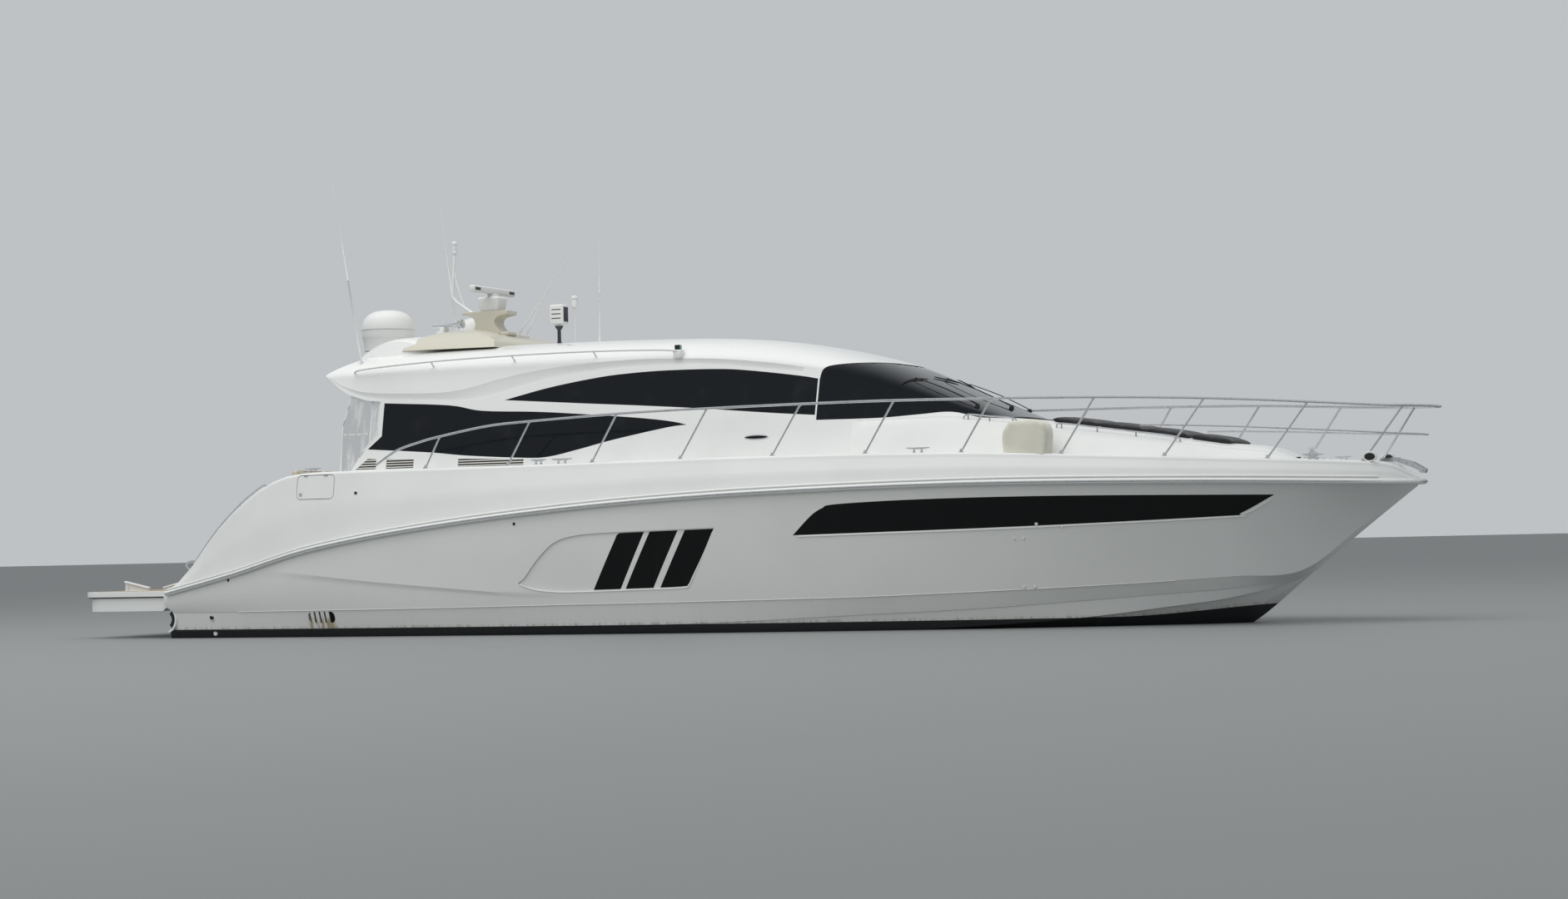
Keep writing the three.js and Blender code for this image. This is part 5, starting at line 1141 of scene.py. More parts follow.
class MakeArchGear(bpy.types.Operator):
    """Stands the beige arch, the radomes, the radar, the light mast and the horns on the hardtop"""
    bl_idname = "yacht.arch_gear"
    bl_label = "Radar arch and its gear"

    def execute(self, context):
        roof = house_form()
        bmesh.ops.translate(roof, vec=(0, 0, 0.0005), verts=roof.verts)
        arch = carve(thing("arch_moulding", cabin_form(ARCH, count=40)), outlined(ARCH_OUTLINE), operation="INTERSECT")
        dress(carve(arch, roof), "beige", replaces="radar_arch", smooth=30, bevel=0.012)
        seat = carve(thing("hardtop_seat", house_form()), outlined(HARDTOP_OUTLINE), operation="INTERSECT")
        fairing = carve(thing("arch_fairing", cabin_form(FAIRING, count=40)), spent(seat))
        dress(fairing, "gelcoat", smooth=30, bevel=0.012)
        make("large_radome", "dome", (turned, domed(0.365, 0.44, 0.12), (2.83, -0.9, 3.96), 64),
             replaces="satellite_dome", smooth=50)
        make("small_radome", "dome", (turned, domed(0.215, 0.3, 0.1), (3.33, 0.62, 4.06), 48), replaces="small_dome",
             smooth=50)
        self.stand_radar()
        self.stand_mast()
        self.mount_horns()
        return {"FINISHED"}

    def stand_radar(self):
        """The winged pedestal, its gearbox and the turning scanner bar."""
        wing = eased(((3.56, 4.38), (4.26, 4.38), (4.26, 4.325), (4.1, 4.29), (4.06, 4.2), (4.16, 4.06), (3.7, 4.06),
                      (3.76, 4.2), (3.7, 4.31), (3.56, 4.34)), (0, 1, 2, 5, 6, 9), 4)
        make("radar_wing", "beige", (slab, wing, 0, 0.145), (block, (3.7, -0.13, 4.03), (4.26, 0.13, 4.09), 0.02),
             replaces="radar_pedestal", bevel=0.012)
        gearbox = cuboid((3.79, -0.15, 4.372), (4.13, 0.15, 4.575))
        for vert in gearbox.verts:
            squeeze = 0.82 if vert.co.z < 4.4 else 1.0
            vert.co.x = 3.96 + (vert.co.x - 3.96) * squeeze
            vert.co.y *= squeeze
        rounded(gearbox, gearbox.edges[:], 0.035, 4)
        make("radar_gearbox", "plastic", gearbox,
             (turned, [(0, 0), (0.1, 0), (0.1, 0.016), (0.085, 0.03), (0, 0.03)], (3.96, 0, 4.57), 40), bevel=0.002)
        make("scanner_bar", "plastic", (block, (3.915, -0.6, 4.6155), (4.005, 0.6, 4.7095), 0.03, 5),
             (turned, [(0, 0), (0.088, 0), (0.088, 0.012), (0.07, 0.022), (0, 0.022)], (3.96, 0, 4.6008), 40),
             body="radar", replaces="radar_scanner", smooth=50)
        make("scanner_end_plates", "trim", *((block, (x, y - 0.075, 4.643), (x + 0.003, y + 0.075, 4.682), 0.001)
                                             for y in (-0.49, 0.49) for x in (4.0035, 3.9135)), body="radar")

    def stand_mast(self):
        """The bent mast that carries the all-round light, with its stay."""
        tube = bent(raised(((3.62, 4.375), (3.46, 4.48), (3.325, 4.59), (3.312, 4.72), (3.35, 5.225)), 0.06), 8)
        stay = bent(raised(((3.335, 4.98), (3.4, 4.72), (3.53, 4.375)), 0.06), 6)
        make("mast_tube", "gelcoat", (pipe, tube, 0.021, 14), (pipe, stay, 0.011, 10),
             (turned, [(0, 0), (0.05, 0), (0.05, 0.008), (0.03, 0.014), (0, 0.014)], (3.6, 0.06, 4.38), 24),
             (turned, [(0, 0), (0.037, 0), (0.037, 0.022), (0, 0.022)], (3.35, 0.06, 5.22), 24),
             (turned, [(0, 0), (0.037, 0), (0.037, 0.02), (0.028, 0.032), (0, 0.034)], (3.35, 0.06, 5.352), 24),
             replaces="light_mast", smooth=45)
        make("mast_light_lens", "clear_lens",
             (turned, [(0, 0), (0.034, 0), (0.0345, 0.02), (0.032, 0.026), (0.0345, 0.032), (0.0345, 0.06),
                       (0.032, 0.066), (0.0345, 0.072), (0.034, 0.11), (0, 0.11)], (3.35, 0.06, 5.242), 28), smooth=45)

    def mount_horns(self):
        """Twin trumpets on their compressor."""
        trumpets = []
        for y, tip, bell in ((-0.38, 3.7, 0.062), (-0.3, 3.6, 0.055)):
            long = tip - 3.23
            flare = [(0, 0), (0.017, 0), (0.019, 0.01), (0.013, 0.02), (0.014, long * 0.35), (0.019, long * 0.62),
                     (0.029, long * 0.82), (0.043, long * 0.94), (bell - 0.004, long * 0.99), (bell, long),
                     (bell - 0.005, long * 0.995), (0.034, long * 0.9), (0.014, long * 0.7), (0, long * 0.66)]
            trumpets.append((turned, flare, (3.23, y, 4.18), 32, (long, 0, 0.02)))
        make("horn_trumpets", "steel", *trumpets, replaces="horns", smooth=50)
        make("horn_compressor", "plastic", (block, (3.35, -0.42, 4.02), (3.42, -0.26, 4.17), 0.016, 3),
             (rod, (3.34, -0.34, 4.09), (3.28, -0.34, 4.09), 0.03, 20), bevel=0.002)


# Name, foot, tip, radius at the foot, radius of the boss and the node it stands for
WHIPS = (
    ("starboard_whip", (2.79, -1.56, 3.56), (2.41, -1.6, 6.088), 0.0135, 0.04, "whip_antenna_starboard"),
    ("port_whip", (2.9, 1.0, 3.68), (2.6, 1.04, 5.948), 0.0118, 0.034, "whip_antenna_port"),
    ("roof_whip", (5.56, 0.06, 3.83), (5.58, 0.06, 5.328), 0.0085, 0.028, "roof_antenna"),
    ("short_whip", (3.0, 0.4, 3.9), (3.0, 0.42, 4.86), 0.006, 0.02, ""),
)


class MakeAntennas(bpy.types.Operator):
    """Raises the whips, the rods, the searchlight and the small sensors on the roof"""
    bl_idname = "yacht.antennas"
    bl_label = "Antennas and sensors"

    def execute(self, context):
        for name, foot, tip, thick, boss, node in WHIPS:
            ferrule = [(0, -0.03), (boss, -0.03), (boss, 0.02), (boss * 0.75, 0.035), (boss * 0.6, 0.05),
                       (boss * 0.62, 0.105), (boss * 0.45, 0.125), (0, 0.127)]
            line = stretched((foot[0], foot[1], foot[2] + 0.1), tip,
                             (0, 0.06, 0.062, 0.45, 0.452, 0.46, 0.462, 0.8, 0.995, 1))
            make(name, "plastic", (turned, ferrule, foot, 20),
                 (pipe, line, [thick * k for k in (1.25, 1.25, 1, 0.85, 1.15, 1.15, 0.75, 0.55, 0.42, 0.2)], 10),
                 replaces=node, smooth=50)
        make("outrigger_rods", "plastic", (block, (4.185, 0.18, 3.97), (4.255, 0.52, 4.07), 0.02, 3),
             *((pipe, stretched(start, tip, (0, 0.12, 0.125, 0.6, 1)), [0.013, 0.013, 0.009, 0.007, 0.0045], 10)
               for start, tip in (((4.23, 0.22, 4.055), (5.04, 0.22, 5.1)), ((4.21, 0.48, 4.055), (4.9, 0.48, 5.26)))),
             replaces="rod_antennas", smooth=45)
        self.stand_searchlight()
        return {"FINISHED"}

    def stand_searchlight(self):
        """The white searchlight on its dark pivot and the sensor on its thin pole."""
        cap = [(0, 0), (0.03, 0), (0.044, 0.012), (0.044, 0.1), (0.036, 0.118), (0.05, 0.124), (0.05, 0.14),
               (0.03, 0.165), (0, 0.168)]
        make("searchlight_case", "plastic", (block, (4.87, 0.115, 3.825), (5.13, 0.275, 3.888), 0.02, 3),
             (block, (4.795, 0.065, 4.165), (5.005, 0.235, 4.437), 0.028, 4),
             (rod, (5.1, 0.24, 3.88), (5.1, 0.24, 4.4), 0.011, 14), (turned, cap, (5.1, 0.24, 4.39), 28),
             replaces="roof_sensors", smooth=45)
        pivot = [(0, 0), (0.05, 0), (0.05, 0.02), (0.026, 0.04), (0.024, 0.2), (0.045, 0.23), (0.06, 0.262), (0, 0.262)]
        make("searchlight_pivot", "trim", (turned, pivot, (4.9, 0.15, 3.885), 28),
             (block, (5.0045, 0.085, 4.2), (5.0095, 0.215, 4.4), 0.001),
             *((block, (4.83, 0.0625, z), (4.97, 0.066, z + 0.012)) for z in (4.24, 4.3, 4.36)), bevel=0.001)


ROOF_RAIL = ((2.81, 1.765, 3.49), (2.96, 1.8, 3.545), (3.98, 1.8, 3.605), (5.17, 1.78, 3.635), (6.33, 1.725, 3.64),
             (7.39, 1.66, 3.61), (7.5, 1.6, 3.54))
# The guard rail's height and how far it stands in from the rub rail
GUARD_RAIL = Lines("x z in", (
    (3.38, 2.25, 0.17), (3.7, 2.43, 0.165), (4.03, 2.525, 0.16), (4.37, 2.595, 0.155), (5.05, 2.7, 0.15),
    (5.66, 2.74, 0.15), (6.91, 2.79, 0.145), (8.15, 2.812, 0.14), (9.39, 2.822, 0.135), (10.59, 2.822, 0.13),
    (11.79, 2.805, 0.125), (13.01, 2.78, 0.12), (14.26, 2.735, 0.105), (15.4, 2.665, 0.09), (16.2, 2.61, 0.06)))
BOW_RAIL = ((16.56, 0.33, 2.6), (16.78, 0.21, 2.59), (16.86, 0.0004, 2.585))
# Where each stanchion's foot and head stand along the boat
STANCHIONS = ((4.13, 4.36), (5.34, 5.68), (6.55, 6.92), (7.78, 8.17), (9.02, 9.42), (10.23, 10.62), (11.43, 11.82),
              (12.63, 13.04), (13.82, 14.3), (14.98, 15.45), (16.02, 16.48))
FOOT_IN, MID_DROP = 0.175, 0.33
MID_RAIL = (13.56, 14.04, 14.6, 15.18, 15.9)
MID_BOW = ((16.38, 0.36, 2.27), (16.64, 0.19, 2.255), (16.7, 0.0004, 2.25))


def on_guard(x, sign, inward=0.0, drop=0.0):
    """A place on the guard rail's top tube, or inward of it and below."""
    return x, sign * (HULL("rub_y", x) - GUARD_RAIL("in", x) - inward), GUARD_RAIL("z", x) - drop


def on_side(points, sign):
    """Places given to port, on the side of the sign."""
    return [(x, sign * y, z) for x, y, z in points]


class MakeRails(bpy.types.Operator):
    """Bends the guard rails, the roof rails and the handrails on the trunk and the stern"""
    bl_idname = "yacht.rails"
    bl_label = "Rails"

    def execute(self, context):
        rails = context.scene.yacht_rails
        for word, sign in SIDES:
            make("stainless_guard_" + word, "steel", *self.guard(sign, rails.top, rails.post),
                 replaces="guard_rail_" + word, smooth=50)
            make("roof_rail_" + word, "gelcoat", (pipe, bent(on_side(ROOF_RAIL, sign), 8), 0.0145, 12),
                 *((rod, (x, sign * y, z), (x, sign * (y - 0.13), z - 0.09), 0.011) for x, y, z in ROOF_RAIL[2:5]),
                 replaces="roof_handrail_" + word, smooth=50)
            self.grab_rails(word, sign)
        return {"FINISHED"}

    def guard(self, sign, radius, post):
        """One side of the guard rail, with the mid rail at the bow and the raked stanchions."""
        top = [on_guard(row[0], sign) for row in GUARD_RAIL.rows]
        middle = [on_guard(x, sign, 0.03, MID_DROP) for x in MID_RAIL]
        parts = [(pipe, bent(top + on_side(BOW_RAIL, sign), 6), radius, 14),
                 (pipe, bent(middle + on_side(MID_BOW, sign), 6), 0.0105, 12)]
        socket = [(0, -0.004), (0.036, -0.004), (0.036, 0.003), (0.03, 0.007), (0.021, 0.009), (0.019, 0.034),
                  (0.0135, 0.038), (0, 0.038)]
        for foot_x, top_x in STANCHIONS:
            foot = Vector((foot_x - 0.004, sign * (HULL("rub_y", foot_x) - FOOT_IN), DECK("edge", foot_x) + 0.002))
            head = Vector(on_guard(top_x, sign) if top_x < 16.2 else (16.48, sign * 0.365, 2.603))
            parts += [(rod, foot, head, post), (turned, socket, foot, 20, (0.05, 0, 1)),
                      (rod, head - (head - foot).normalized() * 0.034, head, 0.016)]
        return parts

    def grab_rails(self, word, sign):
        """Low grab rails on the edge of the foredeck trunk, and one up the stern stairs."""
        parts = []
        for places in ((11.3, 11.36, 11.62, 11.9, 11.96), (12.42, 12.48, 12.9, 13.35, 13.8, 13.86)):
            line = [(x, sign * (TRUNK("side_y", x) - 0.02),
                     TRUNK("side", x) + (0.02 if x in (places[0], places[-1]) else 0.075)) for x in places]
            parts += [(pipe, bent(line, 5), 0.0105, 10),
                      *((rod, (x, y, z), (x, y - sign * 0.004, z - 0.075), 0.0095) for x, y, z in line[1:-1])]
        make("trunk_rail_" + word, "steel", *parts, smooth=50)
        line = [(x, sign * (HULL("rub_y", x) - DECK("inset", x) - 0.1), DECK("edge", x) + lift)
                for x, lift in ((0.42, -0.005), (0.46, 0.05), (0.8, 0.055), (1.2, 0.055), (1.56, 0.05), (1.62, -0.005))]
        make("stair_handrail_" + word, "steel", (pipe, bent(line, 6), 0.0125, 12),
             *((rod, (x, y, z), (x + 0.01, y, z - 0.075), 0.0095) for x, y, z in line[2:4]), smooth=50)


def whole_plan(starboard, shrink=1.0, shift=0.0, narrow=1.0):
    """The starboard half of a plan outline with its mirror image, as one closed list."""
    plan = list(starboard) + [(x, -y) for x, y in reversed(starboard)]
    return [(x * shrink + shift, y * narrow) for x, y in plan]


PLATFORM_PLAN = ((-0.07, -1.96), (-1.25, -1.96), (-1.36, -1.935), (-1.42, -1.9), (-1.475, -1.84), (-1.5, -1.76))
PLATFORM_BODY = ((-0.09, -1.92), (-1.23, -1.92), (-1.38, -1.86), (-1.45, -1.73))
TEAK_PLAN = ((-0.13, -1.86), (-1.2, -1.86), (-1.35, -1.8), (-1.42, -1.68))
NOTCH = (-0.045, 0.255, 0.178)
ARM_Y, ARM_FOOT, ARM_TIP = 0.76, (-0.06, -0.4), (-0.55, 0.3)
# Each tender chock's middle and the heights of its aft and its forward end above the platform
CHOCKS = ((-1.06, 0.14, 0.05), (-0.42, 0.05, 0.14))


class MakePlatform(bpy.types.Operator):
    """Makes the swim platform with its chocks, its lift arms and the round notch at the stern"""
    bl_idname = "yacht.platform"
    bl_label = "Swim platform"

    def execute(self, context):
        slab_piece = thing("platform_slab", prism(whole_plan(PLATFORM_PLAN), 0.567, PLATFORM_TOP, "Z"))
        carve(slab_piece, cuboid((-1.3, -0.6, 0.625), (-1.0, 0.6, 0.7), 0.02))
        dress(slab_piece, "gelcoat", body="swim_platform", replaces="swim_platform", bevel=0.018)
        under = carve(thing("platform_body", prism(whole_plan(PLATFORM_BODY), 0.37, 0.556, "Z")), notch_bore())
        dress(under, "gelcoat", body="swim_platform", bevel=0.02)
        # A dark band under the slab's edge, which stands both for a black trim line and for painted shade in the gap
        # under the overhang.
        lip = whole_plan(PLATFORM_PLAN, 0.996, -0.002, 0.99)
        make("platform_lip", "trim", prism(lip, 0.553, 0.57, "Z"), body="swim_platform")
        make("platform_teak", "teak", prism(whole_plan(TEAK_PLAN), 0.6385, 0.6425, "Z"), body="swim_platform",
             bevel=0.001)
        self.stand_chocks()
        self.hang_arms()
        self.line_and_shade_notches()
        return {"FINISHED"}

    def stand_chocks(self):
        """Wedge-shaped chocks for a tender: a sloping pad on a web and a foot."""
        web, pad = [], []
        base = PLATFORM_TOP - 0.008
        for y in (-1.25, 1.25):
            for x, aft, fore in CHOCKS:
                back, front, low, high = x - 0.195, x + 0.195, base + aft, base + fore
                web += [(slab, [(back, base), (front, base), (front, high - 0.012), (back, low - 0.012)], y, 0.009),
                        (block, (back, y - 0.034, base), (front, y + 0.034, base + 0.016), 0.005),
                        *((rod, (end, y + side * 0.022, base), (end, y + side * 0.006, base + lift * 0.7), 0.008)
                          for end, lift in ((back + 0.05, aft), (front - 0.05, fore)) for side in (-1, 1))]
                back, front = back - 0.004, front + 0.004
                pad.append((slab, [(back, low - 0.013), (front, high - 0.013), (front, high + 0.009),
                                   (back, low + 0.009)], y, 0.034))
        make("chock_webs", "plastic", *web, body="swim_platform", bevel=0.002)
        make("chock_pads", "gelcoat", *pad, body="swim_platform", bevel=0.006)

    def hang_arms(self):
        """The lift arms with their hubs, pins and cross tube, the lugs they carry and the handles by them."""
        x, z = ARM_TIP
        lugs = thing("platform_lugs", formed(
            *((block, (x - 0.06, y - 0.0165, 0.245), (x + 0.06, y + 0.0165, 0.38), 0.014)
              for y in (side * ARM_Y + gap for _, side in SIDES for gap in (-0.0575, 0.0575)))))
        carve(lugs, formed((cross_rod, x, z, ARM_Y - 0.1, ARM_Y + 0.1, 0.0235)))
        dress(lugs, "antifouled", body="swim_platform", bevel=0.002)
        handle = ((0.43, 0.92), (0.25, 0.92), (0.17, 0.96), (0.17, 1.0), (0.25, 1.04), (0.53, 1.04))
        make("stern_grab_handles", "steel", *((pipe, bent(raised(handle, sign * 1.86), 5), 0.014, 12)
                                              for _, sign in SIDES), smooth=60)
        arms = thing("lift_arms", formed(
            *((rod, (ARM_FOOT[0], y, ARM_FOOT[1]), (x, y, z), 0.034, 20) for y in (-ARM_Y, ARM_Y)),
            (cross_rod, *ARM_FOOT, ARM_Y - 0.03, ARM_Y + 0.03, 0.05, 28),
            (cross_rod, x, z, ARM_Y - 0.03, ARM_Y + 0.03, 0.048, 28),
            (cross_rod, x, z, ARM_Y - 0.09, ARM_Y + 0.09, 0.0215),
            (rod, (-0.175, -ARM_Y, -0.23), (-0.175, ARM_Y, -0.23), 0.025, 18)))
        carve(arms, formed((cross_rod, *ARM_FOOT, ARM_Y - 0.07, ARM_Y + 0.07, 0.0235)))
        dress(arms, "dark_metal", body="platform_arms", replaces="platform_arms", bevel=0.002)

    def line_and_shade_notches(self):
        """The black lining of the round notches at the stern's corners, painted shade in their hollow, and their pale
        rim.
        """
        x, z, radius = NOTCH
        arc = [radians(-86 + 172 * k / 20) for k in range(21)]

        def hoop(bm, sign, inner, outer, near, far):
            ringed(bm, [[(x + 0.002 + r * cos(a), sign * y, z + r * sin(a))
                         for r, y in ((outer, near), (outer, far), (inner, far), (inner, near))]
                        for a in arc if x + inner * cos(a) > 0.002])

        # Black hoops inside each notch: painted shade of its hollow; the flat ring at its mouth stands both for a black
        # trim and for that shade.
        make("notch_shade_liner", "rubber", *both(hoop, radius - 0.009, radius - 0.003, 1.78, 2.03),
             *both(hoop, radius - 0.085, radius - 0.003, 2.031, 2.06))
        make("notch_rim", "gelcoat", *both(hoop, radius - 0.01, radius + 0.016, 2.064, 2.1), slot="hull_gelcoat",
             bevel=0.003)


# Fittings on the hull's sides: x and z of each, and its radius
DARK_FITTINGS = (((0.74, 0.28), 0.036), ((1.1, 0.775), 0.02), ((3.12, 1.89), 0.022), ((5.5, 1.43), 0.02))
PALE_FITTINGS = (((0.745, 0.06), 0.032), ((12.02, 1.1), 0.016), ((12.13, 1.1), 0.016), ((12.06, 0.51), 0.02),
                 ((12.19, 0.51), 0.02), ((12.3, 1.27), 0.02), ((12.6, 1.235), 0.02))
EXHAUST = (2.29, 2.7, 0.19, 0.338)


def stud(bm, sign, place, radius, height):
    """A round fitting on the boat's side, at a place given in side view."""
    x, z = place
    turned(bm, [(0, -0.02), (radius, -0.02), (radius, height * 0.5), (radius * 0.8, height), (0, height)],
           (x, sign * hull_side(x, z), z), 20, (0, sign, 0))


def collar(bm, sign, place, radius):
    """A pale ring round a dark fitting."""
    x, z = place
    turned(bm, [(radius * 0.98, -0.01), (radius * 1.35, -0.01), (radius * 1.3, 0.005), (radius * 1.02, 0.007),
                (radius * 0.98, -0.01)], (x, sign * hull_side(x, z), z), 24, (0, sign, 0))


class MakeHullFittings(bpy.types.Operator):
    """Sets the exhaust grilles, the skin fittings and the moulded spray line into the hull's sides"""
    bl_idname = "yacht.hull_fittings"
    bl_label = "Hull fittings"

    def execute(self, context):
        aft, fore, low, high = EXHAUST
        ribs = formed(*((block, (x, -3, low - 0.005), (x + 0.054, 3, high + 0.005))
                        for x in (2.328 + 0.078 * k for k in range(4))))
        dress(thing("exhaust_grilles", wall(hull_form, ribs, -0.003, 0.018)), "hull", smooth=30, bevel=0.006)
        # A black plate behind the grille's ribs: painted shade in the exhaust openings.
        make("exhaust_shade_backs", "rubber",
             *both(side_block, (aft + 0.001, 2.1005, low + 0.001), (fore - 0.001, 2.106, high - 0.001)))
        make("skin_fittings_dark", "rubber", *(part for row in DARK_FITTINGS for part in both(stud, *row, 0.004)),
             smooth=40)
        make("skin_fittings_pale", "plastic", *(part for row in PALE_FITTINGS for part in both(stud, *row, 0.012)),
             *(part for row in DARK_FITTINGS for part in both(collar, *row)), smooth=40)
        places = [1.2 + 12.6 * k / 90 for k in range(91)]
        make("knuckle_line", "hull",
             *((pipe, [(x, sign * (HULL("knuckle_y", x) - 0.001), HULL("knuckle", x) - 0.003) for x in places],
                0.0055, 6) for _, sign in SIDES), smooth=70)
        return {"FINISHED"}


SIDE_CREASE = Lines("x z", (
    (2.38, 3.47), (2.59, 3.35), (2.86, 3.26), (3.13, 3.22), (3.66, 3.195), (4.19, 3.19), (4.53, 3.23), (4.98, 3.33),
    (5.49, 3.42), (6.09, 3.48), (6.79, 3.51), (7.3, 3.505), (8.06, 3.47), (8.8, 3.385), (9.21, 3.31)))
SIDE_GROOVE = Lines("x z", (
    (2.38, 3.462), (2.63, 3.3), (2.88, 3.195), (3.22, 3.135), (3.9, 3.09), (4.51, 3.065), (4.97, 3.13), (5.49, 3.26),
    (6.0, 3.355), (6.79, 3.42), (7.4, 3.427), (8.0, 3.4), (8.6, 3.33), (9.21, 3.262)))
BAND_PLACES = [2.4 + 6.78 * k / 90 for k in range(91)]
VENTS = (((2.92, 2.205), (3.1, 2.345), (3.235, 2.335), (3.235, 2.205)),
         ((3.385, 2.335), (3.8, 2.315), (3.8, 2.205), (3.385, 2.205)),
         ((4.46, 2.305), (5.42, 2.27), (5.42, 2.19), (4.46, 2.2)))


def side_band_region():
    """The outline of the hardtop's side hollow, between its crease and its groove."""
    return ([(x, SIDE_CREASE("z", x)) for x in BAND_PLACES]
            + [(x, SIDE_GROOVE("z", x)) for x in reversed(BAND_PLACES)])


def oval(x, z, half_length, half_height, count=32):
    return [(x + half_length * cos(a), z + half_height * sin(a)) for a in around(count)]


class MakeHouseTrim(bpy.types.Operator):
    """Lays the hollow bands along the hardtop, the louvres in the coaming, the portlights and the side lights"""
    bl_idname = "yacht.house_trim"
    bl_label = "Deckhouse trim"

    def execute(self, context):
        make("hardtop_side_bands", "gelcoat", *((ringed, [self.band_section(x, sign) for x in BAND_PLACES])
                                                for _, sign in SIDES), smooth=24)
        slats = []
        for outline in VENTS:
            for k in range(4):
                z = min(z for _, z in outline) + 0.012 + k * 0.033
                slat = thing("slat", wall(house_form, prism(outline), 0.001, 0.022))
                slats.append(spent(carve(slat, cuboid((2, -3, z), (6, 3, z + 0.012)), operation="INTERSECT")))
        make("vent_louvres", "plastic", *slats, bevel=0.002)
        make("vent_shadows", "louvre_dark", *(wall(house_form, prism(outline), 0.026, 0.032) for outline in VENTS))
        port, hole = oval(8.63, 2.448, 0.16, 0.03), oval(8.63, 2.448, 0.146, 0.019)
        dress(thing("portlight_rims", wall(house_form, prism(port), -0.005, 0.01, prism(hole))), "steel", bevel=0.002)
        dress(thing("portlight_panes", wall(house_form, prism(hole), -0.001, 0.01)), "pane")
        x, y, z = 7.49, house_side(7.49, 3.4) - 0.04, 3.64
        for word, sign, lens in (("port", 1, "red_lens"), ("starboard", -1, "green_lens")):
            make("side_light_" + word, lens, (side_block, sign, (x + 0.028, y - 0.01, z - 0.026),
                                              (x + 0.046, y + 0.0305, z + 0.026), 0.008, 3))
        make("side_light_cases", "rubber", *both(side_block, (x - 0.045, y - 0.03, z - 0.035),
                                                 (x + 0.03, y + 0.03, z + 0.035), 0.008), bevel=0.001)
        make("side_light_pads", "gelcoat", *both(side_block, (x - 0.06, y - 0.05, 3.5),
                                                 (x + 0.06, y + 0.05, z - 0.028), 0.01), bevel=0.004)
        return {"FINISHED"}

    def band_section(self, x, sign):
        """The section of the hollow: a crisp crease above, and a slope that falls back to the groove."""
        high, low = SIDE_CREASE("z", x), SIDE_GROOVE("z", x)
        top, foot, deep = house_side(x, high), house_side(x, low), high - low
        lean = 0.034 * min(deep / 0.1, 1)
        return [(x, sign * y, z) for y, z in (
            (top + 0.0015, high + 0.001), (top - 0.002, high - deep * 0.12),
            (top + (foot - top) * 0.6 - lean * 0.55, high - deep * 0.6), (foot - lean, low), (foot - 0.05, low),
            (top - 0.05, high))]


def on_cabin(lines, x, y, lift=0.0):
    """A place on a cabin's top or side, or a little above it."""
    section = cabin_section(lines, x)
    for (ya, za), (yb, zb) in zip(section[1:], section[2:]):
        if yb <= abs(y) <= ya:
            return x, y, za + (zb - za) * (ya - abs(y)) / max(ya - yb, 1e-6) + lift
    return x, y, section[-1][1] + lift


def on_deck(x, y, lift=0.0):
    share = 1 - abs(y) / max(HULL("rub_y", x) - DECK("inset", x), 0.1)
    return x, y, DECK("edge", x) + DECK("crown", x) * max(share, 0) + lift


def hinge(bm, place, size=0.03):
    """A barrel hinge with its two leaves, lying flat across the boat."""
    x, y, z = place
    rod(bm, (x, y - size, z), (x, y + size, z), size * 0.22)
    block(bm, (x - size * 0.75, y - size * 0.9, z - size * 0.16), (x + size * 0.75, y + size * 0.9, z - size * 0.02),
          size * 0.05)


def cleat(bm, sign, x, y, length=0.26):
    """A horn cleat on the deck: two posts under a bar that tapers to its ends."""
    turn = -sign * atan2(HULL("rub_y", x) - HULL("rub_y", x + 0.2), 0.2)
    ahead = Vector((cos(turn), sin(turn), 0)) * length
    foot = Vector(on_deck(x, sign * y, 0.0005))
    post = [(0, -0.004), (0.026, -0.004), (0.026, 0.004), (0.016, 0.01), (0.011, 0.03), (0.013, 0.05), (0, 0.05)]
    for share in (-0.16, 0.16):
        turned(bm, post, foot + ahead * share, 16)
    pipe(bm, [foot + Vector((0, 0, lift)) + ahead * share for share, lift in (
        (-0.5, 0.058), (-0.42, 0.056), (-0.2, 0.05), (0.2, 0.05), (0.42, 0.056), (0.5, 0.058))],
         [0.005, 0.009, 0.014, 0.014, 0.009, 0.005], 12)


def teak_panel(name, x0, x1, y0, y1, z, body="boat", cuts=()):
    """A thin teak-laid panel just above a surface."""
    piece = thing(name, cuboid((x0, y0, z + 0.0004), (x1, y1, z + 0.0034)))
    return dress(carve(piece, *cuts), "teak", body=body, bevel=0.0008)


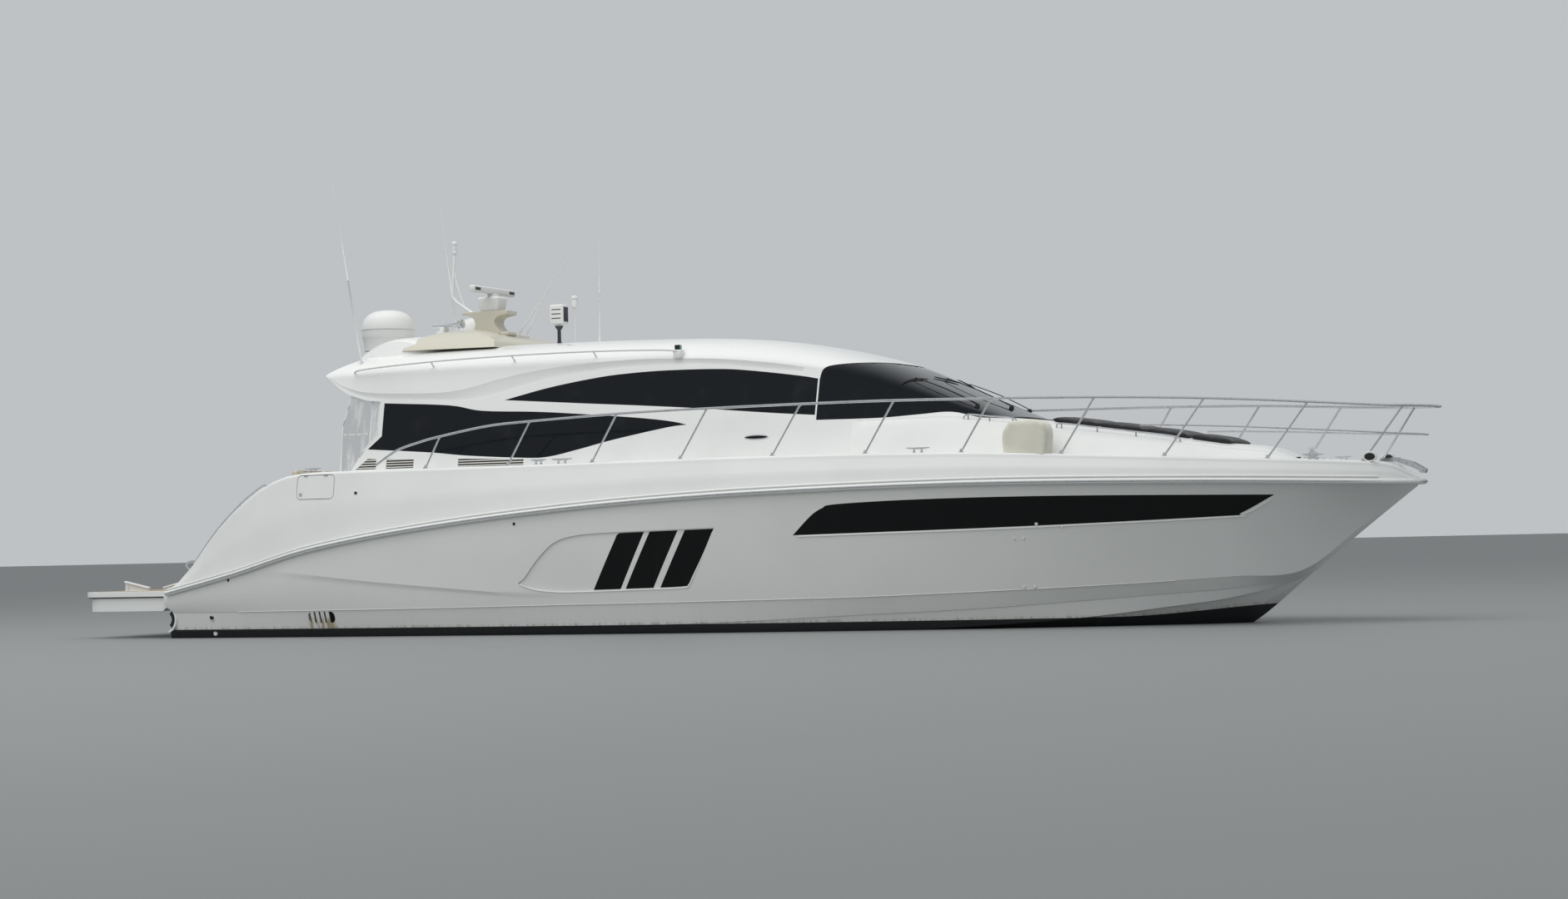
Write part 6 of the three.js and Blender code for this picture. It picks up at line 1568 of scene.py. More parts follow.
class MakeLids(bpy.types.Operator):
    """Hangs the doors, lids, hatches and gates with their hinges and latches, and lays the teak"""
    bl_idname = "yacht.lids"
    bl_label = "Doors, lids and gates"

    def execute(self, context):
        self.transom()
        self.hatches()
        for word, sign in SIDES:
            self.quarter_door("quarter_door_" + word, word, sign)
        for word, sign in SIDES:
            self.gate("stair_gate_" + word, word, sign)
        x0, y0, x1, y1 = ENGINE_HATCH
        teak_panel("engine_hatch_teak", x0 + 0.015, x1 - 0.015, y0 + 0.015, y1 - 0.015, SOLE_Z, "engine_hatch")
        teak_panel("cockpit_teak", 1.965, 3.27, -1.7, 1.7, SOLE_Z, cuts=[grown(ENGINE_HATCH, 0.025, 1.4, 1.7)])
        for k in range(1, STAIR_COUNT):
            end = stair_start(k + 1) if k + 1 < STAIR_COUNT else WELL_AFT - 0.06
            for word, sign in SIDES:
                low, high = sorted(sign * y for y in (STAIR_SIDES[0] + 0.03, STAIR_SIDES[1] - 0.03))
                teak_panel(f"step_{k}_{word}", stair_start(k) + 0.03, end - 0.02, low, high, stair_floor(k))
        return {"FINISHED"}

    def transom(self):
        """The locker door on the sloping stern, with its hinges, handle and stiffening panel."""
        softened("transom_door", "transom_locker_door", "gelcoat", bevel=0.012)
        handle = bent([(0.09, y, z) for y, z in (
            (-0.13, 0.0), (-0.125, 0.03), (0, 0.038), (0.125, 0.03), (0.13, 0.0))], 5)
        metal = formed(*((hinge, (TRANSOM_LENGTH - 0.022, y, 0.006), 0.035) for y in (-0.6, 0.0, 0.6)),
                       (pipe, handle, 0.009, 10))
        raised_panel = cuboid((0.16, -0.78, -0.002), (TRANSOM_LENGTH - 0.1, 0.78, 0.008), 0.006)
        make("transom_door_fittings", "steel", on_transom(metal), body="transom_door", smooth=45)
        make("transom_door_panel", "gelcoat", on_transom(raised_panel), body="transom_door", smooth=30)

    def hatches(self):
        """Engine hatch, foredeck hatch and anchor locker lid."""
        softened("engine_hatch", "engine_hatch_lid", "deck", bevel=0.006)
        softened("deck_hatch", "deck_hatch_glass", "glass", bevel=0.012)
        softened("bow_locker_lid", "anchor_locker_lid", "deck", bevel=0.01)
        pull = [(0, -0.002), (0.034, -0.002), (0.034, 0.0035), (0.028, 0.0045), (0, 0.0045)]
        make("engine_hatch_fittings", "steel",
             *((turned, pull, (3.02, y, SOLE_Z), 24) for y in (-0.42, 0.42)),
             *((hinge, (2.1, y, SOLE_Z + 0.008)) for y in (-0.42, 0.42)), body="engine_hatch", smooth=45)
        x0, y0, x1, y1 = DECK_HATCH
        line = [on_cabin(TRUNK, x, y, 0.004)
                for x, y in refined([(x0, y0), (x1, y0), (x1, y1), (x0, y1), (x0, y0)], (4, 6, 4, 6))][:-1]
        inset = [(x + (0.022 if x < 11.9 else -0.022 if x > 12.05 else 0), y * 0.92, z) for x, y, z in line]
        make("deck_hatch_frame", "dark_metal", (pipe, inset, 0.007, 8, True), body="deck_hatch", smooth=45)
        make("anchor_lid_fittings", "steel", *((hinge, on_deck(15.46, y, 0.007), 0.026) for y in (-0.2, 0.2)),
             (turned, [(0, -0.002), (0.024, -0.002), (0.024, 0.004), (0, 0.004)], on_deck(15.92, 0, 0), 24),
             body="bow_locker_lid", smooth=45)

    def quarter_door(self, body, word, sign):
        """A locker door in the stern quarter, with rounded corners, hinges and a latch."""
        x0, x1, z0, z1 = QUARTER_DOOR
        door = wall(deck_form, side_prism(rounded_plan(x0, x1, z0, z1, 0.055), sign, 2.0, 3), 0.0005, 0.036)
        dress(thing("quarter_locker_door_" + word, door), "gelcoat", body=body, replaces=body, bevel=0.006)
        z = z1 - 0.006
        knuckles = [(x, sign * (hull_side(x, z) + 0.003)) for x in (x0 + 0.13, x1 - 0.13)]
        make("quarter_door_fittings_" + word, "steel", (stud, sign, (x0 + 0.06, z0 + 0.06), 0.024, 0.012),
             *((rod, (x - 0.03, y, z), (x + 0.03, y, z), 0.006) for x, y in knuckles), body=body, smooth=45)

    def gate(self, body, word, sign):
        """A gate at the head of the stern stairs."""
        softened(body, "boarding_gate_" + word, "gelcoat", bevel=0.01)
        make("gate_panel_" + word, "beige", *((side_block, sign, (x, 1.26, 1.6), (x + 0.004, 1.61, 1.89), 0.0015)
                                              for x in (1.2838, 1.3122)), body=body)
        make("gate_fittings_" + word, "steel",
             *((rod, (1.3, sign * 1.668, z - 0.03), (1.3, sign * 1.668, z + 0.03), 0.0145) for z in (1.66, 1.85)),
             (side_block, sign, (1.281, 1.198, 1.8), (1.319, 1.235, 1.87), 0.006), body=body, smooth=45)


def rounded_plan(x0, x1, z0, z1, radius, steps=6):
    """A rectangle with all of its corners rounded."""
    corners = ((x1 - radius, z1 - radius), (x0 + radius, z1 - radius), (x0 + radius, z0 + radius),
               (x1 - radius, z0 + radius))
    return [(x + radius * cos(a), z + radius * sin(a)) for quarter, (x, z) in enumerate(corners)
            for a in (radians(90 * (quarter + k / steps)) for k in range(steps + 1))]


# Where each wiper's spindle stands, and how far aft its blade lies
WIPERS = ((-1.05, 11.32, 10.5), (0.0, 11.42, 10.55), (1.05, 11.32, 10.5))
CLEATS = ((5.74, 2.17, 0.22), (6.06, 2.14, 0.3), (10.86, 2.0, 0.3), (15.48, 0.86, 0.26), (2.35, 2.12, 0.26))


class MakeForedeckGear(bpy.types.Operator):
    """Stands the windlass, the anchor roller, the cleats, the fairleads and the wipers"""
    bl_idname = "yacht.foredeck_gear"
    bl_label = "Foredeck gear"

    def execute(self, context):
        drum = [(0, 0.0005), (0.093, 0.0005), (0.094, 0.006), (0.086, 0.014), (0.062, 0.018), (0.058, 0.03),
                (0.074, 0.036), (0.072, 0.044), (0.05, 0.05), (0.072, 0.057), (0.073, 0.065), (0.046, 0.07),
                (0.037, 0.085), (0.04, 0.1), (0.055, 0.114), (0.057, 0.12), (0.05, 0.126), (0.018, 0.129),
                (0.016, 0.133), (0, 0.134)]
        make("capstan_windlass", "steel", (turned, drum, on_deck(15.28, 0), 36), replaces="windlass", smooth=40)
        button = [(0, 0), (0.035, 0), (0.035, 0.01), (0.03, 0.016), (0, 0.016)]
        make("foot_switches", "rubber", *((turned, button, on_deck(15.15, y), 24) for y in (-0.2, 0.2)), smooth=40)
        cheek = [(16.12, 1.932), (16.3, 1.93), (16.5, 1.86), (16.66, 1.78), (16.68, 1.83), (16.52, 1.925),
                 (16.3, 1.985), (16.12, 1.975)]
        roller = [(0.008, -0.045), (0.034, -0.045), (0.022, -0.012), (0.022, 0.012), (0.034, 0.045), (0.008, 0.045)]
        make("deck_cleats", "steel", *(part for row in CLEATS for part in both(cleat, *row)),
             *((slab, cheek, y, 0.004) for y in (-0.055, 0.055)),
             *(part for x, z in ((16.62, 1.82), (16.34, 1.95))
               for part in ((rod, (x, -0.06, z), (x, 0.06, z), 0.012), (turned, roller, (x, 0, z), 20, (0, 1, 0)))),
             smooth=42)
        x, y, z = 16.1, HULL("rub_y", 16.1) - DECK("inset", 16.1) - 0.035, DECK("edge", 16.1) + 0.055
        make("fairlead_rims", "plastic", *((pipe, raised(oval(x, z, 0.075, 0.055, 24), sign * y), 0.012, 10, True)
                                           for _, sign in SIDES), smooth=50)
        make("fairlead_eyes", "rubber", *(side_prism(oval(x, z, 0.068, 0.048), sign, y - 0.004, y + 0.004)
                                          for _, sign in SIDES))
        self.wipers()
        return {"FINISHED"}

    def wipers(self):
        """Black pantograph wipers resting on the windshield."""
        parts = []
        boss = [(0, -0.03), (0.03, -0.03), (0.03, 0.012), (0.02, 0.026), (0, 0.026)]
        for y, foot, tip in WIPERS:
            parts += [(pipe, [on_cabin(HOUSE, foot + (tip - foot) * t, y + shift * (1 - t), 0.03 + 0.025 * sin(pi * t))
                              for t in (0, 0.25, 0.5, 0.75, 1)], 0.0055, 8) for shift in (-0.02, 0.02)]
            parts += [(turned, boss, on_cabin(HOUSE, foot, y, 0.012), 20),
                      (pipe, [on_cabin(HOUSE, tip + 0.015 * k, y + 0.31 * (k / 4), 0.012) for k in range(-4, 5)],
                       [0.005, 0.008, 0.0085, 0.009, 0.011, 0.009, 0.0085, 0.008, 0.005], 8)]
        make("windshield_wipers", "rubber", *parts, smooth=45)


# Each propeller's place along the boat, radius, blades, hand and hub as height and radius
PROPELLERS = (
    ("front", 1.5, 0.272, 3, 1, ((0.0595, 0.106), (0.02, 0.105), (-0.0595, 0.098))),
    ("rear", 1.372, 0.252, 4, -1, ((0.0672, 0.096), (-0.045, 0.091), (-0.08, 0.07), (-0.13, 0.04), (-0.15, 0.0))),
)
HUB_Z = -1.13


class MakeDrives(bpy.types.Operator):
    """Dresses the pod drives, their counter-turning propellers and the trim tabs"""
    bl_idname = "yacht.drives"
    bl_label = "Drives and trim tabs"

    def execute(self, context):
        for word, sign in SIDES:
            y, pod = sign * 0.9, "pod_" + word
            softened(pod, "pod_drive_" + word, "antifouled", bevel=0.012)
            cheeks = (y - 0.0555, y + 0.0555)
            make("pod_anodes_" + word, "dull_zinc",
                 *((block, (1.95, at - 0.008, -0.98), (2.15, at + 0.008, -0.9), 0.006) for at in cheeks), body=pod)
            make("pod_intakes_" + word, "rubber",
                 *((block, (x, y + side - 0.003, -0.86), (x + 0.03, y + side + 0.003, -0.78), 0.002)
                   for side in (-0.0552, 0.0552) for x in (1.82, 1.87, 1.92, 1.97, 2.02)), body=pod)
            for place, x, radius, count, hand, hub in PROPELLERS:
                body, middle = f"propeller_{place}_{word}", (x, y, HUB_Z)
                make(body + "_cast", "bronze",
                     (turned, [(0, hub[0][0])] + [(r, h) for h, r in hub], middle, 32, (1, 0, 0)),
                     *((blade, middle, radius, turn, hand * sign) for turn in around(count)),
                     body=body, replaces=body, smooth=40)
            softened("trim_tab_" + word, "tab_plate_" + word, "steel", bevel=0.003)
        return {"FINISHED"}


def blade(bm, middle, radius, turn, hand):
    """One twisted blade: aerofoil sections from the hub out to a rounded tip."""
    rings = []
    for share in (k / 8 for k in range(9)):
        out = 0.085 + (radius - 0.085) * share
        pitch = atan2(0.16, out)
        chord = 0.15 * (1 - share ** 3.2 * 0.82) * (0.72 + 0.5 * sin(pi * min(share * 8 / 6, 1)))
        ring = []
        for angle in around(12):
            along, thick = chord / 2 * cos(angle), (0.011 - 0.008 * share) * sin(angle)
            across = along * cos(pitch) - thick * sin(pitch)
            swing = turn + hand * (across / out + 0.25 * share ** 2)
            ring.append((middle[0] + along * sin(pitch) + thick * cos(pitch), middle[1] + out * sin(swing),
                         middle[2] + out * cos(swing)))
        rings.append(ring)
    ringed(bm, rings)


def padded_form(low, high, round_off=0.035, pull=0.01, crown=0.014, cuts=13):
    """A cushion's closed form: round edges, a crowned top, and sides that pull in between the corners."""
    bm = bmesh.new()
    bmesh.ops.create_cube(bm, size=2)
    bmesh.ops.subdivide_edges(bm, edges=bm.edges[:], cuts=cuts, use_grid_fill=True)
    size = [(h - l) / 2 for l, h in zip(low, high)]
    radius = min(round_off, *(h * 0.9 for h in size))
    for vert in bm.verts:
        a, b, c = (sin(part * pi / 2) for part in vert.co)
        place = Vector((a * size[0], b * size[1], c * size[2]))
        core = Vector(max(min(p, h - radius), radius - h) for p, h in zip(place, size))
        place = core + (place - core).normalized() * radius if (place - core).length else place
        place.x -= a ** 5 * pull * (1 - b * b)
        place.y -= b ** 5 * pull * (1 - a * a)
        if c > 0:
            place.z += crown * c * ((1 - a ** 4) * (1 - b ** 4) - 1)
        vert.co = place + (Vector(low) + Vector(high)) / 2
    return bm


def swollen(piece, voxel, swell, floor=None):
    """Blows a cushion up a little as cloth on an even grid, and keeps flat what it rests on."""
    grid = piece.modifiers.new("cloth grid", "REMESH")
    grid.mode, grid.voxel_size = "VOXEL", voxel
    settle(piece)
    rest = [vert.co.copy() for vert in piece.data.vertices]
    cloth = piece.modifiers.new("stuffing", "CLOTH").settings
    cloth.use_pressure, cloth.uniform_pressure_force = True, 4
    cloth.effector_weights.gravity = 0
    for step in range(1, 21):
        bpy.context.scene.frame_set(step)
    settle(piece)
    bpy.context.scene.frame_set(1)
    for vert, start in zip(piece.data.vertices, rest):
        move = vert.co - start
        if move.length > swell:
            vert.co = start + move * (swell / move.length)
        if floor is not None and start.z < floor + voxel * 0.6:
            vert.co.z = floor
    return piece


def piped(bm, form, line, sink):
    """Piping sewn round a cushion, drawn onto its surface."""
    tree = BVHTree.FromBMesh(form)
    found = (tree.find_nearest(place) for place in line)
    pipe(bm, [tuple(spot + normal * sink) for spot, normal, _, _ in found], 0.0045, 8, True)


def cushion(name, low, high, repeats, finish="vinyl", channels=(), shaped=None, upright=False, replaces=""):
    """A row of like box cushions with piped edges and sewn channels; the first is swollen and the rest are copies."""
    soft = bpy.context.scene.yacht_soft
    inset = soft.swell * 0.55
    small = [l + (inset if axis < 2 or upright else 0) for axis, l in enumerate(low)]
    piece = thing("cushion_form", padded_form(small, [h - inset for h in high]))
    form = spent(swollen(piece, soft.voxel, soft.swell, None if upright else low[2]))
    form.normal_update()
    for vert in form.verts:
        for axis, at, facing in channels:
            if abs(vert.normal[facing]) > 0.3 and (facing != 2 or vert.normal.z > 0):
                off = (vert.co[axis] - at) / 0.011
                vert.co -= vert.normal * 0.011 * exp(-off * off)
    (x0, y0, z0), (x1, y1, z1) = low, high
    if upright:
        plan = refined(rounded_plan(y0, y1, z0, z1, 0.04), [2] * 27)
        seams = [(piped, form, [(x, y, z) for y, z in plan], 0.0013) for x in (x0 + 0.02, x1 - 0.02)]
    else:
        plan = refined(rounded_plan(x0, x1, y0, y1, 0.04), [2] * 27)
        seams = [(piped, form, [(x, y, z) for x, y in plan], 0.00135) for z in (z1 - 0.024, z0 + 0.022)]
    piping = formed(*seams)
    for k, shift in enumerate(repeats):
        for word, source in (("", form), ("_piping", piping)):
            bm = source.copy()
            bmesh.ops.translate(bm, vec=shift, verts=bm.verts)
            if shaped:
                for vert in bm.verts:
                    vert.co = shaped(vert.co)
            made = make(f"{name}_{k + 1}{word}", finish, bm, smooth=80, replaces="" if k or word else replaces)
            if word:
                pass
            else:
                smooth = made.modifiers.new("one subdivision", "SUBSURF")
                smooth.levels = smooth.render_levels = 1


SUN_PAD_ENDS = (12.205, 12.775, 13.345, 13.9, 14.412)
COVER_OUTLINE = (((11.905, 2.36), (11.975, 2.485), (12.05, 2.53), (12.44, 2.49), (12.445, 2.05), (11.915, 2.05)),
                 (4, 5))
COVER_SIDES = (-1.905, -1.57)


def onto_trunk(spot):
    """Lays a place of a flat pad, drawn 1.6 m wide, onto the foredeck trunk; the pad narrows forward."""
    x = spot.x
    wide = 0.86 - 0.3 * (x - 12.2) / 2.1 if x < 14.3 else 0.56 - 0.08 * (x - 14.3) / 0.12
    return Vector(on_cabin(TRUNK, x, spot.y * wide / 0.8, spot.z))


class MakeSoftGoods(bpy.types.Operator):
    """Stuffs the sun pad, the settees, the helm seat and the cover on the side deck"""
    bl_idname = "yacht.soft_goods"
    bl_label = "Soft goods"

    def execute(self, context):
        for word, aft, fore in zip("abcd", SUN_PAD_ENDS, SUN_PAD_ENDS[1:]):
            cushion("sun_pad_" + word, (aft + 0.002, -0.8, 0.002), (fore - 0.002, 0.8, 0.07), ((0, 0, 0),), "pad_cloth",
                    channels=((0, (aft + fore) / 2, 2), (1, -0.27, 2), (1, 0.27, 2)), shaped=onto_trunk,
                    replaces="sun_pad" if word == "a" else "")
        third = 2.2 / 3
        low, high, row = -third / 2 + 0.003, third / 2 - 0.003, [(0, third * k, 0) for k in (-1, 0, 1)]
        cushion("cockpit_seat", (1.35, low, 1.8515), (1.935, high, 1.965), row, channels=((1, 0, 2), (0, 1.55, 2)),
                replaces="cockpit_settee")
        cushion("cockpit_back", (1.35, low, 1.972), (1.472, high, 2.275), row, channels=((1, -0.12, 0), (1, 0.12, 0)),
                upright=True)
        third, x = 2.075 / 3, 6.2575
        low, high, row = x - third / 2 + 0.003, x + third / 2 - 0.003, [(third * k, 0, 0) for k in (-1, 0, 1)]
        cushion("salon_seat", (low, 0.885, 1.802), (high, 1.55, 1.965), row, channels=((0, x, 2),),
                replaces="salon_settee")
        cushion("salon_back", (low, 1.405, 1.972), (high, 1.555, 2.315), row, channels=((0, 6.14, 1), (0, 6.375, 1)),
                upright=True)
        make("salon_settee_base", "cherry", (block, (5.24, 0.95, SOLE_Z + 0.004), (7.28, 1.55, 1.58), 0.004),
             (block, (5.22, 0.9, 1.58), (7.3, 1.555, 1.8), 0.012),
             *((block, (at - 0.24, 0.893, 1.61), (at + 0.24, 0.901, 1.77), 0.003) for at in (5.74, x, 6.775)))
        self.helm_seat()
        self.deck_cover(context.scene.yacht_soft)
        return {"FINISHED"}

    def helm_seat(self):
        """The double seat at the helm, on its post."""
        post = [(0, 0.002), (0.17, 0.002), (0.17, 0.012), (0.15, 0.02), (0.078, 0.026), (0.073, 0.04), (0.073, 0.3),
                (0.06, 0.31), (0.06, 0.52), (0, 0.52)]
        make("helm_seat_post", "dark_metal", (turned, post, (8.45, -0.9, SOLE_Z), 32), smooth=40)
        make("helm_seat_frame", "trim", (block, (8.2, -1.38, 2.035), (8.68, -0.42, 2.07), 0.012),
             (block, (8.122, -1.38, 2.1), (8.137, -0.42, 2.79), 0.006))
        row = [(0, shift, 0) for shift in (-0.26, 0.26)]
        cushion("helm_cushion", (8.19, -1.155, 2.0705), (8.715, -0.645, 2.215), row,
                channels=((1, -1.02, 2), (1, -0.78, 2)), replaces="helm_seat")
        cushion("helm_backrest", (8.137, -1.155, 2.222), (8.24, -0.645, 2.815), row,
                channels=((2, 2.42, 0), (2, 2.62, 0)), upright=True)

    def deck_cover(self, soft):
        """A beige cloth cover over the gear stowed on the starboard side deck."""
        near, far = COVER_SIDES
        form = prism(eased(*COVER_OUTLINE), near, far)
        rounded(form, [e for e in form.edges if len(e.link_faces) == 2 and e.calc_face_angle(0) > 1.2], 0.016, 3)
        piece = swollen(thing("side_deck_gear_cover", form), soft.voxel * 0.75, 0.007)
        for vert in piece.data.vertices:
            across = (vert.co.y - near) / (far - near)
            if vert.co.z > 2.3:
                vert.co.z -= 0.012 * sin(pi * min(max(across, 0), 1)) * (vert.co.z - 2.3) / 0.23
            vert.co.x += 0.003 * sin(vert.co.y * 23 + vert.co.z * 9)
            vert.co.y += 0.003 * sin(vert.co.x * 19 - vert.co.z * 6)
        carve(piece, *standing_clear((0, -0.001, 0.002)))
        dress(piece, "cover_cloth", replaces="side_deck_cover", smooth=60)
        cloth = bmesh.new()
        cloth.from_mesh(piece.data)
        tree = BVHTree.FromBMesh(cloth)
        hems = [[tree.find_nearest((x, y, z))[0] for x, z in eased(*COVER_OUTLINE) if z > 2.22]
                for y in (near + 0.025, far - 0.025)]
        seams = make("side_deck_cover_seams", "cover_cloth", *((pipe, hem, 0.004, 8) for hem in hems), smooth=60)


CURTAIN_AFT = Lines("z x", ((2.16, 2.67), (2.5, 2.66), (2.76, 2.655), (3.0, 2.7), (3.205, 2.75)))
CURTAIN_FORE = Lines("z x", ((2.16, 2.86), (2.3, 2.935), (2.45, 3.025), (2.55, 3.115), (2.65, 3.215), (2.8, 3.218),
                             (3.098, 3.218)))


class MakeCurtains(bpy.types.Operator):
    """Hangs the clear vinyl curtains between the deckhouse and the hardtop's after corners"""
    bl_idname = "yacht.curtains"
    bl_label = "Curtains"

    def hang(self, x, z, sign, out=0.0):
        """A place on the curtain: just inside the house's side, in soft upright folds."""
        fold = 0.0045 * sin(x * 47 + 1.3 * sin(z * 5)) + 0.003 * sin(x * 101 + z * 7)
        return x, sign * (house_side(x, z) - 0.026 + fold + out), z

    def execute(self, context):
        heights = [2.18 + 0.1 * k for k in range(11)]
        tapes = (([(CURTAIN_AFT("x", z) + 0.012, z) for z in heights], 0.012),
                 ([(CURTAIN_FORE("x", z) - 0.012, z) for z in (2.18 + 0.0918 * k for k in range(11))], 0.014),
                 ([(3.1, 2.56 + 0.069 * k) for k in range(9)], 0.012),
                 ([(2.69 + 0.041 * k, 2.68) for k in range(11)], 0.008))
        for word, sign in SIDES:
            def place(c, r):
                z = 2.165 + (3.2 - 2.165) * r / 40
                fore, aft = CURTAIN_FORE("x", min(z, 3.098)), CURTAIN_AFT("x", z)
                x = aft + (fore - aft) * c / 36
                return self.hang(x, min(z, 3.2 - 0.1 * max(x - 2.76, 0) / 0.46), sign)

            sheet = make("clear_curtain_" + word, "curtain", (skin, 36, 40, place), replaces="vinyl_curtain_" + word,
                         smooth=180)
            band = make("curtain_tape_" + word, "plastic", *((ringed, self.tape(*tape, sign)) for tape in tapes))
        return {"FINISHED"}

    def tape(self, line, wide, sign):
        """The sections of a tape sewn along a line of the curtain."""
        rings = []
        for k, (x, z) in enumerate(line):
            ahead = Vector(line[min(k + 1, len(line) - 1)]) - Vector(line[max(k - 1, 0)])
            side = Vector((-ahead.y, ahead.x)).normalized() * wide
            rings.append([self.hang(x + side.x * a, z + side.y * a, sign, b)
                          for a, b in ((-1, -0.0015), (1, -0.0015), (1, 0.0015), (-1, 0.0015))])
        return rings


CONSOLE_OUTLINE = ((9.185, SOLE_Z + 0.002), (9.945, SOLE_Z + 0.002), (9.945, 2.555), (9.48, 2.555), (9.235, 2.33),
                   (9.185, 2.0))
WHEEL_HUB, WHEEL_RAKE = (9.14, -0.9, 2.29), 28


class MakeInterior(bpy.types.Operator):
    """Fits the helm console, the steering wheel and the cabin sole, which show through the glass"""
    bl_idname = "yacht.interior"
    bl_label = "Interior"

    def execute(self, context):
        tilt = Matrix.Translation(WHEEL_HUB) @ Matrix.Rotation(radians(WHEEL_RAKE - 90), 4, "Y")
        bore = formed((rod, tilt @ Vector((0, 0, 0.1)), tilt @ Vector((0, 0, -0.131)), 0.0388, 28))
        console = carve(thing("helm_dash", prism(CONSOLE_OUTLINE, -1.455, -0.345)), bore)
        dress(console, "trim", replaces="helm_console", bevel=0.015)
        make("helm_bezels", "rubber", *((self.screen, y, 0.19, 0.145, -0.002, 0.008) for y in (-1.2, -0.6)),
             bevel=0.003)
        make("helm_screens", "screen", *((self.screen, y, 0.172, 0.126, 0.006, 0.0095) for y in (-1.2, -0.6)))
        knob = [(0, -0.012), (0.012, -0.01), (0.014, 0), (0.012, 0.01), (0, 0.012)]
        make("throttle", "steel", (block, (9.5, -0.62, 2.5545), (9.62, -0.5, 2.58), 0.008),
             *(part for y in (-0.59, -0.53)
               for part in ((rod, (9.56, y, 2.575), (9.53, y, 2.66), 0.006), (turned, knob, (9.53, y, 2.665), 16))),
             smooth=45)
        self.wheel(tilt)
        sole = thing("salon_sole", cuboid((3.402, -1.62, SOLE_Z + 0.0006), (9.95, 1.62, SOLE_Z + 0.0034)))
        carve(sole, cuboid((9.17, -1.47, 1), (9.96, -0.33, 2)), cuboid((5.205, 0.94, 1), (7.31, 1.63, 2)),
              formed((rod, (8.45, -0.9, 1.4), (8.45, -0.9, 1.7), 0.173, 32)))
        dress(sole, "cherry")
        return {"FINISHED"}

    def screen(self, bm, y, wide, tall, near, far):
        """A flat box on the slope of the dash, given by half its width, half its height and two depths."""
        slope = Vector((0.245, 0, 0.225)).normalized()
        out = Vector((-slope.z, 0, slope.x))
        middle = Vector((9.357, y, 2.4425)) + out * (near + far) / 2
        for vert in bmesh.ops.create_cube(bm, size=1)["verts"]:
            a, b, c = vert.co
            vert.co = middle + slope * a * tall * 2 + Vector((0, b * wide * 2, 0)) + out * c * (far - near)

    def wheel(self, tilt):
        """A leather rim on three steel spokes."""
        rim = [tilt @ Vector((x, y, 0)) for x, y in oval(0, 0, 0.21, 0.21, 48)]
        spokes = [[tilt @ Vector((r * cos(a), r * sin(a), h)) for r, h in ((0.02, -0.018), (0.09, -0.012), (0.2, 0.0))]
                  for a in (radians(90 + 120 * k) for k in range(3))]
        hub = [(0, -0.128), (0.0372, -0.128), (0.0372, -0.03), (0.046, -0.022), (0.05, -0.006), (0.044, 0.008),
               (0, 0.012)]
        make("wheel_rim", "rubber", (pipe, rim, 0.0158, 12, True), body="steering_wheel", replaces="steering_wheel",
             smooth=60)
        make("wheel_spokes", "steel", *((pipe, spoke, [0.013, 0.01, 0.008], 10) for spoke in spokes),
             (turned, hub, WHEEL_HUB, 32, tilt.to_3x3() @ Vector((0, 0, 1))), body="steering_wheel", smooth=45)


CAMERA_PLACE, CAMERA_ANGLES, CAMERA_LENS = (23.48, -36.58, 1.11), (-22.6, 1.78, 1.28), 69.02
# Name, place, size and power of each lamp
LAMPS = (("overhead", (4, -8, 28), 34, 5500), ("beam_side", (2, -34, 18), 20, 1700))


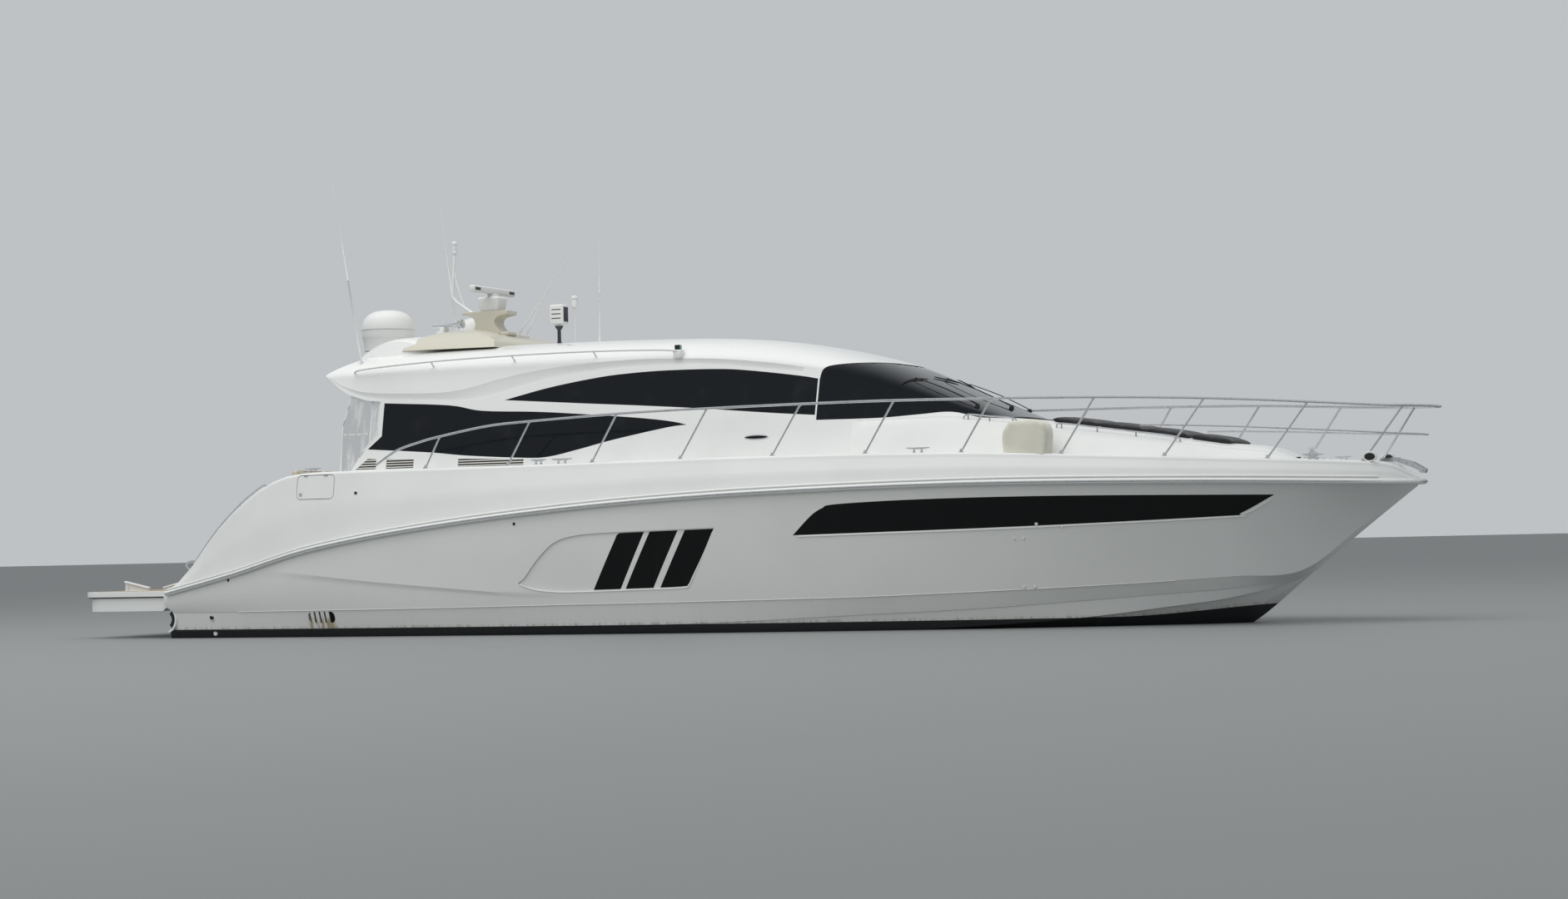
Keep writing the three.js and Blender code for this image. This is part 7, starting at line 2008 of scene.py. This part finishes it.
class MakeStage(bpy.types.Operator):
    """Sets the floor at the waterline, the soft light and the camera"""
    bl_idname = "yacht.stage"
    bl_label = "Stage"

    def execute(self, context):
        scene, settings = context.scene, context.scene.yacht_stage
        bm = bmesh.new()
        bmesh.ops.create_grid(bm, x_segments=8, y_segments=8, size=400)
        bmesh.ops.translate(bm, vec=(0, 0, WATERLINE), verts=bm.verts)
        floor = thing("pale_floor", bm)
        floor.data.materials.append(finish_of("floor"))
        scene.world = bpy.data.worlds.new("soft_daylight")
        scene.world.use_nodes = True
        backdrop = scene.world.node_tree.nodes["Background"].inputs
        backdrop["Color"].default_value = (*settings.sky, 1)
        backdrop["Strength"].default_value = settings.daylight
        scene.view_settings.view_transform = "Standard"
        for name, place, size, power in LAMPS:
            lamp = bpy.data.lights.new(name, "AREA")
            lamp.shape, lamp.size, lamp.energy, lamp.color = "DISK", size, power, (1.0, 0.985, 0.96)
            aim = Vector((8, 0, 1)) - Vector(place)
            holder = self.stand(scene, name, lamp, place, aim.to_track_quat("-Z", "Y").to_matrix())
            holder.visible_glossy = False
        self.add_camera(scene)
        return {"FINISHED"}

    def stand(self, scene, name, data, place, turn):
        """A lamp or a camera at its place, turned to its aim."""
        holder = bpy.data.objects.new(name, data)
        holder.matrix_world = Matrix.Translation(place) @ turn.to_4x4()
        scene.collection.objects.link(holder)
        return holder

    def add_camera(self, scene):
        """Stands the camera where the photograph was taken, a little above the water abeam."""
        yaw, pitch, roll = map(radians, CAMERA_ANGLES)
        ahead = Vector((sin(yaw) * cos(pitch), cos(yaw) * cos(pitch), sin(pitch)))
        level = Vector((cos(yaw), -sin(yaw), 0))
        upright = level.cross(ahead)
        right = level * cos(roll) - upright * sin(roll)
        up = level * sin(roll) + upright * cos(roll)
        data = bpy.data.cameras.new("photo_view")
        data.lens, data.sensor_width, data.sensor_fit, data.clip_end = CAMERA_LENS, 36, "HORIZONTAL", 2000
        scene.camera = self.stand(scene, "photo_view", data, CAMERA_PLACE, Matrix((right, up, -ahead)).transposed())


STEPS = (MakeStage, MakeHull, MakeHullWindows, MakeRubRail, MakeDeck, MakeHouse, MakeCabinGlass, MakeArchGear,
         MakeAntennas, MakeRails, MakePlatform, MakeHullFittings, MakeHouseTrim, MakeLids, MakeForedeckGear,
         MakeDrives, MakeSoftGoods, MakeCurtains, MakeInterior)
SETTINGS = {"yacht_hull": HullSettings, "yacht_house": HouseSettings, "yacht_rails": RailSettings,
            "yacht_soft": SoftSettings, "yacht_stage": StageSettings}


class YachtPanel(bpy.types.Panel):
    """Lists the yacht's sizes and colours and the steps that make it"""
    bl_idname = "VIEW3D_PT_yacht"
    bl_label = "Motor yacht"
    bl_space_type = "VIEW_3D"
    bl_region_type = "UI"
    bl_category = "Yacht"

    def draw(self, context):
        for name, group in SETTINGS.items():
            box = self.layout.box()
            for key in group.__annotations__:
                box.prop(getattr(context.scene, name), key)
        for step in STEPS:
            self.layout.operator(step.bl_idname)


CLASSES = (*SETTINGS.values(), *STEPS, YachtPanel)


def register():
    for kind in CLASSES:
        bpy.utils.register_class(kind)
    for name, group in SETTINGS.items():
        setattr(bpy.types.Scene, name, bpy.props.PointerProperty(type=group))


def unregister():
    for name in SETTINGS:
        delattr(bpy.types.Scene, name)
    for kind in reversed(CLASSES):
        bpy.utils.unregister_class(kind)


def main():
    register()
    for step in STEPS:
        family, name = step.bl_idname.split(".")
        getattr(getattr(bpy.ops, family), name)()


if __name__ == "__main__":
    main()
